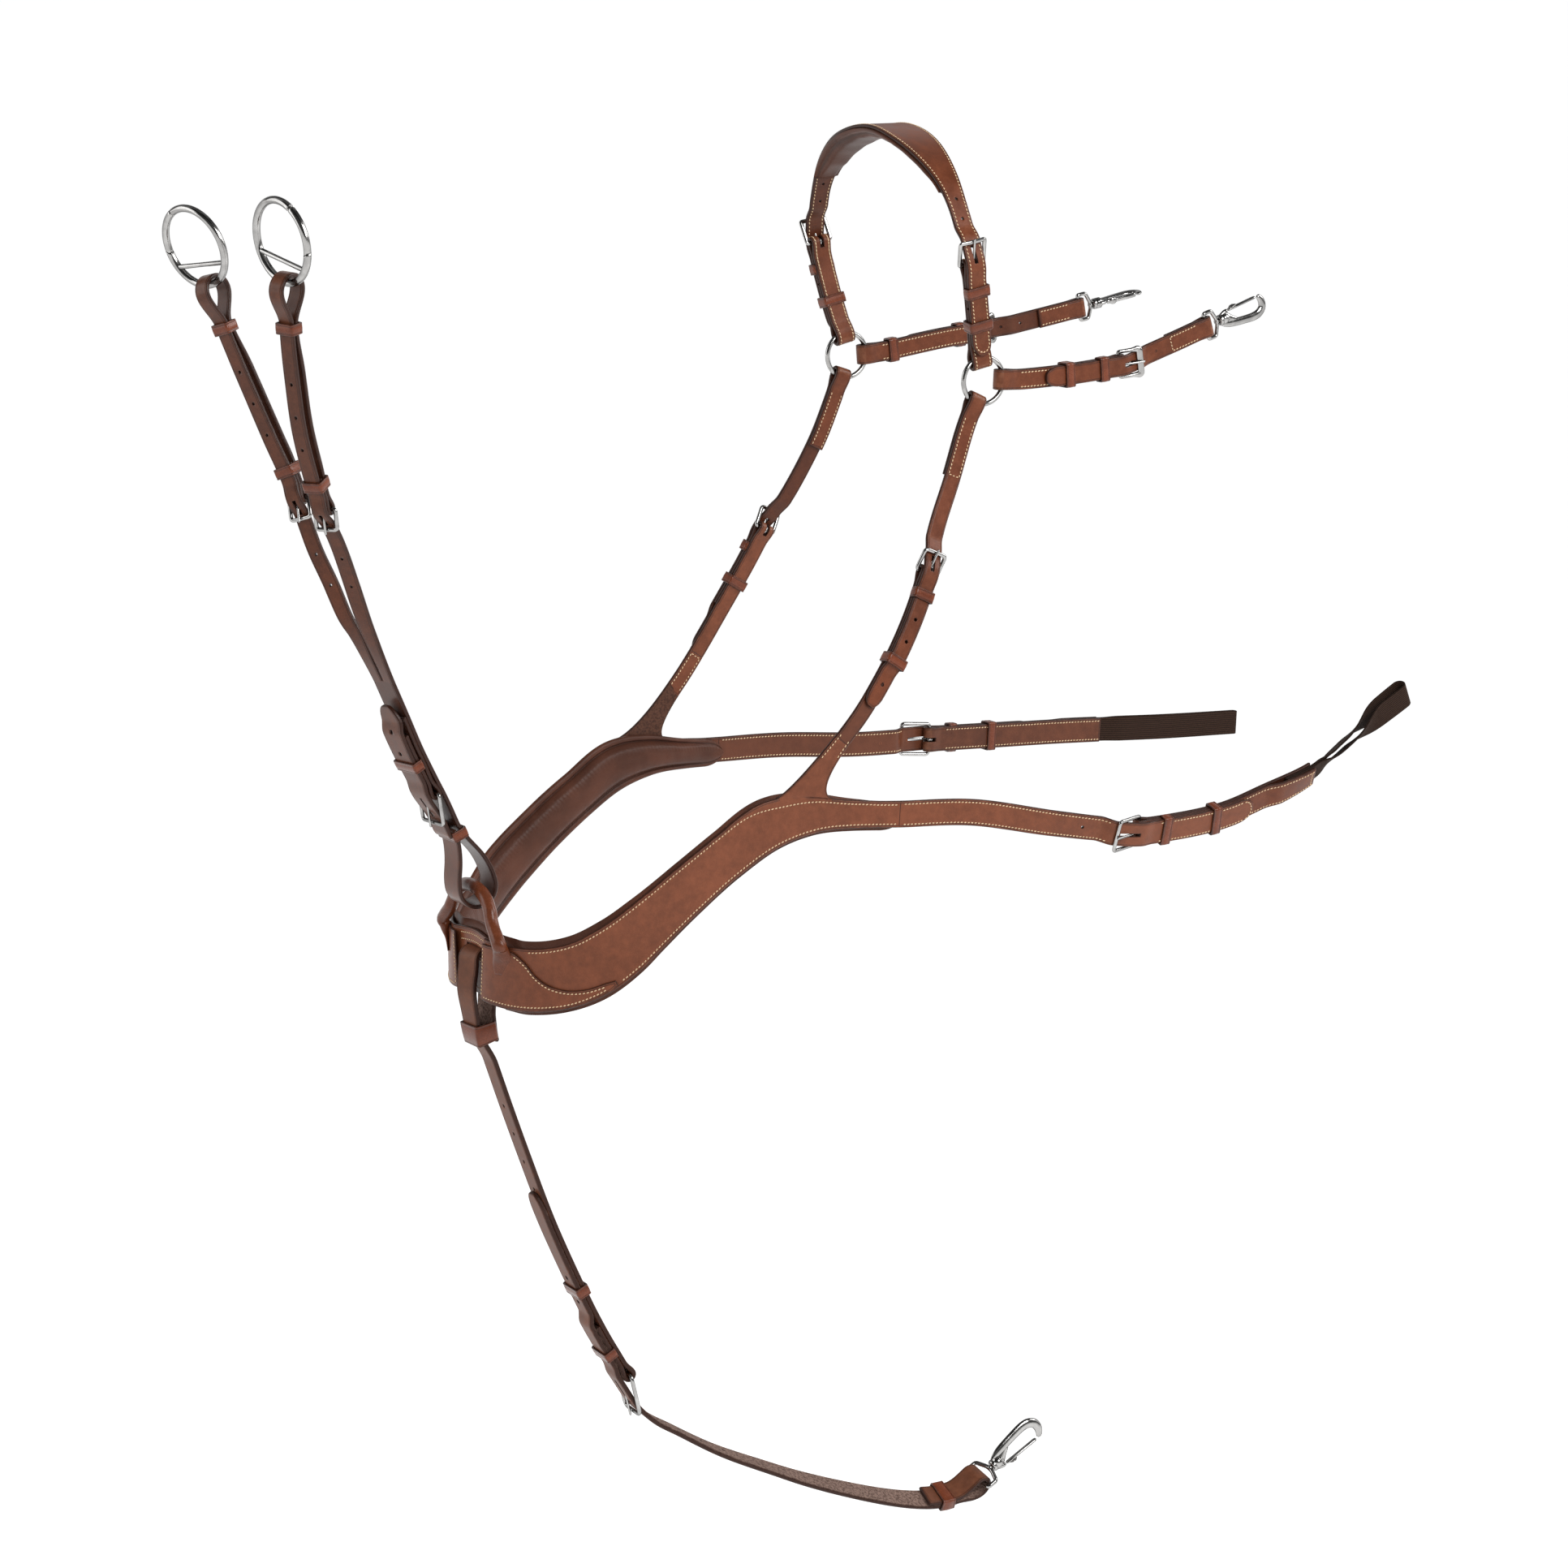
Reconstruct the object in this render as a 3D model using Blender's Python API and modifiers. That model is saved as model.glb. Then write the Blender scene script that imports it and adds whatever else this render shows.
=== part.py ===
"""A five-point breastplate: wither, shoulder, saddle, girth and belly straps, and a running martingale fork.

The horse looks along -X, its near side is -Y and +Z is up. The origin is where the strap rests on the withers.
Every strap is leather laid along a line: s runs along the line, o stands out of it and w lies across it.
"""

import math
from bisect import bisect_right

import bmesh
import bpy
from mathutils import Matrix, Vector

MM = 0.001
CLEARANCE = 0.3 * MM  # between two pieces that lie on each other
LONGEST_ROW = 40 * MM  # between two rows of a strap's mesh
ROW_SAG = 0.14 * MM  # between a strap's mesh and the curve of its line

# Leather, webbing and wire
STRAP_LEATHER = 3.6 * MM
BELLY_LEATHER = 4.6 * MM
FORK_LEATHER = 3.7 * MM
PANEL_LEATHER = 3.4 * MM  # chest and wither strap
KEEPER_LEATHER = 1.8 * MM
WEBBING = 1.8 * MM
RING_WIRE = 2.25 * MM
FRAME_WIRE = 1.9 * MM
TONGUE_WIRE = 1.15 * MM
SNAP_WIRE = 1.9 * MM

# Widths
CREST_WIDTH = 46 * MM
TAB_WIDTH = 20 * MM
SADDLE_WIDTH = 19 * MM
SHOULDER_WIDTH = 17 * MM
GIRTH_WIDTH = 25 * MM
BELLY_WIDTH = 25 * MM
ARM_WIDTH = 15.4 * MM
SPLIT_GAP = 0.6 * MM
STEM_WIDTH = 2 * ARM_WIDTH + SPLIT_GAP
KEEPER_WIDTH = 10 * MM

# Wither rings: centre of the far one, and the radius of the wire's middle line
RING_CENTRE = Vector((31, 122, -224)) * MM
RING_RADIUS = 21.5 * MM
DRAWN_RADIUS = 21.5 * MM  # the radius that the lines below end at; a ring of another size moves their ends

# Stations along the straps, measured from the ring, the centre of the chest or the loop that carries them
WITHER_HEEL = 91 * MM
WITHER_KEEPER = 66 * MM
WITHER_TIP = 6 * MM
PAD_HALF = 128 * MM
SADDLE_HEEL = 130 * MM
SADDLE_KEEPER = 108 * MM
SADDLE_TIP = 43 * MM
SADDLE_SEWN = 48 * MM
SHOULDER_HEEL = 165 * MM
SHOULDER_KEEPER = 187 * MM
SHOULDER_TIP = 300 * MM
SHOULDER_SEWN = 72 * MM
SHOULDER_CHAPE = 85 * MM
PANEL_START = 24 * MM
YOKE_START = 362 * MM
YOKE_END = 412 * MM
SEAM = 477 * MM
GIRTH_HEEL = SEAM + 254 * MM
GIRTH_KEEPER = SEAM + 283 * MM
GIRTH_TIP = SEAM + 385 * MM
GIRTH_CHAPE_END = SEAM + 463 * MM
BELLY_KEEPER = 72 * MM
BELLY_HEEL = 455 * MM
BELLY_FIXED_KEEPER = 425 * MM
BELLY_TIP = 242 * MM
BELLY_SEWN = 62 * MM
STEM_KEEPER = 136 * MM
STEM_HEEL = 104 * MM
STEM_TIP = 196 * MM
STEM_CHAPE = 62 * MM

BUCKLE_TILT = math.radians(20)
FOLD_RAMP = 13 * MM  # over which a chape's layers come together behind its heel bar

# Lines the straps follow, in millimetres; the far side is written, the near side has -y
WITHER_SIDE = [(26.7, 120, -203), (17, 129, -160), (8, 134, -115), (3, 127, -76), (0, 102, -38), (-1, 57, -10)]
CREST = (0, 0, 2)
CHEST_SIDE = [
    (-436, 0, -738), (-436, 35, -741), (-423, 70, -742), (-403, 98, -738), (-380, 119, -728), (-355, 134, -710),
    (-329, 142, -689), (-291, 147, -661), (-251, 150, -635), (-212, 154, -614), (-172, 158, -605),
    (-131, 163, -605), (-85, 170, -608),
]
NEAR_GIRTH = [
    (-11, 178, -613), (75, 183, -632), (151, 186, -646), (201, 187, -647), (258, 186, -643), (306, 184, -632),
    (361, 180, -616), (396, 178, -597), (436, 176, -572), (484, 174, -546),
]
GIRTH_LEANS = {"near": ((560, 0), (725, 17), (872, 17), (948, 34), (972, 60), (990, 60), (1042, 9)), "far": ()}
FAR_GIRTH = [(-11, 176, -612), (75, 180, -621), (151, 183, -625), (240, 186, -630), (320, 187, -634),
             (387, 187, -638), (463, 188, -643), (551, 188, -647)]
NEAR_SHOULDER = [(21.6, 124, -243.4), (9, 126, -270), (-8, 131, -311), (-27, 138, -349), (-43, 146, -386),
                 (-59, 152, -420), (-79, 157, -454), (-101, 160, -486), (-123, 161, -515), (-151, 160, -546)]
FAR_SHOULDER = [(23.8, 124, -244.3), (15, 126, -270), (1, 130, -306), (-20, 138, -349), (-44, 146, -389),
                (-65, 152, -428), (-89, 157, -468), (-109, 160, -500), (-128, 161, -527), (-150, 160, -553)]
NEAR_SADDLE = [(52.5, 120, -224), (77, 120, -225), (129, 119, -223), (190, 117, -217), (241, 116, -203),
               (286, 114, -189)]
FAR_SADDLE = [(52.5, 120, -224), (78, 120, -222), (136, 119, -214), (192, 118, -208), (247, 116, -199),
              (292, 114, -191)]
BELLY_LINE = [(-432.3, 0, -733), (-432, 0, -770), (-428, 0, -807), (-411, 0, -861), (-385, 0, -935),
              (-361, 0, -999), (-331, 0, -1067), (-314, 0, -1102), (-298, 0, -1131), (-277, 0, -1165),
              (-250, 0, -1196), (-222, 0, -1217), (-177, 0, -1251), (-131, 0, -1280), (-86, 0, -1305),
              (-31, 0, -1328), (17, 0, -1345), (54, 0, -1354), (80, 0, -1355), (104, 0, -1350), (122, 0, -1341)]
STEM_LINE = [(-436, 0, -670), (-441, 0, -645), (-450, 0, -621), (-460, 0, -598), (-469, 0, -579),
             (-479, 0, -560), (-493, 0, -532), (-506, 0, -502), (-519, 0, -472)]
NEAR_ARM = [(-517.6, 7.9, -472), (-536, 11.5, -431), (-547, 17, -408), (-561, 26, -376), (-575, 35, -345),
            (-591, 43, -313), (-601, 49, -289), (-611, 55, -261), (-620, 61, -232), (-627, 67, -200),
            (-635, 75, -155), (-640, 82, -97)]
FAR_ARM = [(-520.4, 7.9, -472), (-529.5, 9, -453), (-540, 12, -430), (-548, 18, -413), (-557, 27, -384),
           (-567, 35, -356), (-574, 42, -329), (-583, 49, -292), (-596, 57, -256), (-609, 63, -221),
           (-622, 70, -185), (-634, 75, -150), (-643, 80, -112)]

BELLY_TWIST = Vector((0, 0.91, 0.42))  # across the belly strap at its snap
BELLY_TURN = Vector((-0.27, 0.963, 0))  # across it in the slot of the bridge
BELLY_SETTLE = 105 * MM
STEM_TWIST = Vector((-0.17, 0.985, 0))  # across the martingale where it splits
ARM_TWIST = Vector((-0.7, 0.7, 0))  # across its arms below their buckles
LOOP_TWIST = Vector((-0.42, 0.91, 0))  # across its arms at the rings
ARM_SETTLE = 95 * MM
BELLY_SNAP_SIZE = 1.18  # beside the snaps of the saddle straps
BELLY_SNAP_ROLL = math.radians(150)

ALONG_X = Vector((1, 0, 0))
ALONG_Y = Vector((0, 1, 0))
ALONG_Z = Vector((0, 0, 1))


def collection(name):
    made = bpy.data.collections.new(name)
    bpy.context.scene.collection.children.link(made)
    return made


def material(name, colour, roughness, metallic=0.0):
    made = bpy.data.materials.new(name)
    made.use_nodes = True
    shader = made.node_tree.nodes["Principled BSDF"]
    shader.inputs["Base Color"].default_value = (*colour, 1)
    shader.inputs["Roughness"].default_value = roughness
    shader.inputs["Metallic"].default_value = metallic
    return made


def smooth(x):
    return x * x * (3 - 2 * x)


class Line:
    """A smooth curve through a few points, with directions along it, across it and out of it at each station."""

    def __init__(self, points, across, outward, across_end=None, lead=0, late=1, across_start=None, settle=0.0,
                 turns=()):
        self.outward = outward
        self.turns = turns  # (station, across) pairs: from the first one on, across eases from each to the next
        self.across_start = across_start or across  # turns to across over the length settle
        self.settle = settle
        self.late = late  # a higher power puts the turn from across to across_end nearer the end
        self.across = across
        self.across_end = across_end or across
        stops = [Vector(point) * MM for point in points]
        ends = [2 * stops[0] - stops[1]] + stops + [2 * stops[-1] - stops[-2]]
        self.points = []
        for a, b, c, d in zip(ends, ends[1:], ends[2:], ends[3:]):
            for k in range(16):
                t = k / 16
                self.points.append(0.5 * (2 * b + (c - a) * t + (2 * a - 5 * b + 4 * c - d) * t * t
                                          + (3 * b - a - 3 * c + d) * t ** 3))
        self.points.append(stops[-1])
        self.stations = [0.0]
        for a, b in zip(self.points, self.points[1:]):
            self.stations.append(self.stations[-1] + (b - a).length)
        zero = self.stations[16 * lead]
        self.stations = [station - zero for station in self.stations]
        self.length = self.stations[-1]
        rows = self.rows_from(16 * lead, 1) + [0.0] + self.rows_from(16 * lead, -1)
        for (start, before), (end, after) in zip(turns, turns[1:]):
            count = math.ceil(math.degrees(before.angle(after)) / 6)
            added = [start + (end - start) * (k + 1) / count for k in range(count)]
            rows = [s for s in rows if all(abs(s - other) > 5 * MM for other in added)] + added
        self.rows = sorted(rows)

    def rows_from(self, start, step):
        """Stations for mesh rows, closer together where the line bends; straps that lie together share them."""
        rows = []
        last, bend = start, 0.0
        i = start + step
        while 0 < i < len(self.points) - 1:
            bend += (self.points[i + 1] - self.points[i]).angle(self.points[i] - self.points[i - 1])
            length = abs(self.stations[i] - self.stations[last])
            if length > LONGEST_ROW or length * bend > 8 * ROW_SAG:
                rows.append(self.stations[i])
                last, bend = i, 0.0
            i += step
        return rows

    def with_rows(self, path):
        """A path with the line's own rows added between its keys."""
        result = [path[0]]
        for (s0, o0), (s1, o1) in zip(path, path[1:]):
            inner = [s for s in self.rows if min(s0, s1) + 2 * MM < s < max(s0, s1) - 2 * MM]
            result += [(s, o0 + (o1 - o0) * (s - s0) / (s1 - s0)) for s in (inner if s1 > s0 else inner[::-1])]
            result.append((s1, o1))
        return result

    def point(self, s):
        i = min(max(bisect_right(self.stations, s) - 1, 0), len(self.points) - 2)
        share = (s - self.stations[i]) / (self.stations[i + 1] - self.stations[i])
        return self.points[i].lerp(self.points[i + 1], share)

    def axes(self, s):
        half = 3 * MM
        along = (self.point(s + half) - self.point(s - half)).normalized()
        share = min(max(s / self.length, 0), 1)
        hint = self.across.lerp(self.across_end, smooth(share) ** self.late)
        if self.settle and s < self.settle:
            hint = self.across_start.lerp(hint, smooth(max(s, 0) / self.settle))
        for (start, before), (end, after) in zip(self.turns, self.turns[1:]):
            if s > start:
                hint = before.lerp(after, smooth(min(1, (s - start) / (end - start))))
        across = (hint - along * hint.dot(along)).normalized()
        return along, across.cross(along) * -self.outward, across

    def at(self, s, o=0.0, w=0.0):
        along, out, across = self.axes(s)
        return self.point(s) + out * o + across * w

    def block(self, s):
        """A rigid frame at a station: its columns point along, out and across."""
        along, out, across = self.axes(s)
        return Matrix.Translation(self.point(s)) @ Matrix((along, out, across)).transposed().to_4x4()

    def locate(self, point, near):
        """The station and the height over the line of a point close to the station near."""
        s = near
        for _ in range(12):
            s += (point - self.point(s)).dot(self.axes(s)[0])
        return s, (point - self.point(s)).dot(self.axes(s)[1])


def from_ring(points):
    """A line's points, with the first one moved out or in where the wither ring has another radius."""
    first = Vector(points[0]) * MM
    spread = first - Vector((RING_CENTRE.x, first.y, RING_CENTRE.z))
    first += spread.normalized() * (RING_RADIUS - DRAWN_RADIUS)
    return [tuple(first / MM)] + list(points[1:])


def side_line(points, side, across, lead=0, leans=()):
    """A line on the far side (+1) or the near side (-1), with its outer face away from the horse.

    leans are (station in mm, degrees) pairs: how far the strap's upper edge leans out from upright there.
    """
    turns = []
    for s, lean in leans:
        angle = math.radians(lean)
        turns.append((s * MM, Vector((0, side * math.sin(angle), math.cos(angle)))))
    return Line([(x, side * y, z) for x, y, z in points], across, -side, lead=lead, turns=turns)


def chest_line(side, sign, girth_points):
    """The line of one half: chest panel and girth strap; the near strap hangs with a turn in its end."""
    lead = [(x, -y, z) for x, y, z in CHEST_SIDE[3:0:-1]]
    return side_line(lead + CHEST_SIDE + girth_points, sign, ALONG_Z, lead=3, leans=GIRTH_LEANS[side])


def lay(*keys):
    """A path through (s, o) keys that eases from one height to the next."""
    path = []
    for (s0, o0), (s1, o1) in zip(keys, keys[1:]):
        rows = 1 if abs(o1 - o0) < 0.1 * MM else 2 if abs(o1 - o0) < 1 * MM else 4
        path += [(s0 + (s1 - s0) * k / rows, o0 + (o1 - o0) * smooth(k / rows)) for k in range(rows)]
    return path + [keys[-1]]


def turn(s, o, radius, start, end, count=6):
    """Points on a turn round a bar at (s, o), from one angle to another in degrees."""
    angles = [math.radians(start + (end - start) * k / count) for k in range(count + 1)]
    return [(s + radius * math.cos(angle), o + radius * math.sin(angle)) for angle in angles]


def joined(*paths):
    path = []
    for piece in paths:
        path += [spot for spot in piece if not path or math.dist(spot, path[-1]) > 0.4 * MM]
    return path


def tipped(path, width, tip_start, tip_end, swell=None):
    """Rows of (s, o, half width), with a rounded point of a strap at either end of the path."""
    reach = 0.75 * width
    shares = (0.0, 0.08, 0.25, 0.55)
    distances = [0.0]
    for a, b in zip(path, path[1:]):
        distances.append(distances[-1] + math.dist(a, b))
    total = distances[-1]
    wanted = set(distances)
    if tip_start:
        wanted = {d for d in wanted if d >= reach} | {share * reach for share in shares} | {reach}
    if tip_end:
        wanted = {d for d in wanted if d <= total - reach} | {total - share * reach for share in shares}
        wanted.add(total - reach)
    rows = []
    for d in sorted(wanted):
        i = min(max(bisect_right(distances, d) - 1, 0), len(path) - 2)
        share = (d - distances[i]) / (distances[i + 1] - distances[i])
        s, o = (path[i][k] + (path[i + 1][k] - path[i][k]) * share for k in (0, 1))
        room = min(d if tip_start else reach, total - d if tip_end else reach, reach) / reach
        half = width / 2 + (swell(s) if swell else 0)
        rows.append((s, o, half * (0.34 + 0.66 * math.sqrt(1 - (1 - room) ** 2))))
    return rows


def solid_sheet(name, grid, faces, thickness, finish, group):
    """A sheet of leather: an open surface with thickness to both sides."""
    mesh = bpy.data.meshes.new(name)
    mesh.from_pydata([tuple(point) for point in grid], [], faces)
    bm = bmesh.new()
    bm.from_mesh(mesh)
    bmesh.ops.remove_doubles(bm, verts=bm.verts, dist=1e-6)
    bmesh.ops.recalc_face_normals(bm, faces=bm.faces)
    bm.to_mesh(mesh)
    bm.free()
    mesh.materials.append(finish)
    piece = bpy.data.objects.new(name, mesh)
    group.objects.link(piece)
    solid = piece.modifiers.new("thickness", "SOLIDIFY")
    solid.thickness = thickness
    solid.offset = 0
    solid.use_even_offset = True
    solid.use_quality_normals = True
    mesh.shade_smooth()
    return piece


def grid_faces(rows, columns, first=0):
    return [
        (first + i * columns + k, first + i * columns + k + 1, first + (i + 1) * columns + k + 1,
         first + (i + 1) * columns + k)
        for i in range(rows - 1) for k in range(columns - 1)
    ]


def strap(name, line, path, width, thickness, finish, tip_start=False, tip_end=False, swell=None, group=None):
    """A strap of one width, laid on a path of (s, o) beside a line."""
    points = []
    for s, o, half in tipped(line.with_rows(path), width, tip_start, tip_end, swell):
        points += [line.at(s, o, -half), line.at(s, o, half)]
    return solid_sheet(name, points, grid_faces(len(points) // 2, 2), thickness, finish, group or PARTS)


def operand(piece):
    piece.hide_render = True
    piece.display_type = "WIRE"
    return piece


def box_cutter(name, frame, low, high):
    """A box in a rigid frame, from its low corner to its high one."""
    bpy.ops.mesh.primitive_cube_add(size=1)
    cutter = bpy.context.object
    cutter.name = name
    size = Vector(high) - Vector(low)
    middle = (Vector(high) + Vector(low)) / 2
    cutter.data.transform(frame @ Matrix.Translation(middle) @ Matrix.Diagonal((*size, 1)))
    if frame.determinant() < 0:
        cutter.data.flip_normals()
    for owner in list(cutter.users_collection):
        owner.objects.unlink(cutter)
    CUTTERS.objects.link(cutter)
    return operand(cutter)


def boolean(piece, other, operation):
    step = piece.modifiers.new(operation.lower(), "BOOLEAN")
    step.operation = operation
    step.object = other
    step.solver = "EXACT"


def as_mesh(curve_object, group):
    """A curve's tube as a closed mesh with its caps welded on."""
    evaluated = curve_object.evaluated_get(bpy.context.evaluated_depsgraph_get())
    mesh = bpy.data.meshes.new_from_object(evaluated)
    bm = bmesh.new()
    bm.from_mesh(mesh)
    bmesh.ops.remove_doubles(bm, verts=bm.verts, dist=1e-6)
    bmesh.ops.recalc_face_normals(bm, faces=bm.faces)
    bm.to_mesh(mesh)
    bm.free()
    name = curve_object.name
    piece = bpy.data.objects.new(name, mesh)
    piece.matrix_world = curve_object.matrix_world
    bpy.data.objects.remove(curve_object)
    piece.name = name
    group.objects.link(piece)
    return piece


def wire(name, points, radius, finish, closed=False, sides=1, radii=None, group=None):
    """A rod bent through points."""
    curve = bpy.data.curves.new(name, "CURVE")
    curve.dimensions = "3D"
    curve.bevel_depth = radius
    curve.bevel_resolution = sides
    curve.use_fill_caps = True
    spline = curve.splines.new("POLY")
    spline.points.add(len(points) - 1)
    for i, point in enumerate(points):
        spline.points[i].co = (*point, 1)
        spline.points[i].radius = radii[i] if radii else 1
    spline.use_cyclic_u = closed
    curve.materials.append(finish)
    piece = bpy.data.objects.new(name, curve)
    (group or PARTS).objects.link(piece)
    return piece


def rounded(corners, radius, steps=2):
    """A closed outline with each corner turned into a short arc."""
    outline = []
    for before, corner, after in zip(corners[-1:] + corners[:-1], corners, corners[1:] + corners[:1]):
        start = corner + (before - corner).normalized() * radius
        end = corner + (after - corner).normalized() * radius
        for k in range(steps + 1):
            t = k / steps
            outline.append(start * (1 - t) ** 2 + corner * 2 * t * (1 - t) + end * t * t)
    return outline


class Buckle:
    """Where the pieces of one buckle lie: the heel bar in its fold, the front bar and the strap under it."""

    def __init__(self, line, heel, facing, leather, width, length, base=0.0,
                 wire_radius=FRAME_WIRE, roomy=4 * MM):
        self.line = line
        self.heel = heel
        self.facing = facing  # +1 where the chape runs on to higher stations
        self.leather = leather
        self.pitch = leather + CLEARANCE
        self.base = base
        self.bar = base + self.pitch / 2
        self.wire = wire_radius
        self.turn_radius = wire_radius + 1.6 * CLEARANCE + leather / 2
        self.half = (width + roomy) / 2 + wire_radius / 2
        self.length = length
        turned = Matrix.Diagonal((-facing, 1, 1, 1))
        self.frame = line.block(heel) @ Matrix.Translation((0, self.bar, 0)) @ turned
        self.front = self.place(length * math.cos(BUCKLE_TILT), length * math.sin(BUCKLE_TILT), 0)
        self.front_s, self.front_o = line.locate(self.front, heel - facing * length)
        self.under = self.front_o - self.wire - CLEARANCE * 1.5 - leather / 2
        self.over = self.bar + self.turn_radius + self.pitch

    def place(self, ahead, out, across):
        """A point given from the heel bar: ahead towards the front bar, out of the strap and across it."""
        return self.frame @ Vector((ahead, out, across))

    def fold(self, count=6):
        """The turn of the chape round the heel bar, from its inner layer to its outer one."""
        start, end = (-90, -270) if self.facing > 0 else (-90, 90)
        return turn(self.heel, self.bar, self.turn_radius, start, end, count)

    def chape_in(self, start):
        """The inner layer, from a station to the fold."""
        return lay((start, self.base), (self.heel + self.facing * FOLD_RAMP, self.base),
                   (self.heel, self.bar - self.turn_radius))

    def chape_out(self, end):
        """The outer layer, from the fold to where it is sewn down."""
        sewn = self.base + self.pitch
        return lay((self.heel, self.bar + self.turn_radius), (self.heel + self.facing * FOLD_RAMP, sewn), (end, sewn))

    def billet(self, start, start_o, chape_end, tip, lift=0.0):
        """The strap that passes under the front bar, over the heel bar and along the chape to its tip."""
        f = self.facing
        settled = self.base + 2 * self.pitch
        before = start_o if f * (self.front_s - start) > 30 * MM else self.under
        keys = [(start, start_o), (self.front_s - f * 16 * MM, before), (self.front_s, self.under),
                (self.heel, self.over), (self.heel + f * FOLD_RAMP / 4, self.over),
                (self.heel + f * FOLD_RAMP * 1.25, settled)]
        if lift:
            keys += [(tip - f * 14 * MM, settled), (tip, settled + lift)]
        elif f * (tip - chape_end) > 20 * MM:
            keys += [(chape_end + f * 2 * MM, settled), (chape_end + f * 16 * MM, settled - self.pitch),
                     (tip, settled - self.pitch)]
        else:
            keys.append((tip, settled))
        return lay(*keys)

    def make(self, name, finish):
        """The frame and the tongue."""
        tilt = Matrix.Rotation(BUCKLE_TILT, 4, "Z")
        plan = [Vector((0, 0, -self.half)), Vector((0, 0, self.half)),
                Vector((self.length, 0, self.half)), Vector((self.length, 0, -self.half))]
        outline = [self.frame @ tilt @ point for point in rounded(plan, 3.4 * MM)]
        frame = as_mesh(wire(name + "_frame", outline, self.wire, finish, closed=True), PARTS)
        eye = self.wire + CLEARANCE + TONGUE_WIRE
        ahead = self.length * math.cos(BUCKLE_TILT)
        height = self.front_height() - eye
        slope = math.atan2(height, ahead) + math.asin(eye / math.hypot(ahead, height))
        reach = ahead + 2.4 * MM
        rod = [Vector((x, eye + x * math.tan(slope), 0)) for x in (reach, reach / 2)]
        loop = [Vector((eye * math.cos(a), eye * math.sin(a), 0)) for a in
                (math.radians(70 + 36 * k) for k in range(8))]
        points = [self.frame @ point for point in rod + loop]
        tongue = as_mesh(wire(name + "_tongue", points, TONGUE_WIRE, finish), PARTS)
        return frame, tongue

    def front_height(self):
        return self.length * math.sin(BUCKLE_TILT)

    def fold_slot(self, name, spare=CLEARANCE / 2):
        """The slot in the chape's fold, where the tongue's eye goes round the heel bar."""
        reach = self.wire + 2 * TONGUE_WIRE + 3 * CLEARANCE
        depth = self.turn_radius + self.leather / 2 + spare
        return box_cutter(name + "_fold_slot", self.frame, (-reach, -depth, -TONGUE_WIRE - 0.7 * MM),
                          (depth + MM, depth, TONGUE_WIRE + 0.7 * MM))

    def billet_hole(self, name):
        """The long hole in the billet that the tongue comes up through."""
        low = self.wire + CLEARANCE + self.leather * 0.2
        return box_cutter(name + "_billet_hole", self.frame, (0.8 * MM, low, -TONGUE_WIRE - 0.6 * MM),
                          (self.length * 0.78, self.front_height() + 6 * MM, TONGUE_WIRE + 0.6 * MM))


def keeper(name, line, s, low, high, width, finish, keeper_width=KEEPER_WIDTH):
    """A band round a stack of straps, between two heights; its lower side lies between two sewn layers."""
    half = width / 2 + CLEARANCE + KEEPER_LEATHER / 2
    corners = [Vector((-half, low)), Vector((half, low)), Vector((half, high)), Vector((-half, high))]
    outline = rounded(corners, 0.8 * MM, 1)
    points = [line.at(s + shift, o, w) for shift in (-keeper_width / 2, keeper_width / 2) for w, o in outline]
    count = len(outline)
    faces = [(k, (k + 1) % count, (k + 1) % count + count, k + count) for k in range(count)]
    return operand(solid_sheet(name, points, faces, KEEPER_LEATHER, finish, CUTTERS))


def sewn_keeper(piece, buckle, s, width, finish, layers=2):
    """A keeper sewn between the two layers of a chape, over the billet that lies on them."""
    high = buckle.base + layers * buckle.pitch + buckle.leather / 2 + CLEARANCE + KEEPER_LEATHER / 2
    band = keeper(piece.name + "_keeper_band", buckle.line, s, buckle.bar, high, width, finish)
    boolean(piece, band, "UNION")


def ring_sag(radius, width):
    """How far a ring's wire curves away within half a strap's width."""
    return radius - math.sqrt(radius * radius - width * width / 4) + 3 * CLEARANCE


def ring_shift(line, ring_s, bar, width):
    """From where a wither ring's wire crosses a strap's middle to where it leaves the strap's edges."""
    middle = line.at(ring_s, bar)
    centre = Vector((RING_CENTRE.x, math.copysign(RING_CENTRE.y, middle.y), RING_CENTRE.z))
    drop = (centre - middle).normalized() * ring_sag(RING_RADIUS, width)
    along, out, _ = line.axes(ring_s)
    return drop.dot(along), drop.dot(out)


def bolster(name, spot, stations, section, outline, finish):
    """A padded form: a closed section of (share of half width, share of depth) at each of some stations."""
    rings = []
    for s in stations:
        low, high, top, depth = outline(s)
        rings.append([spot(s, top - depth * o, (low + high) / 2 + (high - low) / 2 * w) for w, o in section])
    count = len(section)
    points = [point for ring in rings for point in ring]
    faces = [(i * count + k, i * count + (k + 1) % count, (i + 1) * count + (k + 1) % count, (i + 1) * count + k)
             for i in range(len(rings) - 1) for k in range(count)]
    faces += [tuple(range(count)), tuple(range(len(points) - 1, len(points) - count - 1, -1))]
    mesh = bpy.data.meshes.new(name)
    mesh.from_pydata([tuple(point) for point in points], [], faces)
    bm = bmesh.new()
    bm.from_mesh(mesh)
    bmesh.ops.recalc_face_normals(bm, faces=bm.faces)
    bm.to_mesh(mesh)
    bm.free()
    mesh.materials.append(finish)
    mesh.shade_smooth()
    piece = bpy.data.objects.new(name, mesh)
    PARTS.objects.link(piece)
    return piece


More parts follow.
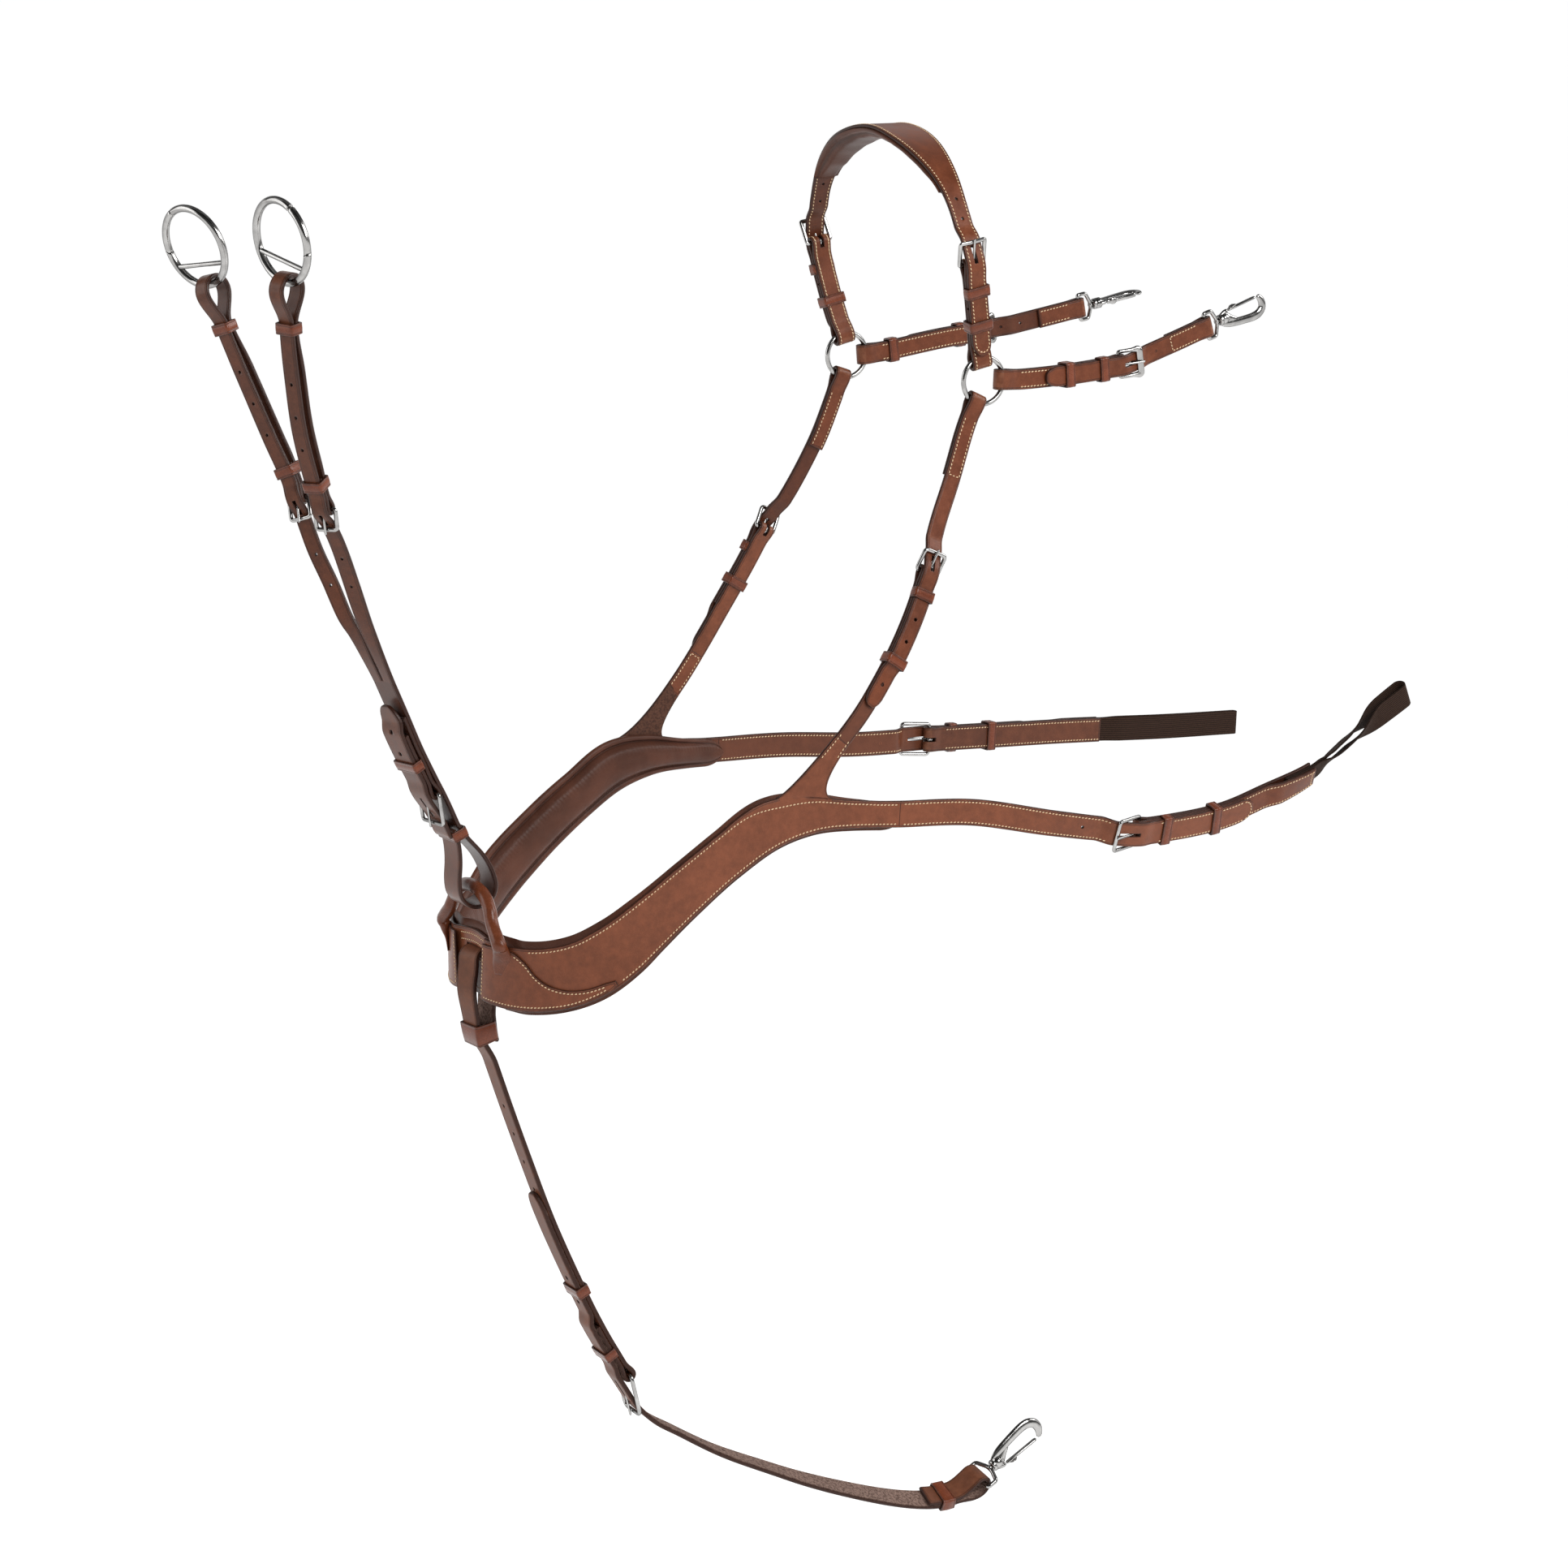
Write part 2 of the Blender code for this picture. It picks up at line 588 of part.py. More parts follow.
def between(keys, s):
    """Values read from a short table of (station, value, value...) with a smooth curve between its rows."""
    if s <= keys[0][0]:
        return keys[0][1:]
    if s >= keys[-1][0]:
        return keys[-1][1:]
    i = max(k for k in range(len(keys) - 1) if keys[k][0] <= s)
    before, a, b, after = (keys[min(max(i + k, 0), len(keys) - 1)] for k in (-1, 0, 1, 2))
    t = (s - a[0]) / (b[0] - a[0])
    values = []
    for v, (p0, p1, p2, p3) in enumerate(zip(before[1:], a[1:], b[1:], after[1:])):
        slope_a = (p2 - p0) / max(b[0] - before[0], 1e-9) * (b[0] - a[0])
        slope_b = (p3 - p1) / max(after[0] - a[0], 1e-9) * (b[0] - a[0])
        values.append(p1 * (2 * t ** 3 - 3 * t * t + 1) + slope_a * (t ** 3 - 2 * t * t + t)
                      + p2 * (3 * t * t - 2 * t ** 3) + slope_b * (t ** 3 - t * t))
    return tuple(values)


def in_mm(table):
    return [tuple(value * MM for value in row) for row in table]


# The chest leather's lower and upper edges beside its line, from the centre to the girth strap
PANEL_EDGES = in_mm([
    (24, -30, 29), (70, -30, 29), (140, -28, 28.5), (207, -23.5, 27), (255, -20.5, 26.5), (304, -18, 27),
    (352, -16.5, 29), (412, -13, 16), (450, -12.6, 12.8), (477, -12.5, 12.5),
])
# The gusset that holds a foot of the rolled front loop: lower and upper edge
GUSSET_EDGES = in_mm([
    (26, -28, 25), (66, -28, 25), (80, -28, 17), (90, -28, 5), (101, -28, -4), (116, -28, -11),
    (132, -27, -15), (148, -26, -17), (157, -24.5, -19.5),
])
GUSSET_LEATHER = 2 * MM
# Half sections of the padded forms: share of the half width, share of the depth
LINING_SECTION = [(-1, 0), (0, 0), (1, 0), (1, 0.26), (0.68, 0.32), (0.5, 0.78), (0, 1), (-0.5, 0.78),
                  (-0.68, 0.32), (-1, 0.26)]
PAD_SECTION = [(-1, 0), (0, 0), (1, 0), (1, 0.3), (0.8, 0.42), (0.62, 0.9), (0, 1), (-0.62, 0.9),
               (-0.8, 0.42), (-1, 0.3)]


def ring_pass(line, ring_s, facing, leather, width, bar):
    """A strap's turn through a wither ring: from its outer layer, round the wire, to its inner layer."""
    turn_radius = RING_WIRE + 2.6 * CLEARANCE + leather / 2
    ahead, out = ring_shift(line, ring_s, bar, width)
    start, end = (90, -90) if facing > 0 else (90, 270)
    return joined([(ring_s, bar + turn_radius)], turn(ring_s + ahead, bar + out, turn_radius, start, end),
                  [(ring_s, bar - turn_radius)])


def double_strap(name, line, buckle, ring_s, width, finish, start):
    """A strap folded round a ring at one end and round a buckle's heel bar at the other, its ends meeting."""
    f = buckle.facing
    ring_turn = ring_pass(line, ring_s, f, buckle.leather, width, buckle.bar)
    outer = buckle.base + buckle.pitch
    path = joined(
        lay((start, outer), (ring_s - f * 14 * MM, outer), ring_turn[0]),
        ring_turn,
        lay(ring_turn[-1], (ring_s - f * 14 * MM, buckle.base), (buckle.heel + f * FOLD_RAMP, buckle.base),
            (buckle.heel, buckle.bar - buckle.turn_radius)),
        buckle.fold(),
        buckle.chape_out(start - f * 1.2 * MM),
    )
    piece = strap(name, line, path, width, buckle.leather, finish)
    boolean(piece, buckle.fold_slot(name), "DIFFERENCE")
    return piece


def looped_billet(name, line, buckle, bar_s, sewn, wire_radius, width, finish, chape_end, tip, on_ring=False):
    """A billet whose other end is folded inwards round a ring or a snap's eye and sewn to itself."""
    f = -1 if bar_s > buckle.heel else 1  # the way from the loop to the buckle
    bar_o = -buckle.pitch / 2
    turn_radius = wire_radius + 1.6 * CLEARANCE + buckle.leather / 2
    ahead, out = ring_shift(line, bar_s, bar_o, width) if on_ring else (0, 0)
    start, end = (-90, 90) if f < 0 else (-90, -270)
    path = joined(
        lay((bar_s + f * sewn, -buckle.pitch), (bar_s + f * 14 * MM, -buckle.pitch),
            (bar_s, bar_o - turn_radius)),
        turn(bar_s + ahead, bar_o + out, turn_radius, start, end),
        lay((bar_s, bar_o + turn_radius), (bar_s + f * 14 * MM, 0)),
        buckle.billet(bar_s + f * 14 * MM, 0, chape_end, tip),
    )
    piece = strap(name, line, path, width, buckle.leather, finish, tip_end=True)
    boolean(piece, buckle.billet_hole(name), "DIFFERENCE")
    return piece


def make_wither():
    """The wither strap with its pad, and on each side a tab that holds buckle and ring."""
    far = from_ring(WITHER_SIDE)
    near = [(x, -y, z) for x, y, z in reversed(far)]
    line = Line(far + [CREST] + near, ALONG_X, 1)
    middle = line.length / 2

    def swell(s):
        spread = max(0.0, 1 - abs(s - middle) / (PAD_HALF + 26 * MM))
        return (CREST_WIDTH - TAB_WIDTH) / 2 * smooth(min(1.0, spread * 1.25))

    paths = {}
    holes = []
    ends = (("far", -1, WITHER_HEEL, 0), ("near", 1, line.length - WITHER_HEEL, line.length))
    for side, facing, heel, ring_s in ends:
        buckle = Buckle(line, heel, facing, PANEL_LEATHER, TAB_WIDTH, 22 * MM)
        name = side + "_wither"
        buckle.make(name + "_buckle", STEEL)
        tab = double_strap(name + "_tab", line, buckle, ring_s, TAB_WIDTH, BROWN, heel + facing * 40 * MM)
        sewn_keeper(tab, buckle, ring_s - facing * WITHER_KEEPER, TAB_WIDTH, BROWN)
        paths[side] = buckle.billet(middle, 0, ring_s, ring_s - facing * WITHER_TIP, 2.8 * MM)
        holes.append(buckle.billet_hole(name))
    path = joined(list(reversed(paths["far"])), paths["near"])
    piece = strap("wither_strap", line, path, TAB_WIDTH, PANEL_LEATHER, BROWN, True, True, swell)
    for hole in holes:
        boolean(piece, hole, "DIFFERENCE")

    def pad_outline(s):
        half = TAB_WIDTH / 2 + swell(s) + 1.5 * MM
        end = smooth(min(1.0, (PAD_HALF - abs(s - middle)) / (30 * MM)))
        return -half, half, -PANEL_LEATHER / 2 - CLEARANCE, (3.2 + 6.3 * end) * MM

    stations = [s for s in line.rows if abs(s - middle) < PAD_HALF - 6 * MM]
    stations = [middle - PAD_HALF] + stations + [middle + PAD_HALF]
    bolster("wither_pad", line.at, stations, PAD_SECTION, pad_outline, LINING)


def make_ring(name, centre, axis_turn, radius, wire_radius, finish):
    bpy.ops.mesh.primitive_torus_add(major_segments=28, minor_segments=8, major_radius=radius,
                                     minor_radius=wire_radius)
    ring = bpy.context.object
    ring.name = name
    ring.data.name = name
    ring.matrix_world = Matrix.Translation(centre) @ axis_turn
    ring.data.materials.append(finish)
    ring.data.shade_smooth()
    for owner in list(ring.users_collection):
        owner.objects.unlink(ring)
    PARTS.objects.link(ring)
    return ring


def make_snap(name, frame, roll, eye_width, finish, size=1.0):
    """A swivel snap hook: x runs from the eye's bar to the nose, the hook opens in x and y, z is its thickness."""
    half = (eye_width / 2 + 1.2 * MM) / size + SNAP_WIRE
    post_start, post_end = 13 * MM, 25 * MM
    outline = rounded([Vector((0, 0, -half)), Vector((0, 0, half)), Vector((post_start - 4 * MM, 0, half)),
                       Vector((post_start, 0, 3 * MM)), Vector((post_start, 0, -3 * MM)),
                       Vector((post_start - 4 * MM, 0, -half))], 1.8 * MM, 1)
    eye = as_mesh(wire(name + "_eye", outline, SNAP_WIRE, finish, closed=True), PARTS)
    post_radius, head_radius = 2.1 * MM, 3.5 * MM
    post = [(post_start - 0.5 * MM, post_radius), (post_end, post_radius), (post_end + 0.3 * MM, head_radius),
            (post_end + 2 * MM, head_radius), (post_end + 2.6 * MM, head_radius * 0.6)]
    rod = as_mesh(wire(name + "_post", [Vector((x, 0, 0)) for x, r in post], 1.0, finish, sides=2,
                       radii=[r for x, r in post], group=CUTTERS), CUTTERS)
    boolean(eye, operand(rod), "UNION")
    sleeve_start, sleeve_end = post_start + SNAP_WIRE + 0.5 * MM, post_end - 0.4 * MM
    sleeve_radius, bore = 5.3 * MM, post_radius + 0.4 * MM
    sides = 14
    ring = [(sleeve_start, bore), (sleeve_start, sleeve_radius - 1 * MM), (sleeve_start + 1.5 * MM, sleeve_radius),
            (sleeve_end, sleeve_radius), (sleeve_end, bore)]
    points = [Vector((x, r * math.cos(math.tau * k / sides), r * math.sin(math.tau * k / sides)))
              for x, r in ring for k in range(sides)]
    faces = [(i * sides + k, i * sides + (k + 1) % sides, (i + 1) % len(ring) * sides + (k + 1) % sides,
              (i + 1) % len(ring) * sides + k) for i in range(len(ring)) for k in range(sides)]
    mesh = bpy.data.meshes.new(name + "_hook")
    mesh.from_pydata([tuple(point) for point in points], [], faces)
    bm = bmesh.new()
    bm.from_mesh(mesh)
    bmesh.ops.recalc_face_normals(bm, faces=bm.faces)
    bm.to_mesh(mesh)
    bm.free()
    mesh.materials.append(finish)
    mesh.shade_smooth()
    hook = bpy.data.objects.new(name + "_hook", mesh)
    PARTS.objects.link(hook)
    spine = [(20, 4.9, 1.8), (25, 6.7, 2.2), (34, 8.6, 2.5), (46, 10.4, 2.7), (56, 11.6, 2.8), (64, 10.4, 2.9),
             (69.5, 6.0, 2.9), (70.5, 0.5, 2.7), (68.4, -4.4, 2.3), (64.6, -6.6, 1.9)]
    root = [(20, -4.9, 1.8), (25, -6.3, 1.8), (28.2, -6.3, 1.5)]
    for label, stops in (("spine", spine), ("root", root)):
        bar = as_mesh(wire(name + "_" + label, [Vector((x, y, 0)) * MM for x, y, r in stops], 1.0, finish,
                           radii=[r * MM for x, y, r in stops], group=CUTTERS), CUTTERS)
        boolean(hook, operand(bar), "UNION")
    gate_stops = [(28.7, -6.3, 0.9), (30.2, -6.3, 1.5), (60, -6.6, 1.5), (62.2, -6.6, 0.9)]
    gate = as_mesh(wire(name + "_gate", [Vector((x, y, 0)) * MM for x, y, r in gate_stops], 1.0, finish,
                        radii=[r * MM for x, y, r in gate_stops]), PARTS)
    frame = frame @ Matrix.Scale(size, 4)
    for piece in (eye, bpy.data.objects[name + "_post"]):
        piece.data.transform(frame)
    for piece in (hook, gate, bpy.data.objects[name + "_spine"], bpy.data.objects[name + "_root"]):
        piece.data.transform(frame @ roll)


def snap_frame(line, s, o, roll):
    """The frame of a snap whose eye bar lies at a station, and the hook's turn about its own length."""
    along, out, across = line.axes(s)
    frame = Matrix.Translation(line.at(s, o)) @ Matrix((along, out, across)).transposed().to_4x4()
    if frame.determinant() < 0:
        frame = frame @ Matrix.Diagonal((1, 1, -1, 1))
    return frame, Matrix.Rotation(roll, 4, "X")


def make_saddle_strap(side, sign, points, roll):
    """The strap from a wither ring to the saddle: chape, billet and snap hook."""
    name = side + "_saddle"
    line = side_line(from_ring(points), sign, ALONG_Z)
    buckle = Buckle(line, SADDLE_HEEL, -1, STRAP_LEATHER, SADDLE_WIDTH, 21 * MM, roomy=3 * MM)
    buckle.make(name + "_buckle", STEEL)
    chape = double_strap(name + "_chape", line, buckle, 0, SADDLE_WIDTH, BROWN, SADDLE_HEEL - 45 * MM)
    sewn_keeper(chape, buckle, SADDLE_KEEPER, SADDLE_WIDTH, BROWN)
    bar_s = line.length
    looped_billet(name + "_billet", line, buckle, bar_s, SADDLE_SEWN, SNAP_WIRE, SADDLE_WIDTH, BROWN,
                  0, SADDLE_TIP)
    make_snap(side + "_snap", *snap_frame(line, bar_s, -buckle.pitch / 2, roll), SADDLE_WIDTH, STEEL)


def make_shoulder_strap(side, sign, points):
    """The strap from a wither ring down to the chest, and the buckle that joins them."""
    line = side_line(from_ring(points), sign, ALONG_X)
    buckle = Buckle(line, SHOULDER_HEEL, 1, STRAP_LEATHER, SHOULDER_WIDTH, 20 * MM, roomy=3 * MM)
    buckle.make(side + "_shoulder_buckle", STEEL)
    looped_billet(side + "_shoulder_strap", line, buckle, 0, SHOULDER_SEWN, RING_WIRE, SHOULDER_WIDTH, BROWN,
                  SHOULDER_HEEL + SHOULDER_CHAPE, SHOULDER_TIP, True)
    return line, buckle


def panel_edges(s):
    low, high = between(PANEL_EDGES, s)
    return low, high


def make_chest_panel(side, line, shoulder, buckle_up, girth):
    """One half of the chest leather: panel, yoke arm with the shoulder chape, and the long girth billet."""
    rows = []  # (station, height, low, high)
    start = PANEL_START
    if side == "far":
        start = 42 * MM
        pitch = PANEL_LEATHER + CLEARANCE
        for s, o in line.with_rows(lay((-50 * MM, -pitch), (24 * MM, -pitch), (start, 0))):
            low, high = panel_edges(s)
            rows.append((s, o, low, high))
        rows.pop()
    columns = 3
    roots = [YOKE_START + (YOKE_END - YOKE_START) * k / columns for k in range(columns + 1)]
    stations = [start] + [s for s in line.rows if start + 4 * MM < s < SEAM - 4 * MM
                          and not roots[0] - 4 * MM < s < roots[-1] + 4 * MM]
    stations = sorted(stations + roots)
    first_root = len(rows) + stations.index(roots[0])
    rows += [(s, 0.0, *panel_edges(s)) for s in stations]
    billet = girth.billet(SEAM, 0, GIRTH_CHAPE_END, GIRTH_TIP)
    for s, o, half in tipped(line.with_rows(billet), GIRTH_WIDTH, False, True):
        rows.append((s, o, -half, half))
    points = []
    for s, o, low, high in rows:
        points += [line.at(s, o, low), line.at(s, o, (low + high) / 2), line.at(s, o, high)]
    faces = grid_faces(len(rows), 3)
    root = [points[3 * (first_root + k) + 2] for k in range(columns + 1)]
    root_index = [3 * (first_root + k) + 2 for k in range(columns + 1)]
    half = SHOULDER_WIDTH / 2
    neck = shoulder.length - 18 * MM
    previous = root_index
    for t in (0.25, 0.5, 0.75, 1.0):
        current = []
        for k in range(columns + 1):
            w = half * 1.12 * (2 * k / columns - 1)
            reach = neck
            spot = shoulder.at(reach, 0, w)
            while spot.z > root[0].z + (root[-1].z - root[0].z) * k / columns + 7 * MM:
                reach += MM
                spot = shoulder.at(reach, 0, w)
            bend = Vector((spot.x, (spot.y + root[k].y) / 2, spot.z))
            current.append(len(points))
            points.append(root[k] * (1 - t) ** 2 + bend * 2 * t * (1 - t) + shoulder.at(neck, 0, w) * t * t)
        faces += [(previous[k], previous[k + 1], current[k + 1], current[k]) for k in range(columns)]
        previous = current
    chape = joined(buckle_up.chape_in(neck - 22 * MM), buckle_up.fold(),
                   buckle_up.chape_out(SHOULDER_HEEL + SHOULDER_CHAPE))
    for s, o in shoulder.with_rows(chape):
        current = list(range(len(points), len(points) + columns + 1))
        points += [shoulder.at(s, o, half * (2 * k / columns - 1)) for k in range(columns + 1)]
        faces += [(previous[k], previous[k + 1], current[k + 1], current[k]) for k in range(columns)]
        previous = current
    piece = solid_sheet(side + "_chest_panel", points, faces, PANEL_LEATHER, BROWN, PARTS)
    boolean(piece, girth.billet_hole(side + "_girth"), "DIFFERENCE")
    boolean(piece, buckle_up.fold_slot(side + "_shoulder"), "DIFFERENCE")
    sewn_keeper(piece, buckle_up, SHOULDER_KEEPER, SHOULDER_WIDTH, BROWN)
    if side == "far":
        centre = Vector(BELLY_LINE[0]) * MM
        low = Vector((-BELLY_WIDTH / 2 - 2.6 * MM, -3 * MM, 0.3 * MM))
        high = Vector((BELLY_WIDTH / 2 + 2.6 * MM, 3 * MM, 9.2 * MM))
        slot = Matrix.Translation(centre) @ Matrix((ALONG_Y, -ALONG_X, ALONG_Z)).transposed().to_4x4()
        boolean(piece, box_cutter("bridge_slot", slot, low, high), "DIFFERENCE")
    return piece


def make_lining(near, far):
    """The padded lining behind both panels, narrowed behind the bridge where the belly strap passes."""
    pitch = PANEL_LEATHER + CLEARANCE
    reach = SEAM + 4 * MM

    def spot(s, o, w):
        return (far if s > 0 else near).at(abs(s), o, w)

    def outline(s):
        d = abs(s)
        low, high = panel_edges(max(d, 24 * MM))
        neck = smooth(min(1.0, max(0.0, (d - 22 * MM) / (30 * MM))))
        low = 15 * MM + (low - 3 * MM - 15 * MM) * neck
        rim = (6 - 3.5 * smooth(min(1.0, max(0.0, (d - 120 * MM) / (130 * MM))))) * MM
        high = 36 * MM + (high + rim - 36 * MM) * smooth(min(1.0, d / (70 * MM)))
        end = smooth(min(1.0, max(0.0, (reach - d) / (90 * MM))))
        high -= 4.5 * MM * (1 - end)
        step_back = pitch * (1 - smooth(min(1.0, max(0.0, (d - 56 * MM) / (24 * MM)))))
        step_back += 1.8 * MM * smooth(max(0.0, 1 - abs(d - (YOKE_START + YOKE_END) / 2) / (110 * MM)))
        return low, high, -PANEL_LEATHER / 2 - 1.5 * CLEARANCE - step_back, (2.6 + 7.4 * end) * MM

    side = [s for s in far.rows if 4 * MM < s < reach - 6 * MM] + [reach]
    bolster("chest_lining", spot, [-s for s in reversed(side)] + [0.0] + side, LINING_SECTION, outline, LINING)


def make_front_loop(near, far):
    """The rolled leather loop, its feet spread into gussets that are sewn on the panels."""
    height = PANEL_LEATHER / 2 + CLEARANCE + GUSSET_LEATHER / 2
    feet = {}
    for side, line in (("near", near), ("far", far)):
        feet[side] = [(line.at(60 * MM, height + 0.1 * MM, 2 * MM), 0.8 * MM),
                      (line.at(59 * MM, 5 * MM, 9 * MM), 2.7 * MM), (line.at(57 * MM, 7.2 * MM, 18 * MM), 4.6 * MM),
                      (line.at(54 * MM, 8.2 * MM, 28 * MM), 5.2 * MM)]
    crest = [((-437, 43, -696), 5.2), ((-436, 36, -684), 5.2), ((-435.5, 27, -675), 5.2),
             ((-435.5, 14, -669.5), 5.2)]
    path = feet["near"] + [(Vector((x, -y, z)) * MM, r * MM) for (x, y, z), r in crest]
    path += [(Vector((-435.5, 0, -668)) * MM, 5.2 * MM)]
    path += [(Vector((x, y, z)) * MM, r * MM) for (x, y, z), r in reversed(crest)] + list(reversed(feet["far"]))
    piece = as_mesh(wire("front_loop", [point for point, r in path], 1.0, BROWN, sides=2,
                         radii=[r for point, r in path]), PARTS)
    for side, line in (("near", near), ("far", far)):
        keys = [(s * MM, height) for s in (26, 48, 62, 70, 77, 86, 97, 113, 130, 157)]
        points = []
        for s, o in line.with_rows(keys):
            low, high = between(GUSSET_EDGES, s)
            points += [line.at(s, o, low), line.at(s, o, (low + high) / 2), line.at(s, o, high)]
        faces = grid_faces(len(points) // 3, 3)
        gusset = solid_sheet(side + "_gusset", points, faces, GUSSET_LEATHER, BROWN, CUTTERS)
        boolean(piece, operand(gusset), "UNION")


def make_girth_end(side, line, buckle):
    """The short chape with its keeper, and the loop of elastic webbing sewn between its ends."""
    name = side + "_girth"
    buckle.make(name + "_buckle", STEEL)
    end = GIRTH_CHAPE_END
    inner = PANEL_LEATHER / 2 + CLEARANCE + WEBBING / 2
    outer = inner + WEBBING + CLEARANCE
    lifted = outer + WEBBING / 2 + CLEARANCE + PANEL_LEATHER / 2
    path = joined(buckle.chape_in(end), buckle.fold(), buckle.chape_out(end - 62 * MM),
                  lay((end - 62 * MM, buckle.pitch), (end - 40 * MM, lifted), (end, lifted)))
    chape = strap(name + "_chape", line, path, GIRTH_WIDTH, PANEL_LEATHER, BROWN)
    boolean(chape, buckle.fold_slot(name), "DIFFERENCE")
    sewn_keeper(chape, buckle, GIRTH_KEEPER, GIRTH_WIDTH, BROWN)
    middle = (inner + outer) / 2
    bend, reach = (6.2 * MM, 70 * MM) if side == "near" else (3.4 * MM, 46 * MM)
    turned = line.length - bend - 0.6 * MM
    spread = max(bend, 5 * MM)
    loop = joined(
        lay((end - 34 * MM, inner), (end + 4 * MM, inner), (end + reach, middle - spread), (turned, middle - bend)),
        turn(turned, middle, bend, -90, 90, 4),
        lay((turned, middle + bend), (end + reach, middle + spread), (end + 4 * MM, outer), (end - 34 * MM, outer)),
    )
    strap(name + "_loop", line, loop, GIRTH_WIDTH, WEBBING, WEB)


def belly_line():
    return Line(BELLY_LINE, ALONG_Y, -1, across_end=BELLY_TWIST, late=3, across_start=BELLY_TURN, settle=BELLY_SETTLE)


def make_belly_strap():
    """The strap from the bridge to the girth: chape, billet and snap hook."""
    line = belly_line()
    buckle = Buckle(line, BELLY_HEEL, -1, BELLY_LEATHER, BELLY_WIDTH, 42 * MM, wire_radius=2.1 * MM)
    buckle.make("belly_buckle", STEEL)
    bend, bend_s = 9.6 * MM, 3.5 * MM
    path = joined(
        lay((84 * MM, -7.5 * MM), (60 * MM, -8.6 * MM), (30 * MM, -12 * MM), (bend_s, -bend)),
        turn(bend_s, 0, bend, -90, -270),
        lay((bend_s, bend), (30 * MM, 12 * MM), (62 * MM, 8.6 * MM), (104 * MM, 0)),
        buckle.chape_in(104 * MM), buckle.fold(), buckle.chape_out(BELLY_HEEL - BELLY_SEWN),
    )
    chape = strap("belly_chape", line, path, BELLY_WIDTH, BELLY_LEATHER, BROWN)
    boolean(chape, buckle.fold_slot("belly"), "DIFFERENCE")
    sewn_keeper(chape, buckle, BELLY_FIXED_KEEPER, BELLY_WIDTH, BROWN)
    high = 8.6 * MM + BELLY_LEATHER / 2 + CLEARANCE + KEEPER_LEATHER / 2
    band = keeper("belly_top_keeper", line, BELLY_KEEPER, -7.6 * MM, high, BELLY_WIDTH, BROWN, 15 * MM)
    boolean(chape, band, "UNION")

    bend = 10.5 * MM
    centre = line.length - bend - BELLY_LEATHER / 2
    bar_s = centre + bend - BELLY_LEATHER / 2 - CLEARANCE - SNAP_WIRE * BELLY_SNAP_SIZE
    middle = -buckle.pitch / 2
    path = joined(
        lay((centre - 62 * MM, -buckle.pitch), (centre - 28 * MM, -buckle.pitch), (centre, middle - bend)),
        turn(centre, middle, bend, -90, 90),
        lay((centre, middle + bend), (centre - 28 * MM, 0)),
        buckle.billet(centre - 28 * MM, 0, BELLY_HEEL - BELLY_SEWN, BELLY_TIP),
    )
    billet = strap("belly_billet", line, path, BELLY_WIDTH, BELLY_LEATHER, BROWN, tip_end=True)
    boolean(billet, buckle.billet_hole("belly"), "DIFFERENCE")
    place = snap_frame(line, bar_s, middle, BELLY_SNAP_ROLL)
    make_snap("belly_snap", *place, BELLY_WIDTH, STEEL, BELLY_SNAP_SIZE)


def arm_line(sign, route):
    """The line of one arm, which turns its flat side outwards above the split."""
    return Line([(x, sign * y, z) for x, y, z in route], ARM_TWIST, 1, across_end=LOOP_TWIST,
                across_start=STEM_TWIST, settle=ARM_SETTLE)


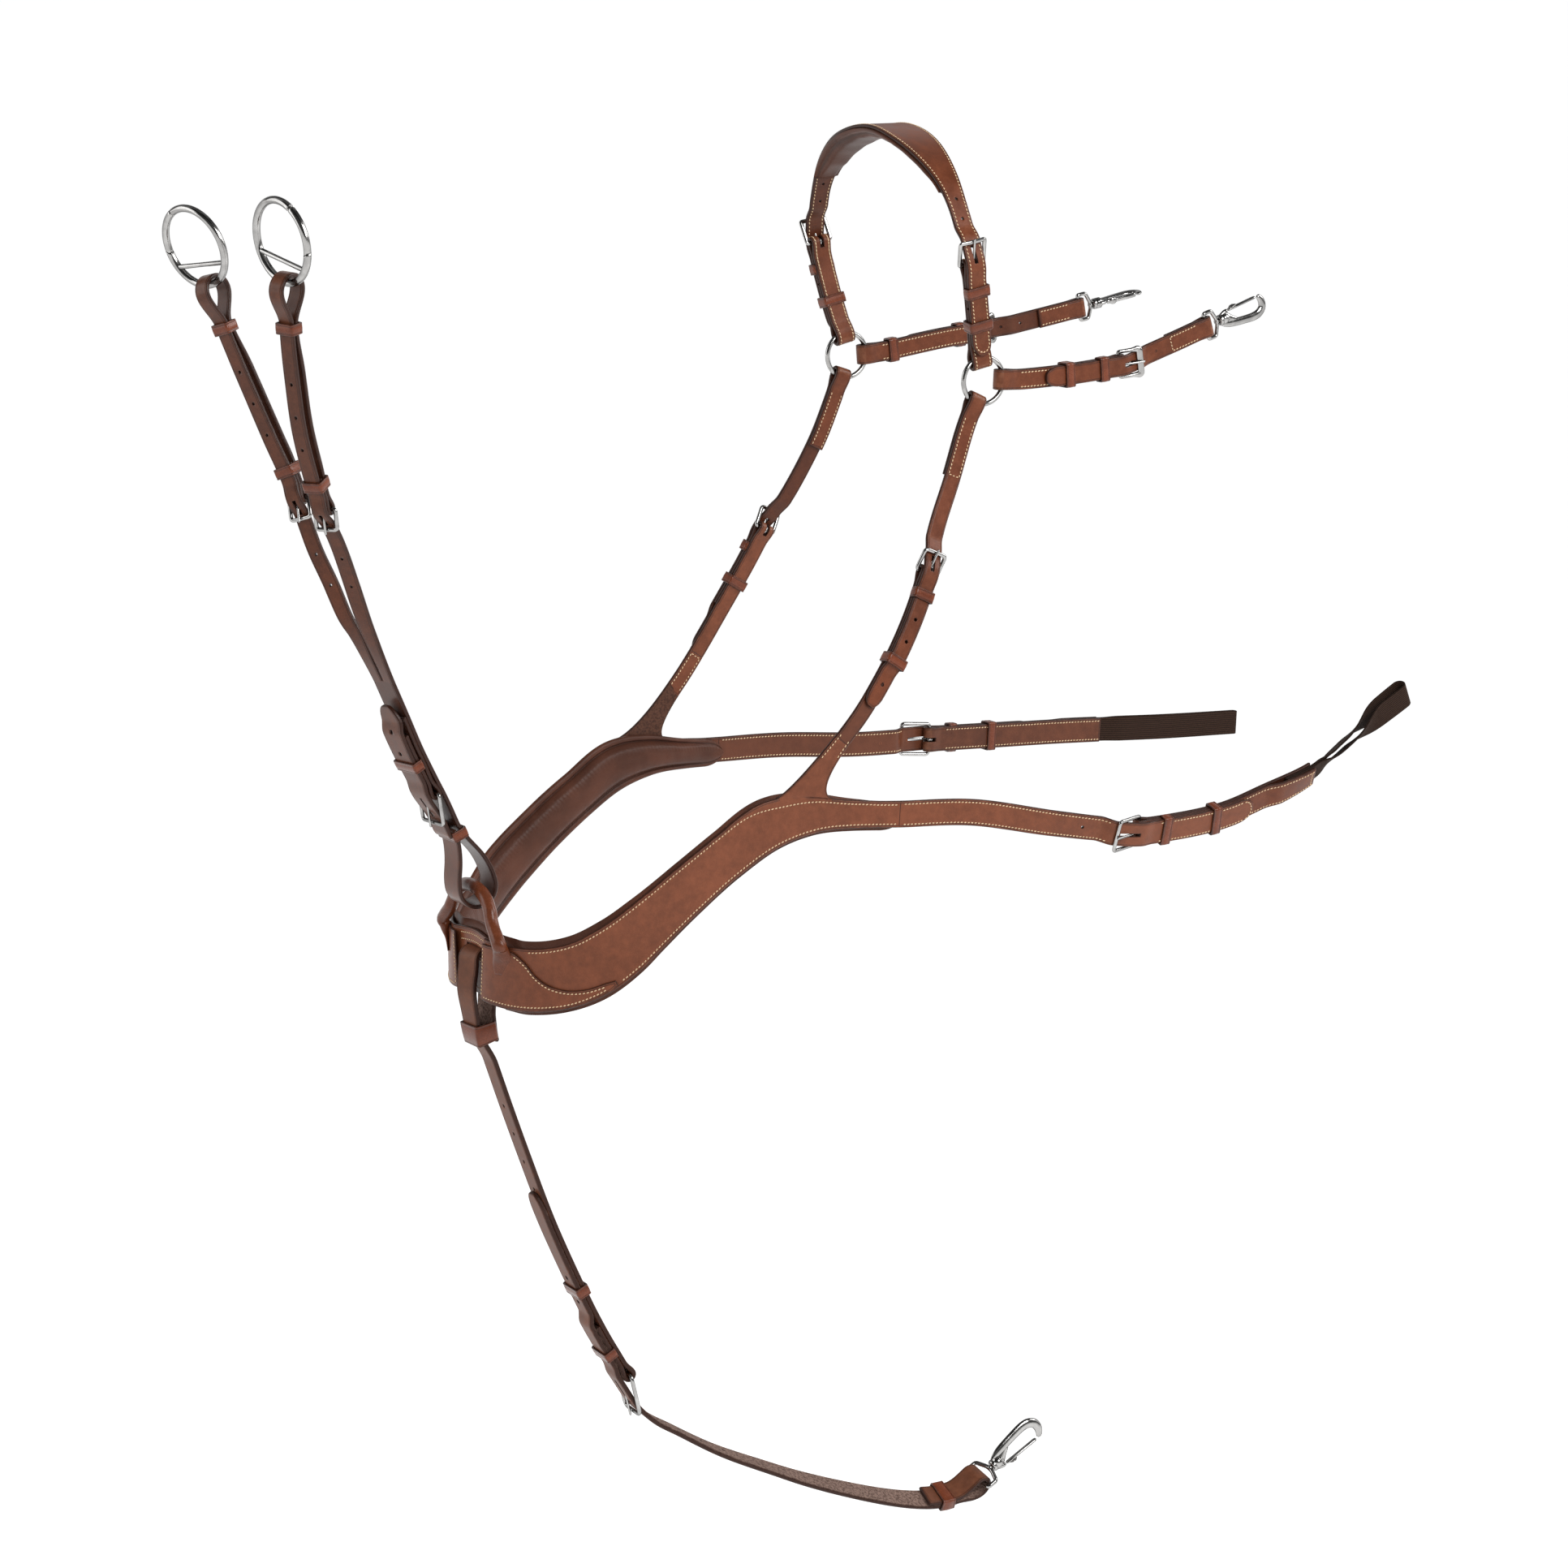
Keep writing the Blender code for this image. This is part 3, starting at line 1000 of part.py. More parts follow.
def make_fork():
    """The martingale fork: one leather, its stem in the front loop, its two arms round the rings."""
    stem = Line(STEM_LINE, ALONG_Y, 1, across_end=STEM_TWIST)
    t = FORK_LEATHER
    stem_buckle = Buckle(stem, STEM_HEEL, 1, t, STEM_WIDTH, 29 * MM, base=t + 3 * CLEARANCE)
    stem_buckle.make("stem_buckle", STEEL)
    bend = 18 * MM
    centre = 3 * MM
    billet = stem_buckle.billet(62 * MM, t + 1.5 * MM, STEM_HEEL + STEM_CHAPE, STEM_TIP)
    path = joined(
        list(reversed(billet)),
        lay((62 * MM, t + 1.5 * MM), (centre, bend)),
        turn(centre, 0, bend, 90, 270),
        lay((centre, -bend), (70 * MM, 0), (stem.length - 2 * MM, 0)),
    )
    points = []
    for s, o, half in tipped(stem.with_rows(path), STEM_WIDTH, True, False):
        points += [stem.at(s, o, w) for w in (-half, -SPLIT_GAP / 2, SPLIT_GAP / 2, half)]
    rows = len(points) // 4
    faces = grid_faces(rows, 4)
    last = 4 * (rows - 1)
    details = []
    arms = (("near", -1, NEAR_ARM, (last, last + 1)), ("far", 1, FAR_ARM, (last + 2, last + 3)))
    for side, sign, route, edge in arms:
        arm = arm_line(sign, route)
        heel = 186 * MM if side == "near" else 178 * MM
        buckle = Buckle(arm, heel, 1, t, ARM_WIDTH, 19 * MM, base=-(t + CLEARANCE), roomy=3.4 * MM)
        buckle.make(side + "_arm_buckle", STEEL)
        bend = 13.5 * MM
        top = arm.length - bend - t / 2
        base, pitch = buckle.base, buckle.pitch
        rise = lay((14 * MM, 0), (buckle.front_s - 14 * MM, 0), (buckle.front_s, buckle.under),
                   (heel, buckle.over), (heel + FOLD_RAMP / 4, buckle.over),
                   (heel + FOLD_RAMP * 1.25, base + 2 * pitch), (heel + 40 * MM, base + 2 * pitch),
                   (top - 30 * MM, 0.6 * pitch), (top, bend))
        fall = lay((top, -bend), (top - 30 * MM, -0.6 * pitch), (top - 75 * MM, base - 2 * MM),
                   (heel + 45 * MM, base - 2 * MM), (heel + FOLD_RAMP, base), (heel, buckle.bar - buckle.turn_radius))
        path = joined(rise, turn(top, 0, bend, 90, -90), fall, buckle.fold(), buckle.chape_out(heel + 32 * MM))
        previous = edge
        for s, o in arm.with_rows(path):
            current = (len(points), len(points) + 1)
            points += [arm.at(s, o, -ARM_WIDTH / 2), arm.at(s, o, ARM_WIDTH / 2)]
            faces.append((previous[0], previous[1], current[1], current[0]))
            previous = current
        details.append((side, arm, buckle, top + bend - t / 2))
    fork = solid_sheet("martingale_fork", points, faces, t, BROWN, PARTS)
    boolean(fork, stem_buckle.billet_hole("stem"), "DIFFERENCE")
    for side, arm, buckle, inside in details:
        boolean(fork, buckle.billet_hole(side + "_arm"), "DIFFERENCE")
        boolean(fork, buckle.fold_slot(side + "_arm"), "DIFFERENCE")
        make_martingale_ring(side, -1 if side == "near" else 1, arm, inside)
    base = t - 0.4 * MM
    path = joined(
        lay((STEM_HEEL + STEM_CHAPE + 16 * MM, base), (STEM_HEEL + 34 * MM, base),
            (STEM_HEEL + FOLD_RAMP, stem_buckle.base), (STEM_HEEL, stem_buckle.bar - stem_buckle.turn_radius)),
        stem_buckle.fold(),
        stem_buckle.chape_out(STEM_HEEL + STEM_CHAPE),
    )
    chape = strap("stem_chape", stem, path, STEM_WIDTH - 1.4 * MM, t, BROWN, group=CUTTERS)
    boolean(chape, stem_buckle.fold_slot("stem", CLEARANCE * 0.9), "DIFFERENCE")
    sewn_keeper(chape, stem_buckle, STEM_KEEPER, STEM_WIDTH, BROWN)
    boolean(fork, operand(chape), "UNION")


MARTINGALE_RADIUS = 35.6 * MM
MARTINGALE_WIRE = 3.4 * MM
CROSS_BAR = 19 * MM  # from the wire in the strap to the ring's cross bar
# How each ring lies in its loop: leaning forward, turned beside the strap, turned in its own plane
RING_LIE = {"near": (math.radians(4), math.radians(-12), math.radians(8)),
            "far": (math.radians(8), math.radians(-18), math.radians(6))}


def ring_axes(arm, s):
    """Along the arm, out and across, without the arm's own turn."""
    along = arm.axes(s)[0]
    across = (ALONG_Y - along * along.dot(ALONG_Y)).normalized()
    return along, across.cross(along) * -arm.outward, across


def make_martingale_ring(side, sign, arm, inside):
    """A spring ring in the arm's loop: bow, cross bar and gate."""
    sag = ring_sag(MARTINGALE_RADIUS, ARM_WIDTH)
    wire_s = inside - MARTINGALE_WIRE - CLEARANCE - sag
    along, out, across = ring_axes(arm, wire_s)
    frame = Matrix.Translation(arm.at(wire_s)) @ Matrix((along, out, across)).transposed().to_4x4()
    lean, skew, spin = RING_LIE[side]
    frame = frame @ Matrix.Rotation(lean, 4, "Z") @ Matrix.Rotation(skew, 4, "X")
    frame = frame @ Matrix.Translation((MARTINGALE_RADIUS, 0, 0)) @ Matrix.Rotation(spin, 4, "Y")
    gate_from, gate_to, gap = math.radians(22), math.radians(92), math.radians(1.2)

    def rim(angle):
        return frame @ (MARTINGALE_RADIUS * Vector((math.cos(angle), 0, sign * math.sin(angle))))

    def turned(x, z):
        return (frame.to_3x3() @ Vector((x, 0, sign * z))).normalized()

    bow_angles = [gate_to + gap + (math.tau - gate_to + gate_from - 2 * gap) * k / 26 for k in range(27)]
    points = [rim(angle) for angle in bow_angles]
    bow = as_mesh(wire(side + "_martingale_ring", points, MARTINGALE_WIRE, STEEL, sides=2), PARTS)
    half = math.sqrt(MARTINGALE_RADIUS ** 2 - (MARTINGALE_RADIUS - CROSS_BAR) ** 2)
    ends = [frame @ Vector((CROSS_BAR - MARTINGALE_RADIUS, 0, half * t)) for t in (-1, 1)]
    bar = as_mesh(wire(side + "_cross_bar", ends, 2.2 * MM, STEEL, group=CUTTERS), CUTTERS)
    boolean(bow, operand(bar), "UNION")
    gate_angles = [gate_from + (gate_to - gate_from) * k / 8 for k in range(9)]
    radii = [1.6 * MM] + [3.3 * MM] * 7 + [3.1 * MM]
    points = [rim(angle) for angle in gate_angles]
    gate = as_mesh(wire(side + "_ring_gate", points, 1.0, STEEL, sides=2, radii=radii), PARTS)
    away, inward = turned(-math.sin(gate_to), math.cos(gate_to)), turned(-math.cos(gate_to), -math.sin(gate_to))
    for piece, end in ((gate, rim(gate_to)), (bow, rim(gate_to + gap))):
        slant(piece, end, away, inward, math.tan((gate_to - gate_from) / 2))


def slant(piece, end, away, inward, slope):
    """Turn a rod's flat end so that a gate slides along it instead of into it."""
    for vertex in piece.data.vertices:
        offset = vertex.co - end
        if offset.length < 1.3 * MARTINGALE_WIRE and abs(offset.dot(away)) < 0.6 * MM:
            vertex.co += away * (offset.dot(inward) * slope - offset.dot(away))


def main():
    make_wither()
    for side, sign, saddle, shoulder_points, girth_points, roll in (
        ("near", -1, NEAR_SADDLE, NEAR_SHOULDER, NEAR_GIRTH, math.pi / 2),
        ("far", 1, FAR_SADDLE, FAR_SHOULDER, FAR_GIRTH, 0),
    ):
        make_ring(side + "_wither_ring", Vector((RING_CENTRE.x, sign * RING_CENTRE.y, RING_CENTRE.z)),
                  Matrix.Rotation(math.pi / 2, 4, "X"), RING_RADIUS, RING_WIRE, STEEL)
        make_saddle_strap(side, sign, saddle, roll)
        shoulder, buckle_up = make_shoulder_strap(side, sign, shoulder_points)
        line = chest_line(side, sign, girth_points)
        girth = Buckle(line, GIRTH_HEEL, 1, PANEL_LEATHER, GIRTH_WIDTH, 29 * MM)
        make_chest_panel(side, line, shoulder, buckle_up, girth)
        make_girth_end(side, line, girth)
        if side == "near":
            near_line = line
    make_lining(near_line, line)
    make_front_loop(near_line, line)
    make_belly_strap()
    make_fork()


for old in list(bpy.data.objects):
    bpy.data.objects.remove(old)
PARTS = collection("five_point_breastplate")
CUTTERS = collection("cutters")
BROWN = material("chestnut_leather", (0.21, 0.075, 0.035), 0.45)
LINING = material("lining_leather", (0.09, 0.035, 0.02), 0.6)
WEB = material("elastic_webbing", (0.035, 0.018, 0.012), 0.85)
STEEL = material("polished_steel", (0.78, 0.77, 0.75), 0.12, 1.0)
main()
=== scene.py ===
import math

import bpy
import numpy as np
from mathutils import Matrix, Vector


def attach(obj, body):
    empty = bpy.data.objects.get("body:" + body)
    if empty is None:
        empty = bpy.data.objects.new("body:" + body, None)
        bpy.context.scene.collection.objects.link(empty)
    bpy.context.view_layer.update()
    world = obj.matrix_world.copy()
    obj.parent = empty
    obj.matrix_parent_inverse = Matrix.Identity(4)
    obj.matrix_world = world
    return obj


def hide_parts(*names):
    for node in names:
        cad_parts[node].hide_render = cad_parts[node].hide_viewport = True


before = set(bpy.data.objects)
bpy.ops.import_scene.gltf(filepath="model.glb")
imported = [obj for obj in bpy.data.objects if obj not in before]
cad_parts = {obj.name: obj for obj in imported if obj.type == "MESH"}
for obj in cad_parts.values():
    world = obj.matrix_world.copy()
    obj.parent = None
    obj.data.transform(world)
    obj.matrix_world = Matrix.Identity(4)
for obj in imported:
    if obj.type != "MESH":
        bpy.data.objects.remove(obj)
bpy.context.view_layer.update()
mm = 0.001
gap = 0.3 * mm  # between two pieces that lie on each other
print("frame loaded:", len(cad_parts), "nodes")

alongX, alongY, alongZ = np.eye(3)


# Lines that the straps follow, and paths laid beside them

def smooth(x):
    x = np.clip(x, 0.0, 1.0)
    return x * x * (3 - 2 * x)


def unit(v):
    return v / np.maximum(np.linalg.norm(v, axis=-1, keepdims=True), 1e-12)


def travelled(points):
    # distance from the first point to each point
    return np.concatenate([[0], np.cumsum(np.linalg.norm(np.diff(points, axis=0), axis=1))])


def rowsAt(x, known, rows):
    return np.stack([np.interp(x, known, rows[:, k]) for k in range(3)], -1)


def spanCurve(a, b, c, d, t):
    # the curve from b to c that also heeds its neighbours a and d
    return 0.5 * (2 * b + (c - a) * t + (2 * a - 5 * b + 4 * c - d) * t * t
                  + (3 * b - a - 3 * c + d) * t ** 3)


class StrapLine:
    # a strap's middle line: s is the distance along it, o the height outwards, w the way across
    samples = 16  # for each span between two given points
    spare = 0.3  # the line goes on straight past both ends

    def __init__(self, points, across, outward, acrossEnd=None, lead=0, late=1, acrossStart=None,
                 settle=0.0, turns=()):
        stops = np.array(points, float) * mm
        ends = np.vstack([2 * stops[0] - stops[1], stops, 2 * stops[-1] - stops[-2]])
        t = np.arange(self.samples)[:, None] / self.samples
        spans = zip(ends, ends[1:], ends[2:], ends[3:])
        curve = np.vstack([spanCurve(*span, t) for span in spans] + [stops[-1:]])
        stations = travelled(curve)
        stations -= stations[self.samples * lead]
        self.length = stations[-1]
        before = curve[0] + unit(curve[0] - curve[1]) * self.spare
        after = curve[-1] + unit(curve[-1] - curve[-2]) * self.spare
        self.stations = np.concatenate([[stations[0] - self.spare], stations, [stations[-1] + self.spare]])
        self.curve = np.vstack([before, curve, after])
        self.outward, self.late, self.settle = outward, late, settle
        self.across, self.acrossStart, self.acrossEnd = (
            np.array(across if v is None else v, float) for v in (across, acrossStart, acrossEnd))
        self.turns = turns  # stations, and the direction across that the strap has turned to there

    def point(self, s):
        return rowsAt(s, self.stations, self.curve)

    def axes(self, s):
        s = np.asarray(s, float)
        along = unit(self.point(s + 3 * mm) - self.point(s - 3 * mm))
        share = (smooth(s / self.length) ** self.late)[..., None]
        hint = self.across * (1 - share) + self.acrossEnd * share
        if self.settle:
            early = smooth(s / self.settle)[..., None]
            hint = self.acrossStart * (1 - early) + hint * early
        for (start, before), (end, after) in zip(self.turns, self.turns[1:]):
            share = smooth((s - start) / (end - start))[..., None]
            hint = np.where((s > start)[..., None], before * (1 - share) + after * share, hint)
        across = unit(hint - along * np.sum(hint * along, -1, keepdims=True))
        return along, np.cross(across, along) * -self.outward, across

    def at(self, s, o=0.0, w=0.0):
        along, out, across = self.axes(s)
        return self.point(s) + out * np.asarray(o)[..., None] + across * np.asarray(w)[..., None]

    def locate(self, point, near):
        s = near
        for _ in range(12):
            s = s + (point - self.point(s)) @ self.axes(s)[0]
        return s, (point - self.point(s)) @ self.axes(s)[1]


def sideLine(points, side, across, lead=0, leans=()):
    # leans: how many degrees the upper edge leans out from upright at some stations
    turns = []
    for s, lean in leans:
        a = math.radians(lean)
        turns.append((s * mm, np.array([0, side * math.sin(a), math.cos(a)])))
    return StrapLine([(x, side * y, z) for x, y, z in points], across, -side, lead=lead, turns=turns)


def lay(*keys, step=2.5 * mm):
    # a path of (s, o) spots through the keys, rising and falling smoothly between them
    path = []
    for (s0, o0), (s1, o1) in zip(keys, keys[1:]):
        count = max(1, math.ceil(math.hypot(s1 - s0, o1 - o0) / step))
        for k in range(count):
            path.append((s0 + (s1 - s0) * k / count, o0 + (o1 - o0) * float(smooth(k / count))))
    return path + [keys[-1]]


def turn(s, o, radius, start, end, count=16):
    # an arc round the spot (s, o), in degrees
    angles = [math.radians(start + (end - start) * k / count) for k in range(count + 1)]
    return [(s + radius * math.cos(a), o + radius * math.sin(a)) for a in angles]


def joined(*paths):
    path = []
    for piece in paths:
        path += [spot for spot in piece if not path or math.dist(spot, path[-1]) > 0.25 * mm]
    return path


def between(keys, s):
    # a smooth curve through rows of (s, values): the values at s
    s = np.asarray(s, float)
    i = np.clip(np.searchsorted(keys[:, 0], s, side="right") - 1, 0, len(keys) - 2)
    pick = [keys[np.clip(i + k, 0, len(keys) - 1)] for k in (-1, 0, 1, 2)]
    before, a, b, after = pick
    span = b[..., 0] - a[..., 0]
    t = np.clip((s - a[..., 0]) / span, 0, 1)[..., None]
    slopeA = (b - before) / np.maximum(b[..., 0] - before[..., 0], 1e-9)[..., None] * span[..., None]
    slopeB = (after - a) / np.maximum(after[..., 0] - a[..., 0], 1e-9)[..., None] * span[..., None]
    made = (a * (2 * t ** 3 - 3 * t * t + 1) + slopeA * (t ** 3 - 2 * t * t + t)
            + b * (3 * t * t - 2 * t ** 3) + slopeB * (t ** 3 - t * t))
    return np.moveaxis(made[..., 1:], -1, 0)


# Mesh building

def newPiece(name, verts, faces, finish, attributes=None):
    mesh = bpy.data.meshes.new(name)
    verts = np.asarray(verts, float)
    quads = np.array([f if len(f) == 4 else (*f, f[-1]) for f in faces if len(f) in (3, 4)])
    a, b, c, d = (verts[quads[:, k]] for k in range(4))
    volume = np.sum(np.cross(a, b) * c) + np.sum(np.cross(a, c) * d)
    if volume < 0:  # the faces look inwards
        faces = [tuple(reversed(f)) for f in faces]
    mesh.from_pydata(verts.tolist(), [], [tuple(int(k) for k in f) for f in faces])
    for label, values in (attributes or {}).items():
        values = np.asarray(values, np.float32)
        kind = "FLOAT_VECTOR" if values.ndim == 2 else "FLOAT"
        layer = mesh.attributes.new(label, kind, "POINT")
        layer.data.foreach_set("vector" if values.ndim == 2 else "value", values.ravel())
    mesh.materials.append(finish)
    mesh.shade_smooth()
    piece = bpy.data.objects.new(name, mesh)
    bpy.context.scene.collection.objects.link(piece)
    return piece


def gridFaces(rows, columns, closed=False):
    # quads between neighbouring rows, each row a closed ring; closed joins the last row to the first
    return [(i * columns + k, i * columns + (k + 1) % columns,
             (i + 1) % rows * columns + (k + 1) % columns, (i + 1) % rows * columns + k)
            for i in range(rows if closed else rows - 1) for k in range(columns)]


def endFaces(rows, columns):
    return [tuple(range(columns - 1, -1, -1)), tuple(range((rows - 1) * columns, rows * columns))]


def boxFaces():
    return [(0, 1, 3, 2), (4, 6, 7, 5), (0, 4, 5, 1), (2, 3, 7, 6), (0, 2, 6, 4), (1, 5, 7, 3)]


def plain(count, toEdge, flesh=0.0):
    # the attributes of leather that has no path of its own
    return {"toEdge": np.broadcast_to(toEdge, count), "flesh": np.broadcast_to(flesh, count),
            "cut": np.zeros((count, 3))}


def merged(name, parts, finish):
    verts, faces, pit, count = [], [], [], 0
    for v, f, *more in parts:
        verts.append(v)
        pit.append(more[0] if more else np.zeros(len(v)))
        faces += [tuple(k + count for k in face) for face in f]
        count += len(v)
    attributes = {"pit": np.concatenate(pit)} if finish == threadFinish else None
    return newPiece(name, np.vstack(verts), faces, finish, attributes)


def handIn(piece, body, slotName, *nodes):
    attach(piece, body)
    if nodes:
        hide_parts(*nodes)


def steelPiece(node, body, parts):
    handIn(merged(node + "_steel", parts, steel), body, "polished_steel", node)


def sew(name, body, rows):
    handIn(merged(name, rows, threadFinish), body, "lining_leather")


def leatherPiece(hide, name, finish, body, *nodes, holes=(), middle=7):
    piece = hide.build(name, finish, middle)
    cut(piece, holes)
    handIn(piece, body, "chestnut_leather", *nodes)


def cut(piece, parts):
    if not parts:
        return
    tool = merged(piece.name + "_cutter", parts, piece.data.materials[0])
    step = piece.modifiers.new("cut", "BOOLEAN")
    step.operation, step.object, step.solver = "DIFFERENCE", tool, "EXACT"
    mesh = bpy.data.meshes.new_from_object(piece.evaluated_get(bpy.context.evaluated_depsgraph_get()))
    piece.modifiers.clear()
    if len(mesh.polygons) > 0.5 * len(piece.data.polygons):
        piece.data = mesh
        piece.data.shade_smooth()
    else:
        print("a cut was left out of", piece.name)
    bpy.data.objects.remove(tool)


def rounding(depth, radius):
    # how high an edge that is rounded to this radius stands, from 0 at the rim to 1
    return np.sqrt(np.clip(1 - (1 - np.clip(depth / radius, 0, 1)) ** 2, 0, 1))


def wrapped(top, low):
    # a face's columns and then the other face's, backwards: one closed ring for each row
    return np.concatenate([top, low[:, -2:0:-1]], axis=1)


class Hide:
    # a strap of leather: rows along a path, columns across it, rounded edges and pressed creases
    endRows = np.array([0, 0.1, 0.35, 0.7, 1.15, 1.7]) * mm
    tipRows = np.array([0.12, 0.18, 0.26, 0.36, 0.5, 0.68, 0.85])  # shares of a pointed tip's length
    seamRows = np.array([-1.2, -0.7, -0.35, -0.15, 0.15, 0.35, 0.7, 1.2]) * mm
    edgeColumns = np.array([0, 0.07, 0.28, 0.6, 1.0])  # shares of the edge's radius
    creaseColumns = np.array([-0.7, -0.3, 0, 0.3, 0.7]) * mm
    tipLength, blunt, halfStep = 0.75, 0.16, 0.4 * mm

    def __init__(self, line, path, thickness, width=None, tips=(False, False), swell=None, edges=None,
                 crease=2.0, round=1.1, groove=0.22, square=(False, False), lined=0.3, seams=()):
        self.line, self.thickness, self.square, self.lined = line, thickness, square, lined
        path = np.array(path, float)
        steps = np.linalg.norm(np.diff(path, axis=0), axis=1)
        total = steps.sum()
        u0 = np.concatenate([[0], np.cumsum(steps)])
        u = [u0[(u0 > 2 * mm) & (u0 < total - 2 * mm)], self.endRows, total - self.endRows]
        reach = self.tipLength * (width or 0)
        if tips[0]:
            u.append(reach * self.tipRows)
        if tips[1]:
            u.append(total - reach * self.tipRows)
        self.seams = [float(u0[np.argmin(np.abs(path[:, 0] - s))]) for s in seams]
        u = np.unique(np.round(np.concatenate(u + [seam + self.seamRows for seam in self.seams]), 7))
        self.u, self.total = u, total
        self.s, self.o = np.interp(u, u0, path[:, 0]), np.interp(u, u0, path[:, 1])
        side, rise = (np.interp(u + self.halfStep, u0, path[:, k]) - np.interp(u - self.halfStep, u0, path[:, k])
                      for k in (0, 1))
        norm = np.hypot(side, rise)
        self.ns, self.no = -rise / norm, side / norm
        outermost = np.argmax(np.where(np.abs(self.no) > 0.7, self.o, -9.0))
        if self.no[outermost] < 0:  # the grain side is the outer side of the outermost layer
            self.ns, self.no = -self.ns, -self.no
        if edges is None:
            full = width / 2 + (swell(self.s) if swell else 0)
            room = np.ones_like(u)
            if tips[0]:
                room = np.minimum(room, u / reach)
            if tips[1]:
                room = np.minimum(room, (total - u) / reach)
            half = full * (self.blunt + (1 - self.blunt) * np.sqrt(np.clip(1 - (1 - room) ** 2, 0, 1)))
            self.low, self.high = -half, half
        else:
            self.low, self.high = edges(self.s)
        self.round, self.crease, self.groove = round * mm, crease * mm, groove * mm

    def place(self, u, w, lift=0.0, face=1):
        # spots on one of the two faces, and the way that the face looks there
        u = np.asarray(u, float)
        w = np.broadcast_to(w, u.shape)
        s, o, ns, no = (np.interp(u, self.u, v) for v in (self.s, self.o, self.ns, self.no))
        along, out, across = self.line.axes(s)
        normal = unit(along * ns[..., None] + out * no[..., None])
        spot = self.line.at(s, o, w) + normal * face * (self.thickness / 2 + lift)
        return spot, normal * face

    def find(self, s, o):
        return float(self.u[np.argmin(np.hypot(self.s - s, self.o - o))])

    def build(self, name, finish, middle):
        e = self.edgeColumns * self.round
        c = self.crease + self.creaseColumns
        inset = np.unique(np.concatenate([e, c[c > self.round * 1.05], [self.crease + 1.5 * mm]]))
        deep = inset[-1]
        wide = self.high - self.low
        squeeze = np.minimum(1.0, wide / (2 * deep * 1.15))[:, None]
        left = inset[None, :] * squeeze
        share = np.linspace(0, 1, middle + 2)[None, 1:-1]
        inner = deep * squeeze + share * (wide[:, None] - 2 * deep * squeeze)
        across = np.hstack([left, inner, wide[:, None] - left[:, ::-1]])
        fromEdge = np.minimum(across, wide[:, None] - across)
        fromEnd = np.minimum(self.u + 9 * self.square[0], self.total - self.u + 9 * self.square[1])[:, None]
        height = self.thickness / 2 * rounding(fromEdge, self.round)
        height = height * np.maximum(rounding(fromEnd, self.round), 0.05)
        pressed = self.groove * np.exp(-((fromEdge - self.crease) / (0.33 * mm)) ** 2)
        pressed *= smooth((fromEnd - 1.5 * mm) / (3 * mm))
        fromSeam = np.min([np.abs(self.u - seam) for seam in self.seams] or [9 + self.u], axis=0)[:, None]
        pressed = np.maximum(pressed, 0.35 * mm * np.exp(-(fromSeam / (0.3 * mm)) ** 2))
        rows, columns = across.shape
        along, out, sideways = self.line.axes(self.s)
        normal = unit(along * self.ns[:, None] + out * self.no[:, None])
        middleLine = self.line.point(self.s) + out * self.o[:, None]
        w = self.low[:, None] + across
        core = middleLine[:, None, :] + sideways[:, None, :] * w[..., None]
        top = core + normal[:, None, :] * (height - pressed)[..., None]
        low = core - normal[:, None, :] * (height - pressed * (self.lined < 0.5))[..., None]
        ring = wrapped(top, low)
        size = ring.shape[1]
        index = np.arange(rows * size).reshape(rows, size)
        faces = gridFaces(rows, size)
        for row, way in ((index[0], -1), (index[-1], 1)):
            lowRow = [row[0], *row[:columns - 1:-1], row[columns - 1]]
            for k in range(columns - 1):
                face = dict.fromkeys([row[k], row[k + 1], lowRow[k + 1], lowRow[k]])
                faces.append(list(face)[::way])
        edgeMap = np.minimum(fromEdge, fromEnd + 0 * fromEdge) / mm
        # a seam gets the crease's dark line: painted shade in its pressed groove
        edgeMap = np.where((fromSeam < 0.4 * mm) & (edgeMap > 2), 2.0, edgeMap)
        flesh = wrapped(np.zeros_like(edgeMap), np.full_like(edgeMap, self.lined))
        flesh[:, 0] = flesh[:, columns - 1] = 0.5 * self.lined
        toEdge = wrapped(edgeMap, edgeMap)
        bend = np.abs(np.gradient(np.arctan2(self.ns, self.no + 1e-12)))
        bend = np.where(bend > 1, 0, bend) / np.maximum(np.gradient(self.u), 1e-5) * 4 * mm
        flat = np.stack([np.broadcast_to(self.u[:, None], toEdge.shape), wrapped(w, w),
                         np.broadcast_to(np.clip(bend, 0, 1)[:, None], toEdge.shape)], -1)
        return newPiece(name, ring.reshape(-1, 3), faces, finish,
                        {"toEdge": toEdge.ravel(), "flesh": flesh.ravel(), "cut": flat.reshape(-1, 3)})


# Stitches: an arched capsule of thread for each, and at each end a dimple painted near black for the needle hole's
# shade

stitchSettings = {"pitch": 3.6 * mm, "thick": 0.56 * mm, "slant": 0.2, "lift": 0.2 * mm, "filled": 0.68,
                  "hole": 1.25, "sides": 6, "holeSides": 8}


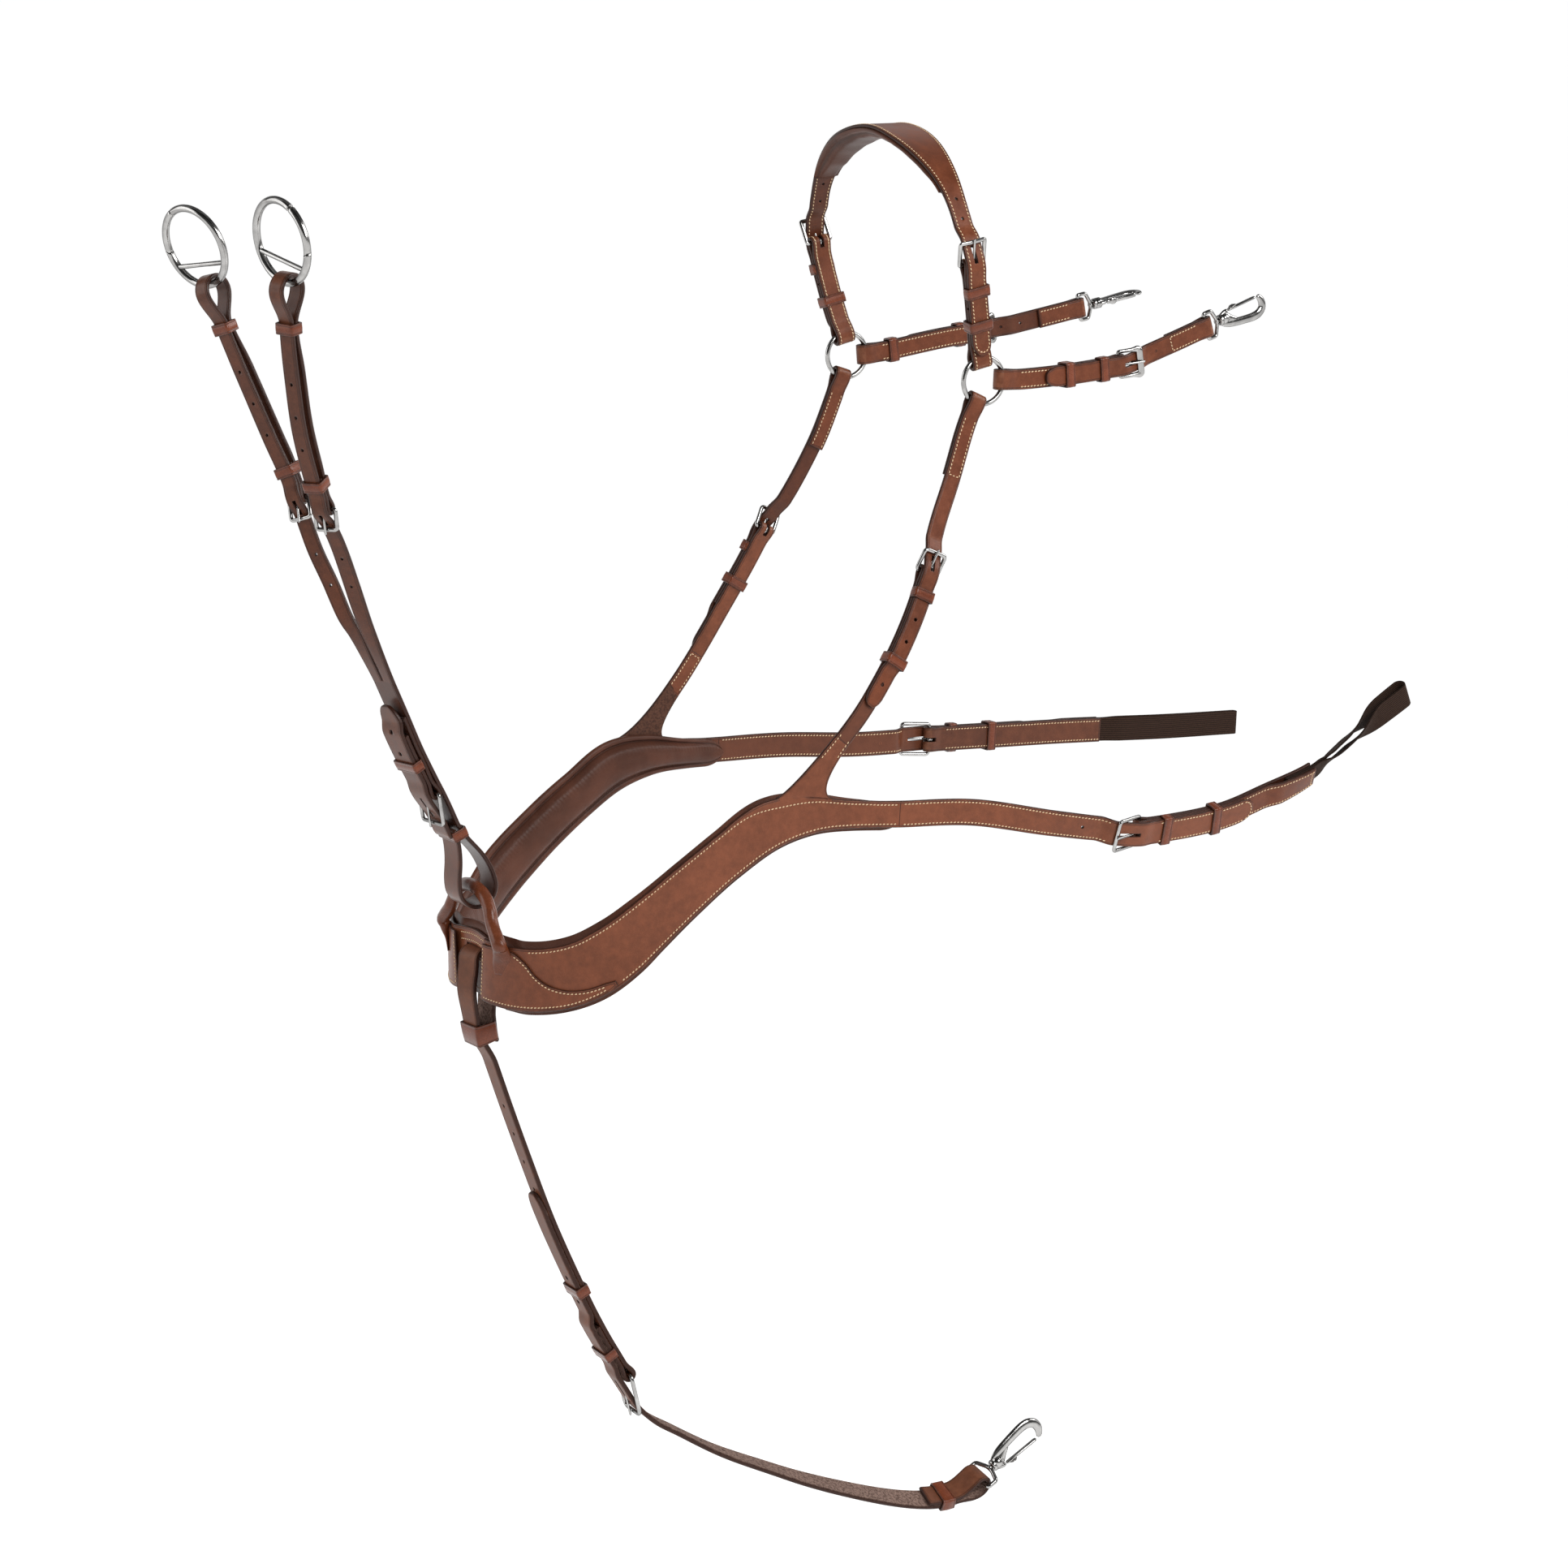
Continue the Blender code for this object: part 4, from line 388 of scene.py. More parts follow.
def stitchParts(spots, normals, length, thick=stitchSettings["thick"]):
    st = stitchSettings
    normals = unit(normals)
    centre, up = (spots[:-1] + spots[1:]) / 2, unit(normals[:-1] + normals[1:])
    run = unit(spots[1:] - spots[:-1])
    run = unit(run - up * np.sum(run * up, -1, keepdims=True))
    sideways = np.cross(up, run)
    ahead = unit(run + sideways * st["slant"])
    beside = np.cross(up, ahead)
    template = []
    for t, radius in ((-1, 0.35), (-0.82, 0.8), (-0.4, 1), (0.4, 1), (0.82, 0.8), (1, 0.35)):
        sink = -0.9 * thick * abs(t) ** 3
        for a in np.arange(st["sides"]) * math.tau / st["sides"]:
            template.append((t * length / 2, math.cos(a) * radius * thick,
                             math.sin(a) * radius * thick * 0.8 + sink + st["lift"]))
    template = np.array(template)
    verts = (centre[:, None, :] + ahead[:, None, :] * template[None, :, 0:1]
             + beside[:, None, :] * template[None, :, 1:2] + up[:, None, :] * template[None, :, 2:3])
    count = len(template)
    sections = count // st["sides"]
    faces = gridFaces(sections, st["sides"]) + endFaces(sections, st["sides"])
    every = [tuple(k + n * count for k in f) for n in range(len(centre)) for f in faces]
    verts = verts.reshape(-1, 3)
    run = np.vstack([run, run[-1:]])
    side = np.cross(normals, run)
    size = st["holeSides"]
    angle = (np.arange(size) * math.tau / size)[None, :, None]
    spread = run[:, None, :] * np.cos(angle) * 0.8 + side[:, None, :] * np.sin(angle)
    rim = spots[:, None, :] - normals[:, None, :] * 0.25 * mm + spread * st["hole"] * thick
    top = spots + normals * 0.07 * mm
    dimples = np.concatenate([rim, top[:, None, :]], axis=1).reshape(-1, 3)
    start = len(verts)
    for base in range(start, start + len(dimples), size + 1):
        every += [(base + k, base + (k + 1) % size, base + size) for k in range(size)]
        every.append(tuple(base + k for k in range(size - 1, -1, -1)))
    # marks the dimples that get the painted hole shade
    pit = np.concatenate([np.zeros(start), np.ones(len(dimples))])
    return np.vstack([verts, dimples]), every, pit


def stitchRow(spots, normals, pitch=stitchSettings["pitch"], filled=stitchSettings["filled"]):
    # stitches of one length along a row of spots
    d = travelled(spots)
    wanted = np.linspace(0, d[-1], max(1, round(d[-1] / pitch)) + 1)
    return stitchParts(rowsAt(wanted, d, spots), rowsAt(wanted, d, normals), pitch * filled)


def stitchAlong(hide, u0, u1, w, face=1):
    # from one path distance to another; w is a number or a function of station
    u = np.linspace(u0, u1, max(2, int(abs(u1 - u0) / mm) + 1))
    side = w(np.interp(u, hide.u, hide.s)) if callable(w) else np.full_like(u, w)
    return stitchRow(*hide.place(u, side, 0.0, face))


def stitchAcross(hide, u, w0, w1, pitch, **shape):
    w = np.linspace(w0, w1, max(2, round(abs(w1 - w0) / pitch) + 1))
    return stitchParts(*hide.place(np.full_like(w, u), w), pitch * 0.7, **shape)


# Rods, rings and keepers

def tube(points, radii, sides, closed=False, flat=1.0, up=None):
    # a rod swept along points; flat below 1 makes it thinner along up
    points = np.asarray(points, float)
    count = len(points)
    radii, flat = np.broadcast_to(radii, count), np.broadcast_to(flat, count)
    ahead = np.roll(points, -1, axis=0) - np.roll(points, 1, axis=0)
    if not closed:
        ahead[0], ahead[-1] = points[1] - points[0], points[-1] - points[-2]
    ahead = unit(ahead)
    if up is None:  # carried along the rod without a twist
        up = np.array([0.3, 0.2, 0.93])
        if abs(ahead[0] @ up) > 0.9:
            up = alongX
        ups = [up]
        for way in ahead:
            ups.append(unit(ups[-1] - way * (ups[-1] @ way)))
        ups = np.array(ups[1:])
    else:
        up = np.broadcast_to(up, (count, 3))
        ups = unit(up - ahead * np.sum(ahead * up, -1, keepdims=True))
    beside = np.cross(ahead, ups)
    angle = np.arange(sides) * math.tau / sides
    ring = (points[:, None, :] + beside[:, None, :] * (np.cos(angle)[None, :] * radii[:, None])[..., None]
            + ups[:, None, :] * (np.sin(angle)[None, :] * (radii * flat)[:, None])[..., None])
    faces = gridFaces(count, sides, closed) + ([] if closed else endFaces(count, sides))
    return ring.reshape(-1, 3), faces


def splined(points, step):
    points = np.asarray(points, float)
    ends = np.vstack([2 * points[0] - points[1], points, 2 * points[-1] - points[-2]])
    made = []
    for a, b, c, d in zip(ends, ends[1:], ends[2:], ends[3:]):
        count = max(1, math.ceil(np.linalg.norm((c - b)[:3]) / step))
        made.append(spanCurve(a, b, c, d, np.arange(count)[:, None] / count))
    return np.vstack(made + [points[-1:]])


def roundedOutline(corners, radius, steps):
    corners = [np.asarray(c, float) for c in corners]
    outline = []
    for before, corner, after in zip(corners[-1:] + corners[:-1], corners, corners[1:] + corners[:1]):
        start, end = corner + unit(before - corner) * radius, corner + unit(after - corner) * radius
        for k in range(steps + 1):
            t = k / steps
            outline.append(start * (1 - t) ** 2 + corner * 2 * t * (1 - t) + end * t * t)
    filled = []
    for a, b in zip(outline, outline[1:] + outline[:1]):
        count = max(1, math.ceil(np.linalg.norm(b - a) / (3 * mm)))
        filled += [a + (b - a) * k / count for k in range(count)]
    return np.array(filled)


keeperSettings = {"leather": 1.8 * mm, "sewn": 10 * mm, "corner": 1.6 * mm, "rounded": 0.7 * mm,
                  "crease": 2.0 * mm, "creaseDepth": 0.14 * mm, "arched": 0.12 * mm}


def makeBand(name, body, line, s, low, high, halfWidth, width, leather=keeperSettings["leather"]):
    # a keeper's band: an outline in the strap's section, swept as a thin rounded strip
    st = keeperSettings
    corners = [np.array([w, o, 0.0]) for w, o in ((-halfWidth, low), (halfWidth, low), (halfWidth, high),
                                                  (-halfWidth, high))]
    outline = roundedOutline(corners, st["corner"], 6)[:, :2]
    tangent = unit(np.roll(outline, -1, axis=0) - np.roll(outline, 1, axis=0))
    outward = np.stack([tangent[:, 1], -tangent[:, 0]], -1)
    outward *= np.sign(np.sum(outward * (outline - outline.mean(0)), -1, keepdims=True).mean() or 1)
    r = min(0.5 * leather, st["rounded"])
    half, t = width / 2, leather / 2
    section = [(half - r + r * math.cos(a), t - r + r * math.sin(a)) for a in np.radians(np.linspace(0, 90, 5))]
    crease, lip = st["crease"], 0.3 * mm
    section += [(half - crease + lip, t), (half - crease, t - st["creaseDepth"]), (half - crease - lip, t),
                (0, t + st["arched"])]
    section += [(-a, h) for a, h in reversed(section[:-1])]
    section += [(-half + r * 0.3, -t), (half - r * 0.3, -t)]
    verts = [line.at(np.array(s + a), o + no * h, w + nw * h)
             for (w, o), (nw, no) in zip(outline, outward) for a, h in section]
    toEdge = np.tile([(half - abs(a)) / mm + 0.35 for a, h in section], len(outline))
    piece = newPiece(name, verts, gridFaces(len(outline), len(section), True), keeperLeather,
                     plain(len(verts), toEdge))
    handIn(piece, body, "chestnut_leather")


# Shader groups: their outputs are colours, values and heights

class Nodes:
    def __init__(self, tree):
        self.tree = tree

    def fill(self, node, **inputs):
        # i0, i1 and so on stand for a socket's place; any other key is its name without the spaces
        names = {socket.name.replace(" ", ""): socket for socket in node.inputs if socket.enabled}
        for key, value in inputs.items():
            socket = node.inputs[int(key[1:])] if key[1:].isdigit() else names[key]
            if isinstance(value, bpy.types.NodeSocket):
                self.tree.links.new(value, socket)
            else:
                socket.default_value = value
        return node

    def add(self, kind, settings=None, **inputs):
        node = self.tree.nodes.new(kind)
        for key, value in (settings or {}).items():
            setattr(node, key, value)
        return self.fill(node, **inputs)

    def math(self, operation, a, b=0.0, c=0.0, clamp=False):
        settings = {"operation": operation, "use_clamp": clamp}
        return self.add("ShaderNodeMath", settings, i0=a, i1=b, i2=c).outputs[0]

    def plus(self, a, b, clamp=False):
        return self.math("ADD", a, b, clamp=clamp)

    def times(self, a, b, clamp=False):
        return self.math("MULTIPLY", a, b, clamp=clamp)

    def blend(self, share, a, b, mode="MIX"):
        settings = {"data_type": "RGBA", "blend_type": mode}
        return self.add("ShaderNodeMix", settings, i0=share, i6=a, i7=b).outputs[2]

    def steps(self, value, low, high, start=0.0, end=1.0):
        return self.add("ShaderNodeMapRange", {"interpolation_type": "SMOOTHSTEP"}, Value=value, FromMin=low,
                        FromMax=high, ToMin=start, ToMax=end).outputs[0]

    def noise(self, where, scale, detail, rough):
        return self.add("ShaderNodeTexNoise", None, Vector=where, Scale=scale, Detail=detail,
                        Roughness=rough).outputs[0]

    def pores(self, where, scale):
        return self.add("ShaderNodeTexVoronoi", {"feature": "SMOOTH_F1"}, Vector=where, Scale=scale).outputs[0]

    def grey(self, level):
        return self.add("ShaderNodeCombineColor", None, i0=level, i1=level, i2=level).outputs[0]

    def bump(self, height, strength, distance):
        return self.add("ShaderNodeBump", None, Height=height, Strength=strength, Distance=distance).outputs[0]

    def coordinates(self, kind="Object"):
        return self.add("ShaderNodeTexCoord").outputs[kind]

    def diffuse(self, level):
        return self.add("ShaderNodeBsdfDiffuse", None, Color=(level, level, level, 1)).outputs[0]

    def background(self, colour, strength):
        return self.add("ShaderNodeBackground", None, Color=colour, Strength=strength).outputs[0]

    def mixed(self, share, a, b):
        return self.add("ShaderNodeMixShader", None, i0=share, i1=a, i2=b).outputs[0]

    def attribute(self, name, output=2):
        return self.add("ShaderNodeAttribute", {"attribute_name": name}).outputs[output]


def newGroup(name, ins, outs):
    tree = bpy.data.node_groups.new(name, "ShaderNodeTree")
    for label, value in ins:
        kind = "NodeSocketColor" if isinstance(value, tuple) else "NodeSocketFloat"
        tree.interface.new_socket(name=label, in_out="INPUT", socket_type=kind).default_value = value
    for label, kind in outs:
        tree.interface.new_socket(name=label, in_out="OUTPUT", socket_type=kind)
    return tree, Nodes(tree), tree.nodes.new("NodeGroupInput").outputs, tree.nodes.new("NodeGroupOutput")


def makeLeatherGroup():
    ins = [("Colour", (0.2, 0.08, 0.04, 1)), ("Edge", (0.05, 0.02, 0.01, 1)), ("Flesh", (0.3, 0.2, 0.15, 1)),
           ("Gloss", 0.4)]
    outs = [("Base Color", "NodeSocketColor"), ("Roughness", "NodeSocketFloat"),
            ("Bump Height", "NodeSocketFloat")]
    tree, n, given, made = newGroup("leatherLook", ins, outs)
    where = n.coordinates()
    toEdge, flesh = n.attribute("toEdge"), n.attribute("flesh")
    bend = n.add("ShaderNodeSeparateXYZ", None, i0=n.attribute("cut", 1)).outputs[2]
    cloud = n.noise(where, 14.0, 4.0, 0.6)
    mottle = n.noise(where, 110.0, 4.0, 0.65)
    fine = n.noise(where, 900.0, 3.0, 0.6)
    # the grain side: cloudy, worn in specks, and paler where it is bent round something
    shade = n.steps(n.plus(n.times(cloud, 0.5), n.times(mottle, 0.5)), 0.32, 0.68, 0.78, 1.2)
    top = n.blend(1.0, given["Colour"], n.grey(shade), "MULTIPLY")
    worn = n.steps(n.plus(fine, n.times(mottle, 0.6)), 0.72, 1.1, 0.0, 0.3)
    top = n.blend(worn, top, n.blend(0.5, top, (0.32, 0.115, 0.055, 1)))
    stretched = n.times(bend, n.steps(mottle, 0.35, 0.65, 0.1, 0.5), clamp=True)
    top = n.blend(stretched, top, (0.3, 0.13, 0.07, 1))
    # inner faces: the higher the flesh value, the darker, and rough suede from 0.55 up
    top = n.blend(n.times(n.steps(flesh, 0.12, 0.28), 0.5), top, (0.055, 0.019, 0.011, 1))
    top = n.blend(n.times(n.steps(flesh, 0.32, 0.44), 0.6), top, (0.03, 0.0105, 0.0065, 1))
    speck = n.noise(where, 420.0, 5.0, 0.75)
    suede = n.steps(flesh, 0.55, 0.75)
    rough = n.blend(n.steps(speck, 0.4, 0.62), given["Flesh"], n.blend(0.75, given["Flesh"], given["Edge"]))
    both = n.blend(suede, top, rough)
    # dark dye on the edges, and painted shade in the pressed crease beside them
    rim = n.steps(n.plus(toEdge, n.times(n.math("SUBTRACT", mottle, 0.5), 1.6)), 0.25, 1.7, 1.0, 0.0)
    crease = n.times(n.steps(toEdge, 1.45, 1.9), n.steps(toEdge, 2.1, 2.7, 1.0, 0.0))
    crease = n.times(n.times(crease, 0.75), n.steps(flesh, 0.3, 0.6, 1.0, 0.0))
    dark = n.math("MAXIMUM", n.times(rim, 0.9), crease)
    gloss = n.plus(given["Gloss"], n.times(n.math("SUBTRACT", fine, 0.5), 0.22))
    gloss = n.plus(gloss, n.times(n.math("SUBTRACT", mottle, 0.5), 0.25))
    gloss = n.plus(gloss, n.times(suede, 0.45), clamp=True)
    height = n.plus(n.times(n.pores(where, 1150.0), 0.5), n.times(fine, 0.45))
    height = n.plus(height, n.times(mottle, 0.5))
    height = n.plus(height, n.times(n.noise(where, 520.0, 4.0, 0.7), n.times(flesh, 1.6)))
    n.fill(made, i0=n.blend(dark, both, given["Edge"]), i1=gloss, i2=height)
    return tree


leatherLook = makeLeatherGroup()


def newMaterial(name):
    made = bpy.data.materials.new(name)
    made.use_nodes = True
    return made, Nodes(made.node_tree), made.node_tree.nodes["Principled BSDF"]


leatherSettings = {
    "edge": (0.034, 0.0125, 0.008), "specular": 0.24,
    # inner faces
    "darkFlesh": (0.12, 0.05, 0.03), "flesh": (0.32, 0.21, 0.17),
    # colour, inner face, roughness, polish
    "strap": ((0.162, 0.043, 0.017), "darkFlesh", 0.38, 0.06),
    "chest": ((0.214, 0.065, 0.030), "darkFlesh", 0.36, 0.1),
    "keeper": ((0.180, 0.042, 0.016), "darkFlesh", 0.26, 0.3),
    "arm": ((0.116, 0.035, 0.016), "darkFlesh", 0.34, 0.15),
    "belly": ((0.16, 0.056, 0.028), "flesh", 0.42, 0.0),
    "roll": ((0.162, 0.043, 0.017), "darkFlesh", 0.26, 0.3)}


def makeLeather(kind):
    st = leatherSettings
    colour, inside, gloss, polish = st[kind]
    made, n, shader = newMaterial(kind + "Leather")
    look = n.add("ShaderNodeGroup", {"node_tree": leatherLook}, Colour=(*colour, 1), Edge=(*st["edge"], 1),
                 Flesh=(*st[inside], 1), Gloss=gloss).outputs
    n.fill(shader, BaseColor=look[0], Roughness=look[1], Normal=n.bump(look[2], 0.35, 0.00025),
           SpecularIORLevel=st["specular"], CoatWeight=polish, CoatRoughness=0.3)
    return made


strapLeather, chestLeather, keeperLeather, armLeather, bellyLeather, rollLeather = (
    makeLeather(kind) for kind in ("strap", "chest", "keeper", "arm", "belly", "roll"))


def makeLining():
    made, n, shader = newMaterial("liningLeather")
    where = n.coordinates()
    cloud, fine = n.noise(where, 25.0, 3.0, 0.5), n.noise(where, 700.0, 3.0, 0.6)
    base = n.blend(n.steps(cloud, 0.3, 0.7), (0.075, 0.026, 0.0145, 1), (0.122, 0.043, 0.0245, 1))
    # darker in the hollow beside each rolled edge: painted shade
    base = n.blend(n.times(n.attribute("hollowShade"), 0.75, clamp=True), base, (0.018, 0.0065, 0.004, 1))
    height = n.plus(n.times(n.noise(where, 190.0, 4.0, 0.75), 1.1), n.times(n.pores(where, 900.0), 0.45))
    height = n.plus(height, n.times(fine, 0.3))
    n.fill(shader, BaseColor=base, Roughness=n.plus(0.33, n.times(fine, 0.22)), SpecularIORLevel=0.25,
           Normal=n.bump(height, 0.5, 0.0004))
    return made


def makeThread():
    made, n, shader = newMaterial("thread")
    twist = n.noise(n.coordinates(), 1400.0, 2.0, 0.5)
    yarn = n.blend(n.steps(twist, 0.35, 0.65), (0.70, 0.46, 0.26, 1), (0.95, 0.73, 0.48, 1))
    # the dimples at the needle holes are painted near black: painted shade in the holes
    n.fill(shader, BaseColor=n.blend(n.attribute("pit"), yarn, (0.02, 0.007, 0.004, 1)), Roughness=0.7,
           SpecularIORLevel=0.2, Normal=n.bump(twist, 0.5, 0.0002))
    return made


def makeWebbing():
    made, n, shader = newMaterial("elasticWebbing")
    along, across = n.add("ShaderNodeSeparateXYZ", None, i0=n.attribute("cut", 1)).outputs[:2]
    ribs = n.math("SINE", n.times(across, math.tau / 0.0021))
    offset = n.times(n.math("SIGN", ribs), 1.57)
    weft = n.math("SINE", n.plus(n.times(along, math.tau / 0.0013), offset))
    hair = n.noise(n.coordinates(), 1500.0, 3.0, 0.6)
    height = n.plus(n.times(ribs, 0.7), n.times(weft, 0.5))
    base = n.blend(n.steps(n.plus(height, hair), -0.6, 1.5), (0.012, 0.0065, 0.0045, 1), (0.058, 0.030, 0.020, 1))
    n.fill(shader, BaseColor=base, Normal=n.bump(n.plus(height, n.times(hair, 0.5)), 0.6, 0.0003),
           Roughness=0.75, SpecularIORLevel=0.12)
    return made


def makeSteel():
    made, n, shader = newMaterial("polishedSteel")
    where = n.coordinates()
    smudge, hair = n.noise(where, 90.0, 4.0, 0.6), n.noise(where, 1500.0, 2.0, 0.5)
    body = n.blend(n.steps(smudge, 0.3, 0.7), (0.37, 0.363, 0.355, 1), (0.52, 0.512, 0.50, 1))
    # towards grazing angles the colour turns dark: a painted dark reflection on the rims
    facing = n.add("ShaderNodeLayerWeight", None, Blend=0.5).outputs["Facing"]
    n.fill(shader, BaseColor=n.blend(n.steps(facing, 0.3, 0.75, 0.0, 0.9), body, (0.07, 0.067, 0.065, 1)),
           Roughness=n.plus(n.steps(smudge, 0.35, 0.7, 0.1, 0.19), n.times(hair, 0.03)), Metallic=1.0,
           Normal=n.bump(n.plus(smudge, n.times(hair, 0.08)), 0.08, 0.0002))
    return made


liningLeather, threadFinish, webbing, steel = makeLining(), makeThread(), makeWebbing(), makeSteel()
print("materials made")


# Buckles, keepers and holes that every strap shares

buckleSettings = {"tilt": math.radians(20), "ramp": 13 * mm, "tongue": 1.15 * mm, "wire": 1.9 * mm}
ringSettings = {"wire": 2.25 * mm, "radius": 21.5 * mm, "centre": np.array([31, 122, -224]) * mm}
ramp = buckleSettings["ramp"]
foldRoom = 14 * mm  # how far from a ring or bar a strap's two layers lie flat again


class Buckle:
    # a wire buckle at the station heel of a line; facing is the way that its strap runs on from there
    def __init__(self, line, heel, facing, thickness, width, length, base=0.0, wire=buckleSettings["wire"],
                 roomy=4 * mm):
        self.line, self.heel, self.facing, self.thickness, self.width = line, heel, facing, thickness, width
        self.pitch = thickness + gap
        self.base, self.bar = base, base + self.pitch / 2
        self.wire, self.length = wire, length
        self.turnRadius = wire + 1.6 * gap + thickness / 2
        self.half = (width + roomy) / 2 + wire / 2
        along, out, across = line.axes(heel)
        self.origin = line.point(heel) + out * self.bar
        self.ahead, self.out, self.across = -facing * along, out, across
        self.rise = length * math.sin(buckleSettings["tilt"])
        self.reach = length * math.cos(buckleSettings["tilt"])
        self.frontS, self.frontO = line.locate(self.place(self.reach, self.rise, 0), heel - facing * length)
        self.under = self.frontO - wire - 1.5 * gap - thickness / 2
        self.over = self.bar + self.turnRadius + self.pitch
        self.sewn, self.top = base + self.pitch, base + 2 * self.pitch  # middles of the layers above the first

    def place(self, ahead, out, across):
        ahead, out, across = (np.asarray(v, float)[..., None] for v in (ahead, out, across))
        return self.origin + self.ahead * ahead + self.out * out + self.across * across

    def fold(self):
        start, end = (-90, -270) if self.facing > 0 else (-90, 90)
        return turn(self.heel, self.bar, self.turnRadius, start, end)

    def chapeIn(self, start):
        return lay((start, self.base), (self.heel + self.facing * ramp, self.base),
                   (self.heel, self.bar - self.turnRadius))

    def chapeOut(self, end):
        return lay((self.heel, self.bar + self.turnRadius), (self.heel + self.facing * ramp, self.sewn),
                   (end, self.sewn))

    def billet(self, start, startO, chapeEnd, tip, lift=0.0, ease=16 * mm):
        # the strap that comes through the buckle from start and lies on the chape up to its tip
        f = self.facing
        settled = self.top
        before = startO if f * (self.frontS - start) > 30 * mm else self.under
        keys = [(start, startO), (self.frontS - f * ease, before), (self.frontS, self.under),
                (self.heel, self.over), (self.heel + f * ramp / 4, self.over),
                (self.heel + f * ramp * 1.25, settled)]
        if lift:
            keys += [(tip - f * 14 * mm, settled), (tip, settled + lift)]
        elif f * (tip - chapeEnd) > 20 * mm:
            keys += [(chapeEnd + f * 2 * mm, settled), (chapeEnd + f * 16 * mm, settled - self.pitch),
                     (tip, settled - self.pitch)]
        else:
            keys.append((tip, settled))
        return lay(*keys)

    def box(self, low, high):
        corners = [self.place(*(high[k] if bit >> k & 1 else low[k] for k in range(3))) for bit in range(8)]
        return np.array(corners), boxFaces()

    def slotParts(self, spare=0.15 * mm):
        # the slot in the chape's fold, where the tongue's eye goes round the heel bar
        tongue = buckleSettings["tongue"]
        reach, half = self.wire + 2 * tongue + 3 * gap, tongue + 0.9 * mm
        depth = self.turnRadius + self.thickness / 2 + spare
        return [self.box((-reach, -depth, -half), (depth + mm, depth, half))]

    def holeParts(self):
        # the hole in the billet that the tongue comes up through
        half = buckleSettings["tongue"] + 0.7 * mm
        low = self.wire + gap + self.thickness * 0.2
        return [self.box((0.8 * mm, low, -half), (self.length * 0.78, self.rise + 6 * mm, half))]

    def make(self, name, body, flatWire=None, arch=0.0, corner=3.4, broad=1.0):
        # the frame, whose front bar can be arched, or broad like a strip
        run, lift = math.cos(buckleSettings["tilt"]), math.sin(buckleSettings["tilt"])
        plan = [np.array([a * self.length, b * self.half, 0.0]) for a, b in ((0, -1), (0, 1), (1, 1), (1, -1))]
        outline = roundedOutline(plan, corner * mm, 10)
        forward, side = outline[:, 0], outline[:, 1]
        bow = arch * smooth((forward / self.length - 0.8) / 0.2) * np.cos(np.clip(side / self.half, -1, 1) * 1.5)
        points = self.place(forward * run - bow * lift, forward * lift + bow * run, side)
        up = -self.ahead * lift + self.out * run
        radius = (flatWire or self.wire) * np.where(forward < 0.03 * self.length, 0.94, 1.0)
        widened = 1 + (broad - 1) * smooth((forward / self.length - 0.62) / 0.3)
        flat = (0.72 if flatWire else 0.9) / widened
        steelPiece(name + "_frame", body, [tube(points, radius * widened, 20, closed=True, flat=flat, up=up)])
        # the tongue: a rod that rests on the front bar, bent into an eye round the heel bar
        tongue = buckleSettings["tongue"]
        eye = self.wire + gap + tongue
        height = self.rise - eye
        slope = math.atan2(height, self.reach) + math.asin(eye / math.hypot(self.reach, height))
        tip = self.reach + 2.4 * mm
        rod = [(x, eye + x * math.tan(slope)) for x in np.linspace(tip, tip * 0.12, 14)]
        rod += [(eye * math.cos(a), eye * math.sin(a)) for a in np.radians(np.linspace(78, 322, 26))]
        ahead, out = np.array(rod).T
        points = splined(self.place(ahead, out, 0 * out), 0.7 * mm)
        share = np.linspace(0, 1, len(points))
        radius = tongue * (1 - 0.45 * np.clip(1 - share / 0.025, 0, 1) ** 2)
        steelPiece(name + "_tongue", name + "_tongue", [tube(points, radius, 16)])


def sewnKeeper(name, buckle, s, body):
    # round the chape and the billet, from the middle of the chape's two layers
    room = gap + keeperSettings["leather"] / 2
    makeBand(name, body, buckle.line, s, buckle.bar, buckle.top + buckle.thickness / 2 + room,
             buckle.width / 2 + room, keeperSettings["sewn"])


def looseKeeper(name, body, line, s, low, high, width, wide=keeperSettings["sewn"]):
    # a sliding keeper round everything between two heights
    room = gap + keeperSettings["leather"] / 2
    makeBand(name, body, line, s, low - room, high + room, width / 2 + room, wide)


def drills(line, stations, o, radius, depth=3.2 * mm):
    parts = []
    for s in stations:
        out = line.axes(s)[1]
        spot = line.at(s, o)
        parts.append(tube([spot - out * depth, spot + out * depth], radius, 20))
    return parts


def ringShift(line, ringS, bar, width):
    # a flat strap rides on a round ring by its edges, so its fold's middle lies further in
    middle = line.at(ringS, bar)
    centre = ringSettings["centre"] * np.array([1, math.copysign(1, middle[1]), 1])
    radius = ringSettings["radius"]
    sag = radius - math.sqrt(radius * radius - width * width / 4) + 3 * gap
    drop = unit(centre - middle) * sag
    along, out, across = line.axes(ringS)
    return drop @ along, drop @ out


def doublePath(line, buckle, ringS, width, start):
    # a chape: from start round the ring, back to the buckle, round its bar and up to start again
    f = buckle.facing
    radius = ringSettings["wire"] + 2.6 * gap + buckle.thickness / 2
    ahead, out = ringShift(line, ringS, buckle.bar, width)
    ringTurn = joined([(ringS, buckle.bar + radius)],
                      turn(ringS + ahead, buckle.bar + out, radius, 90, -90 if f > 0 else 270),
                      [(ringS, buckle.bar - radius)])
    return joined(
        lay((start, buckle.sewn), (ringS - f * foldRoom, buckle.sewn), ringTurn[0]), ringTurn,
        lay(ringTurn[-1], (ringS - f * foldRoom, buckle.base), (buckle.heel + f * ramp, buckle.base),
            (buckle.heel, buckle.bar - buckle.turnRadius)),
        buckle.fold(), buckle.chapeOut(start - f * 1.2 * mm))


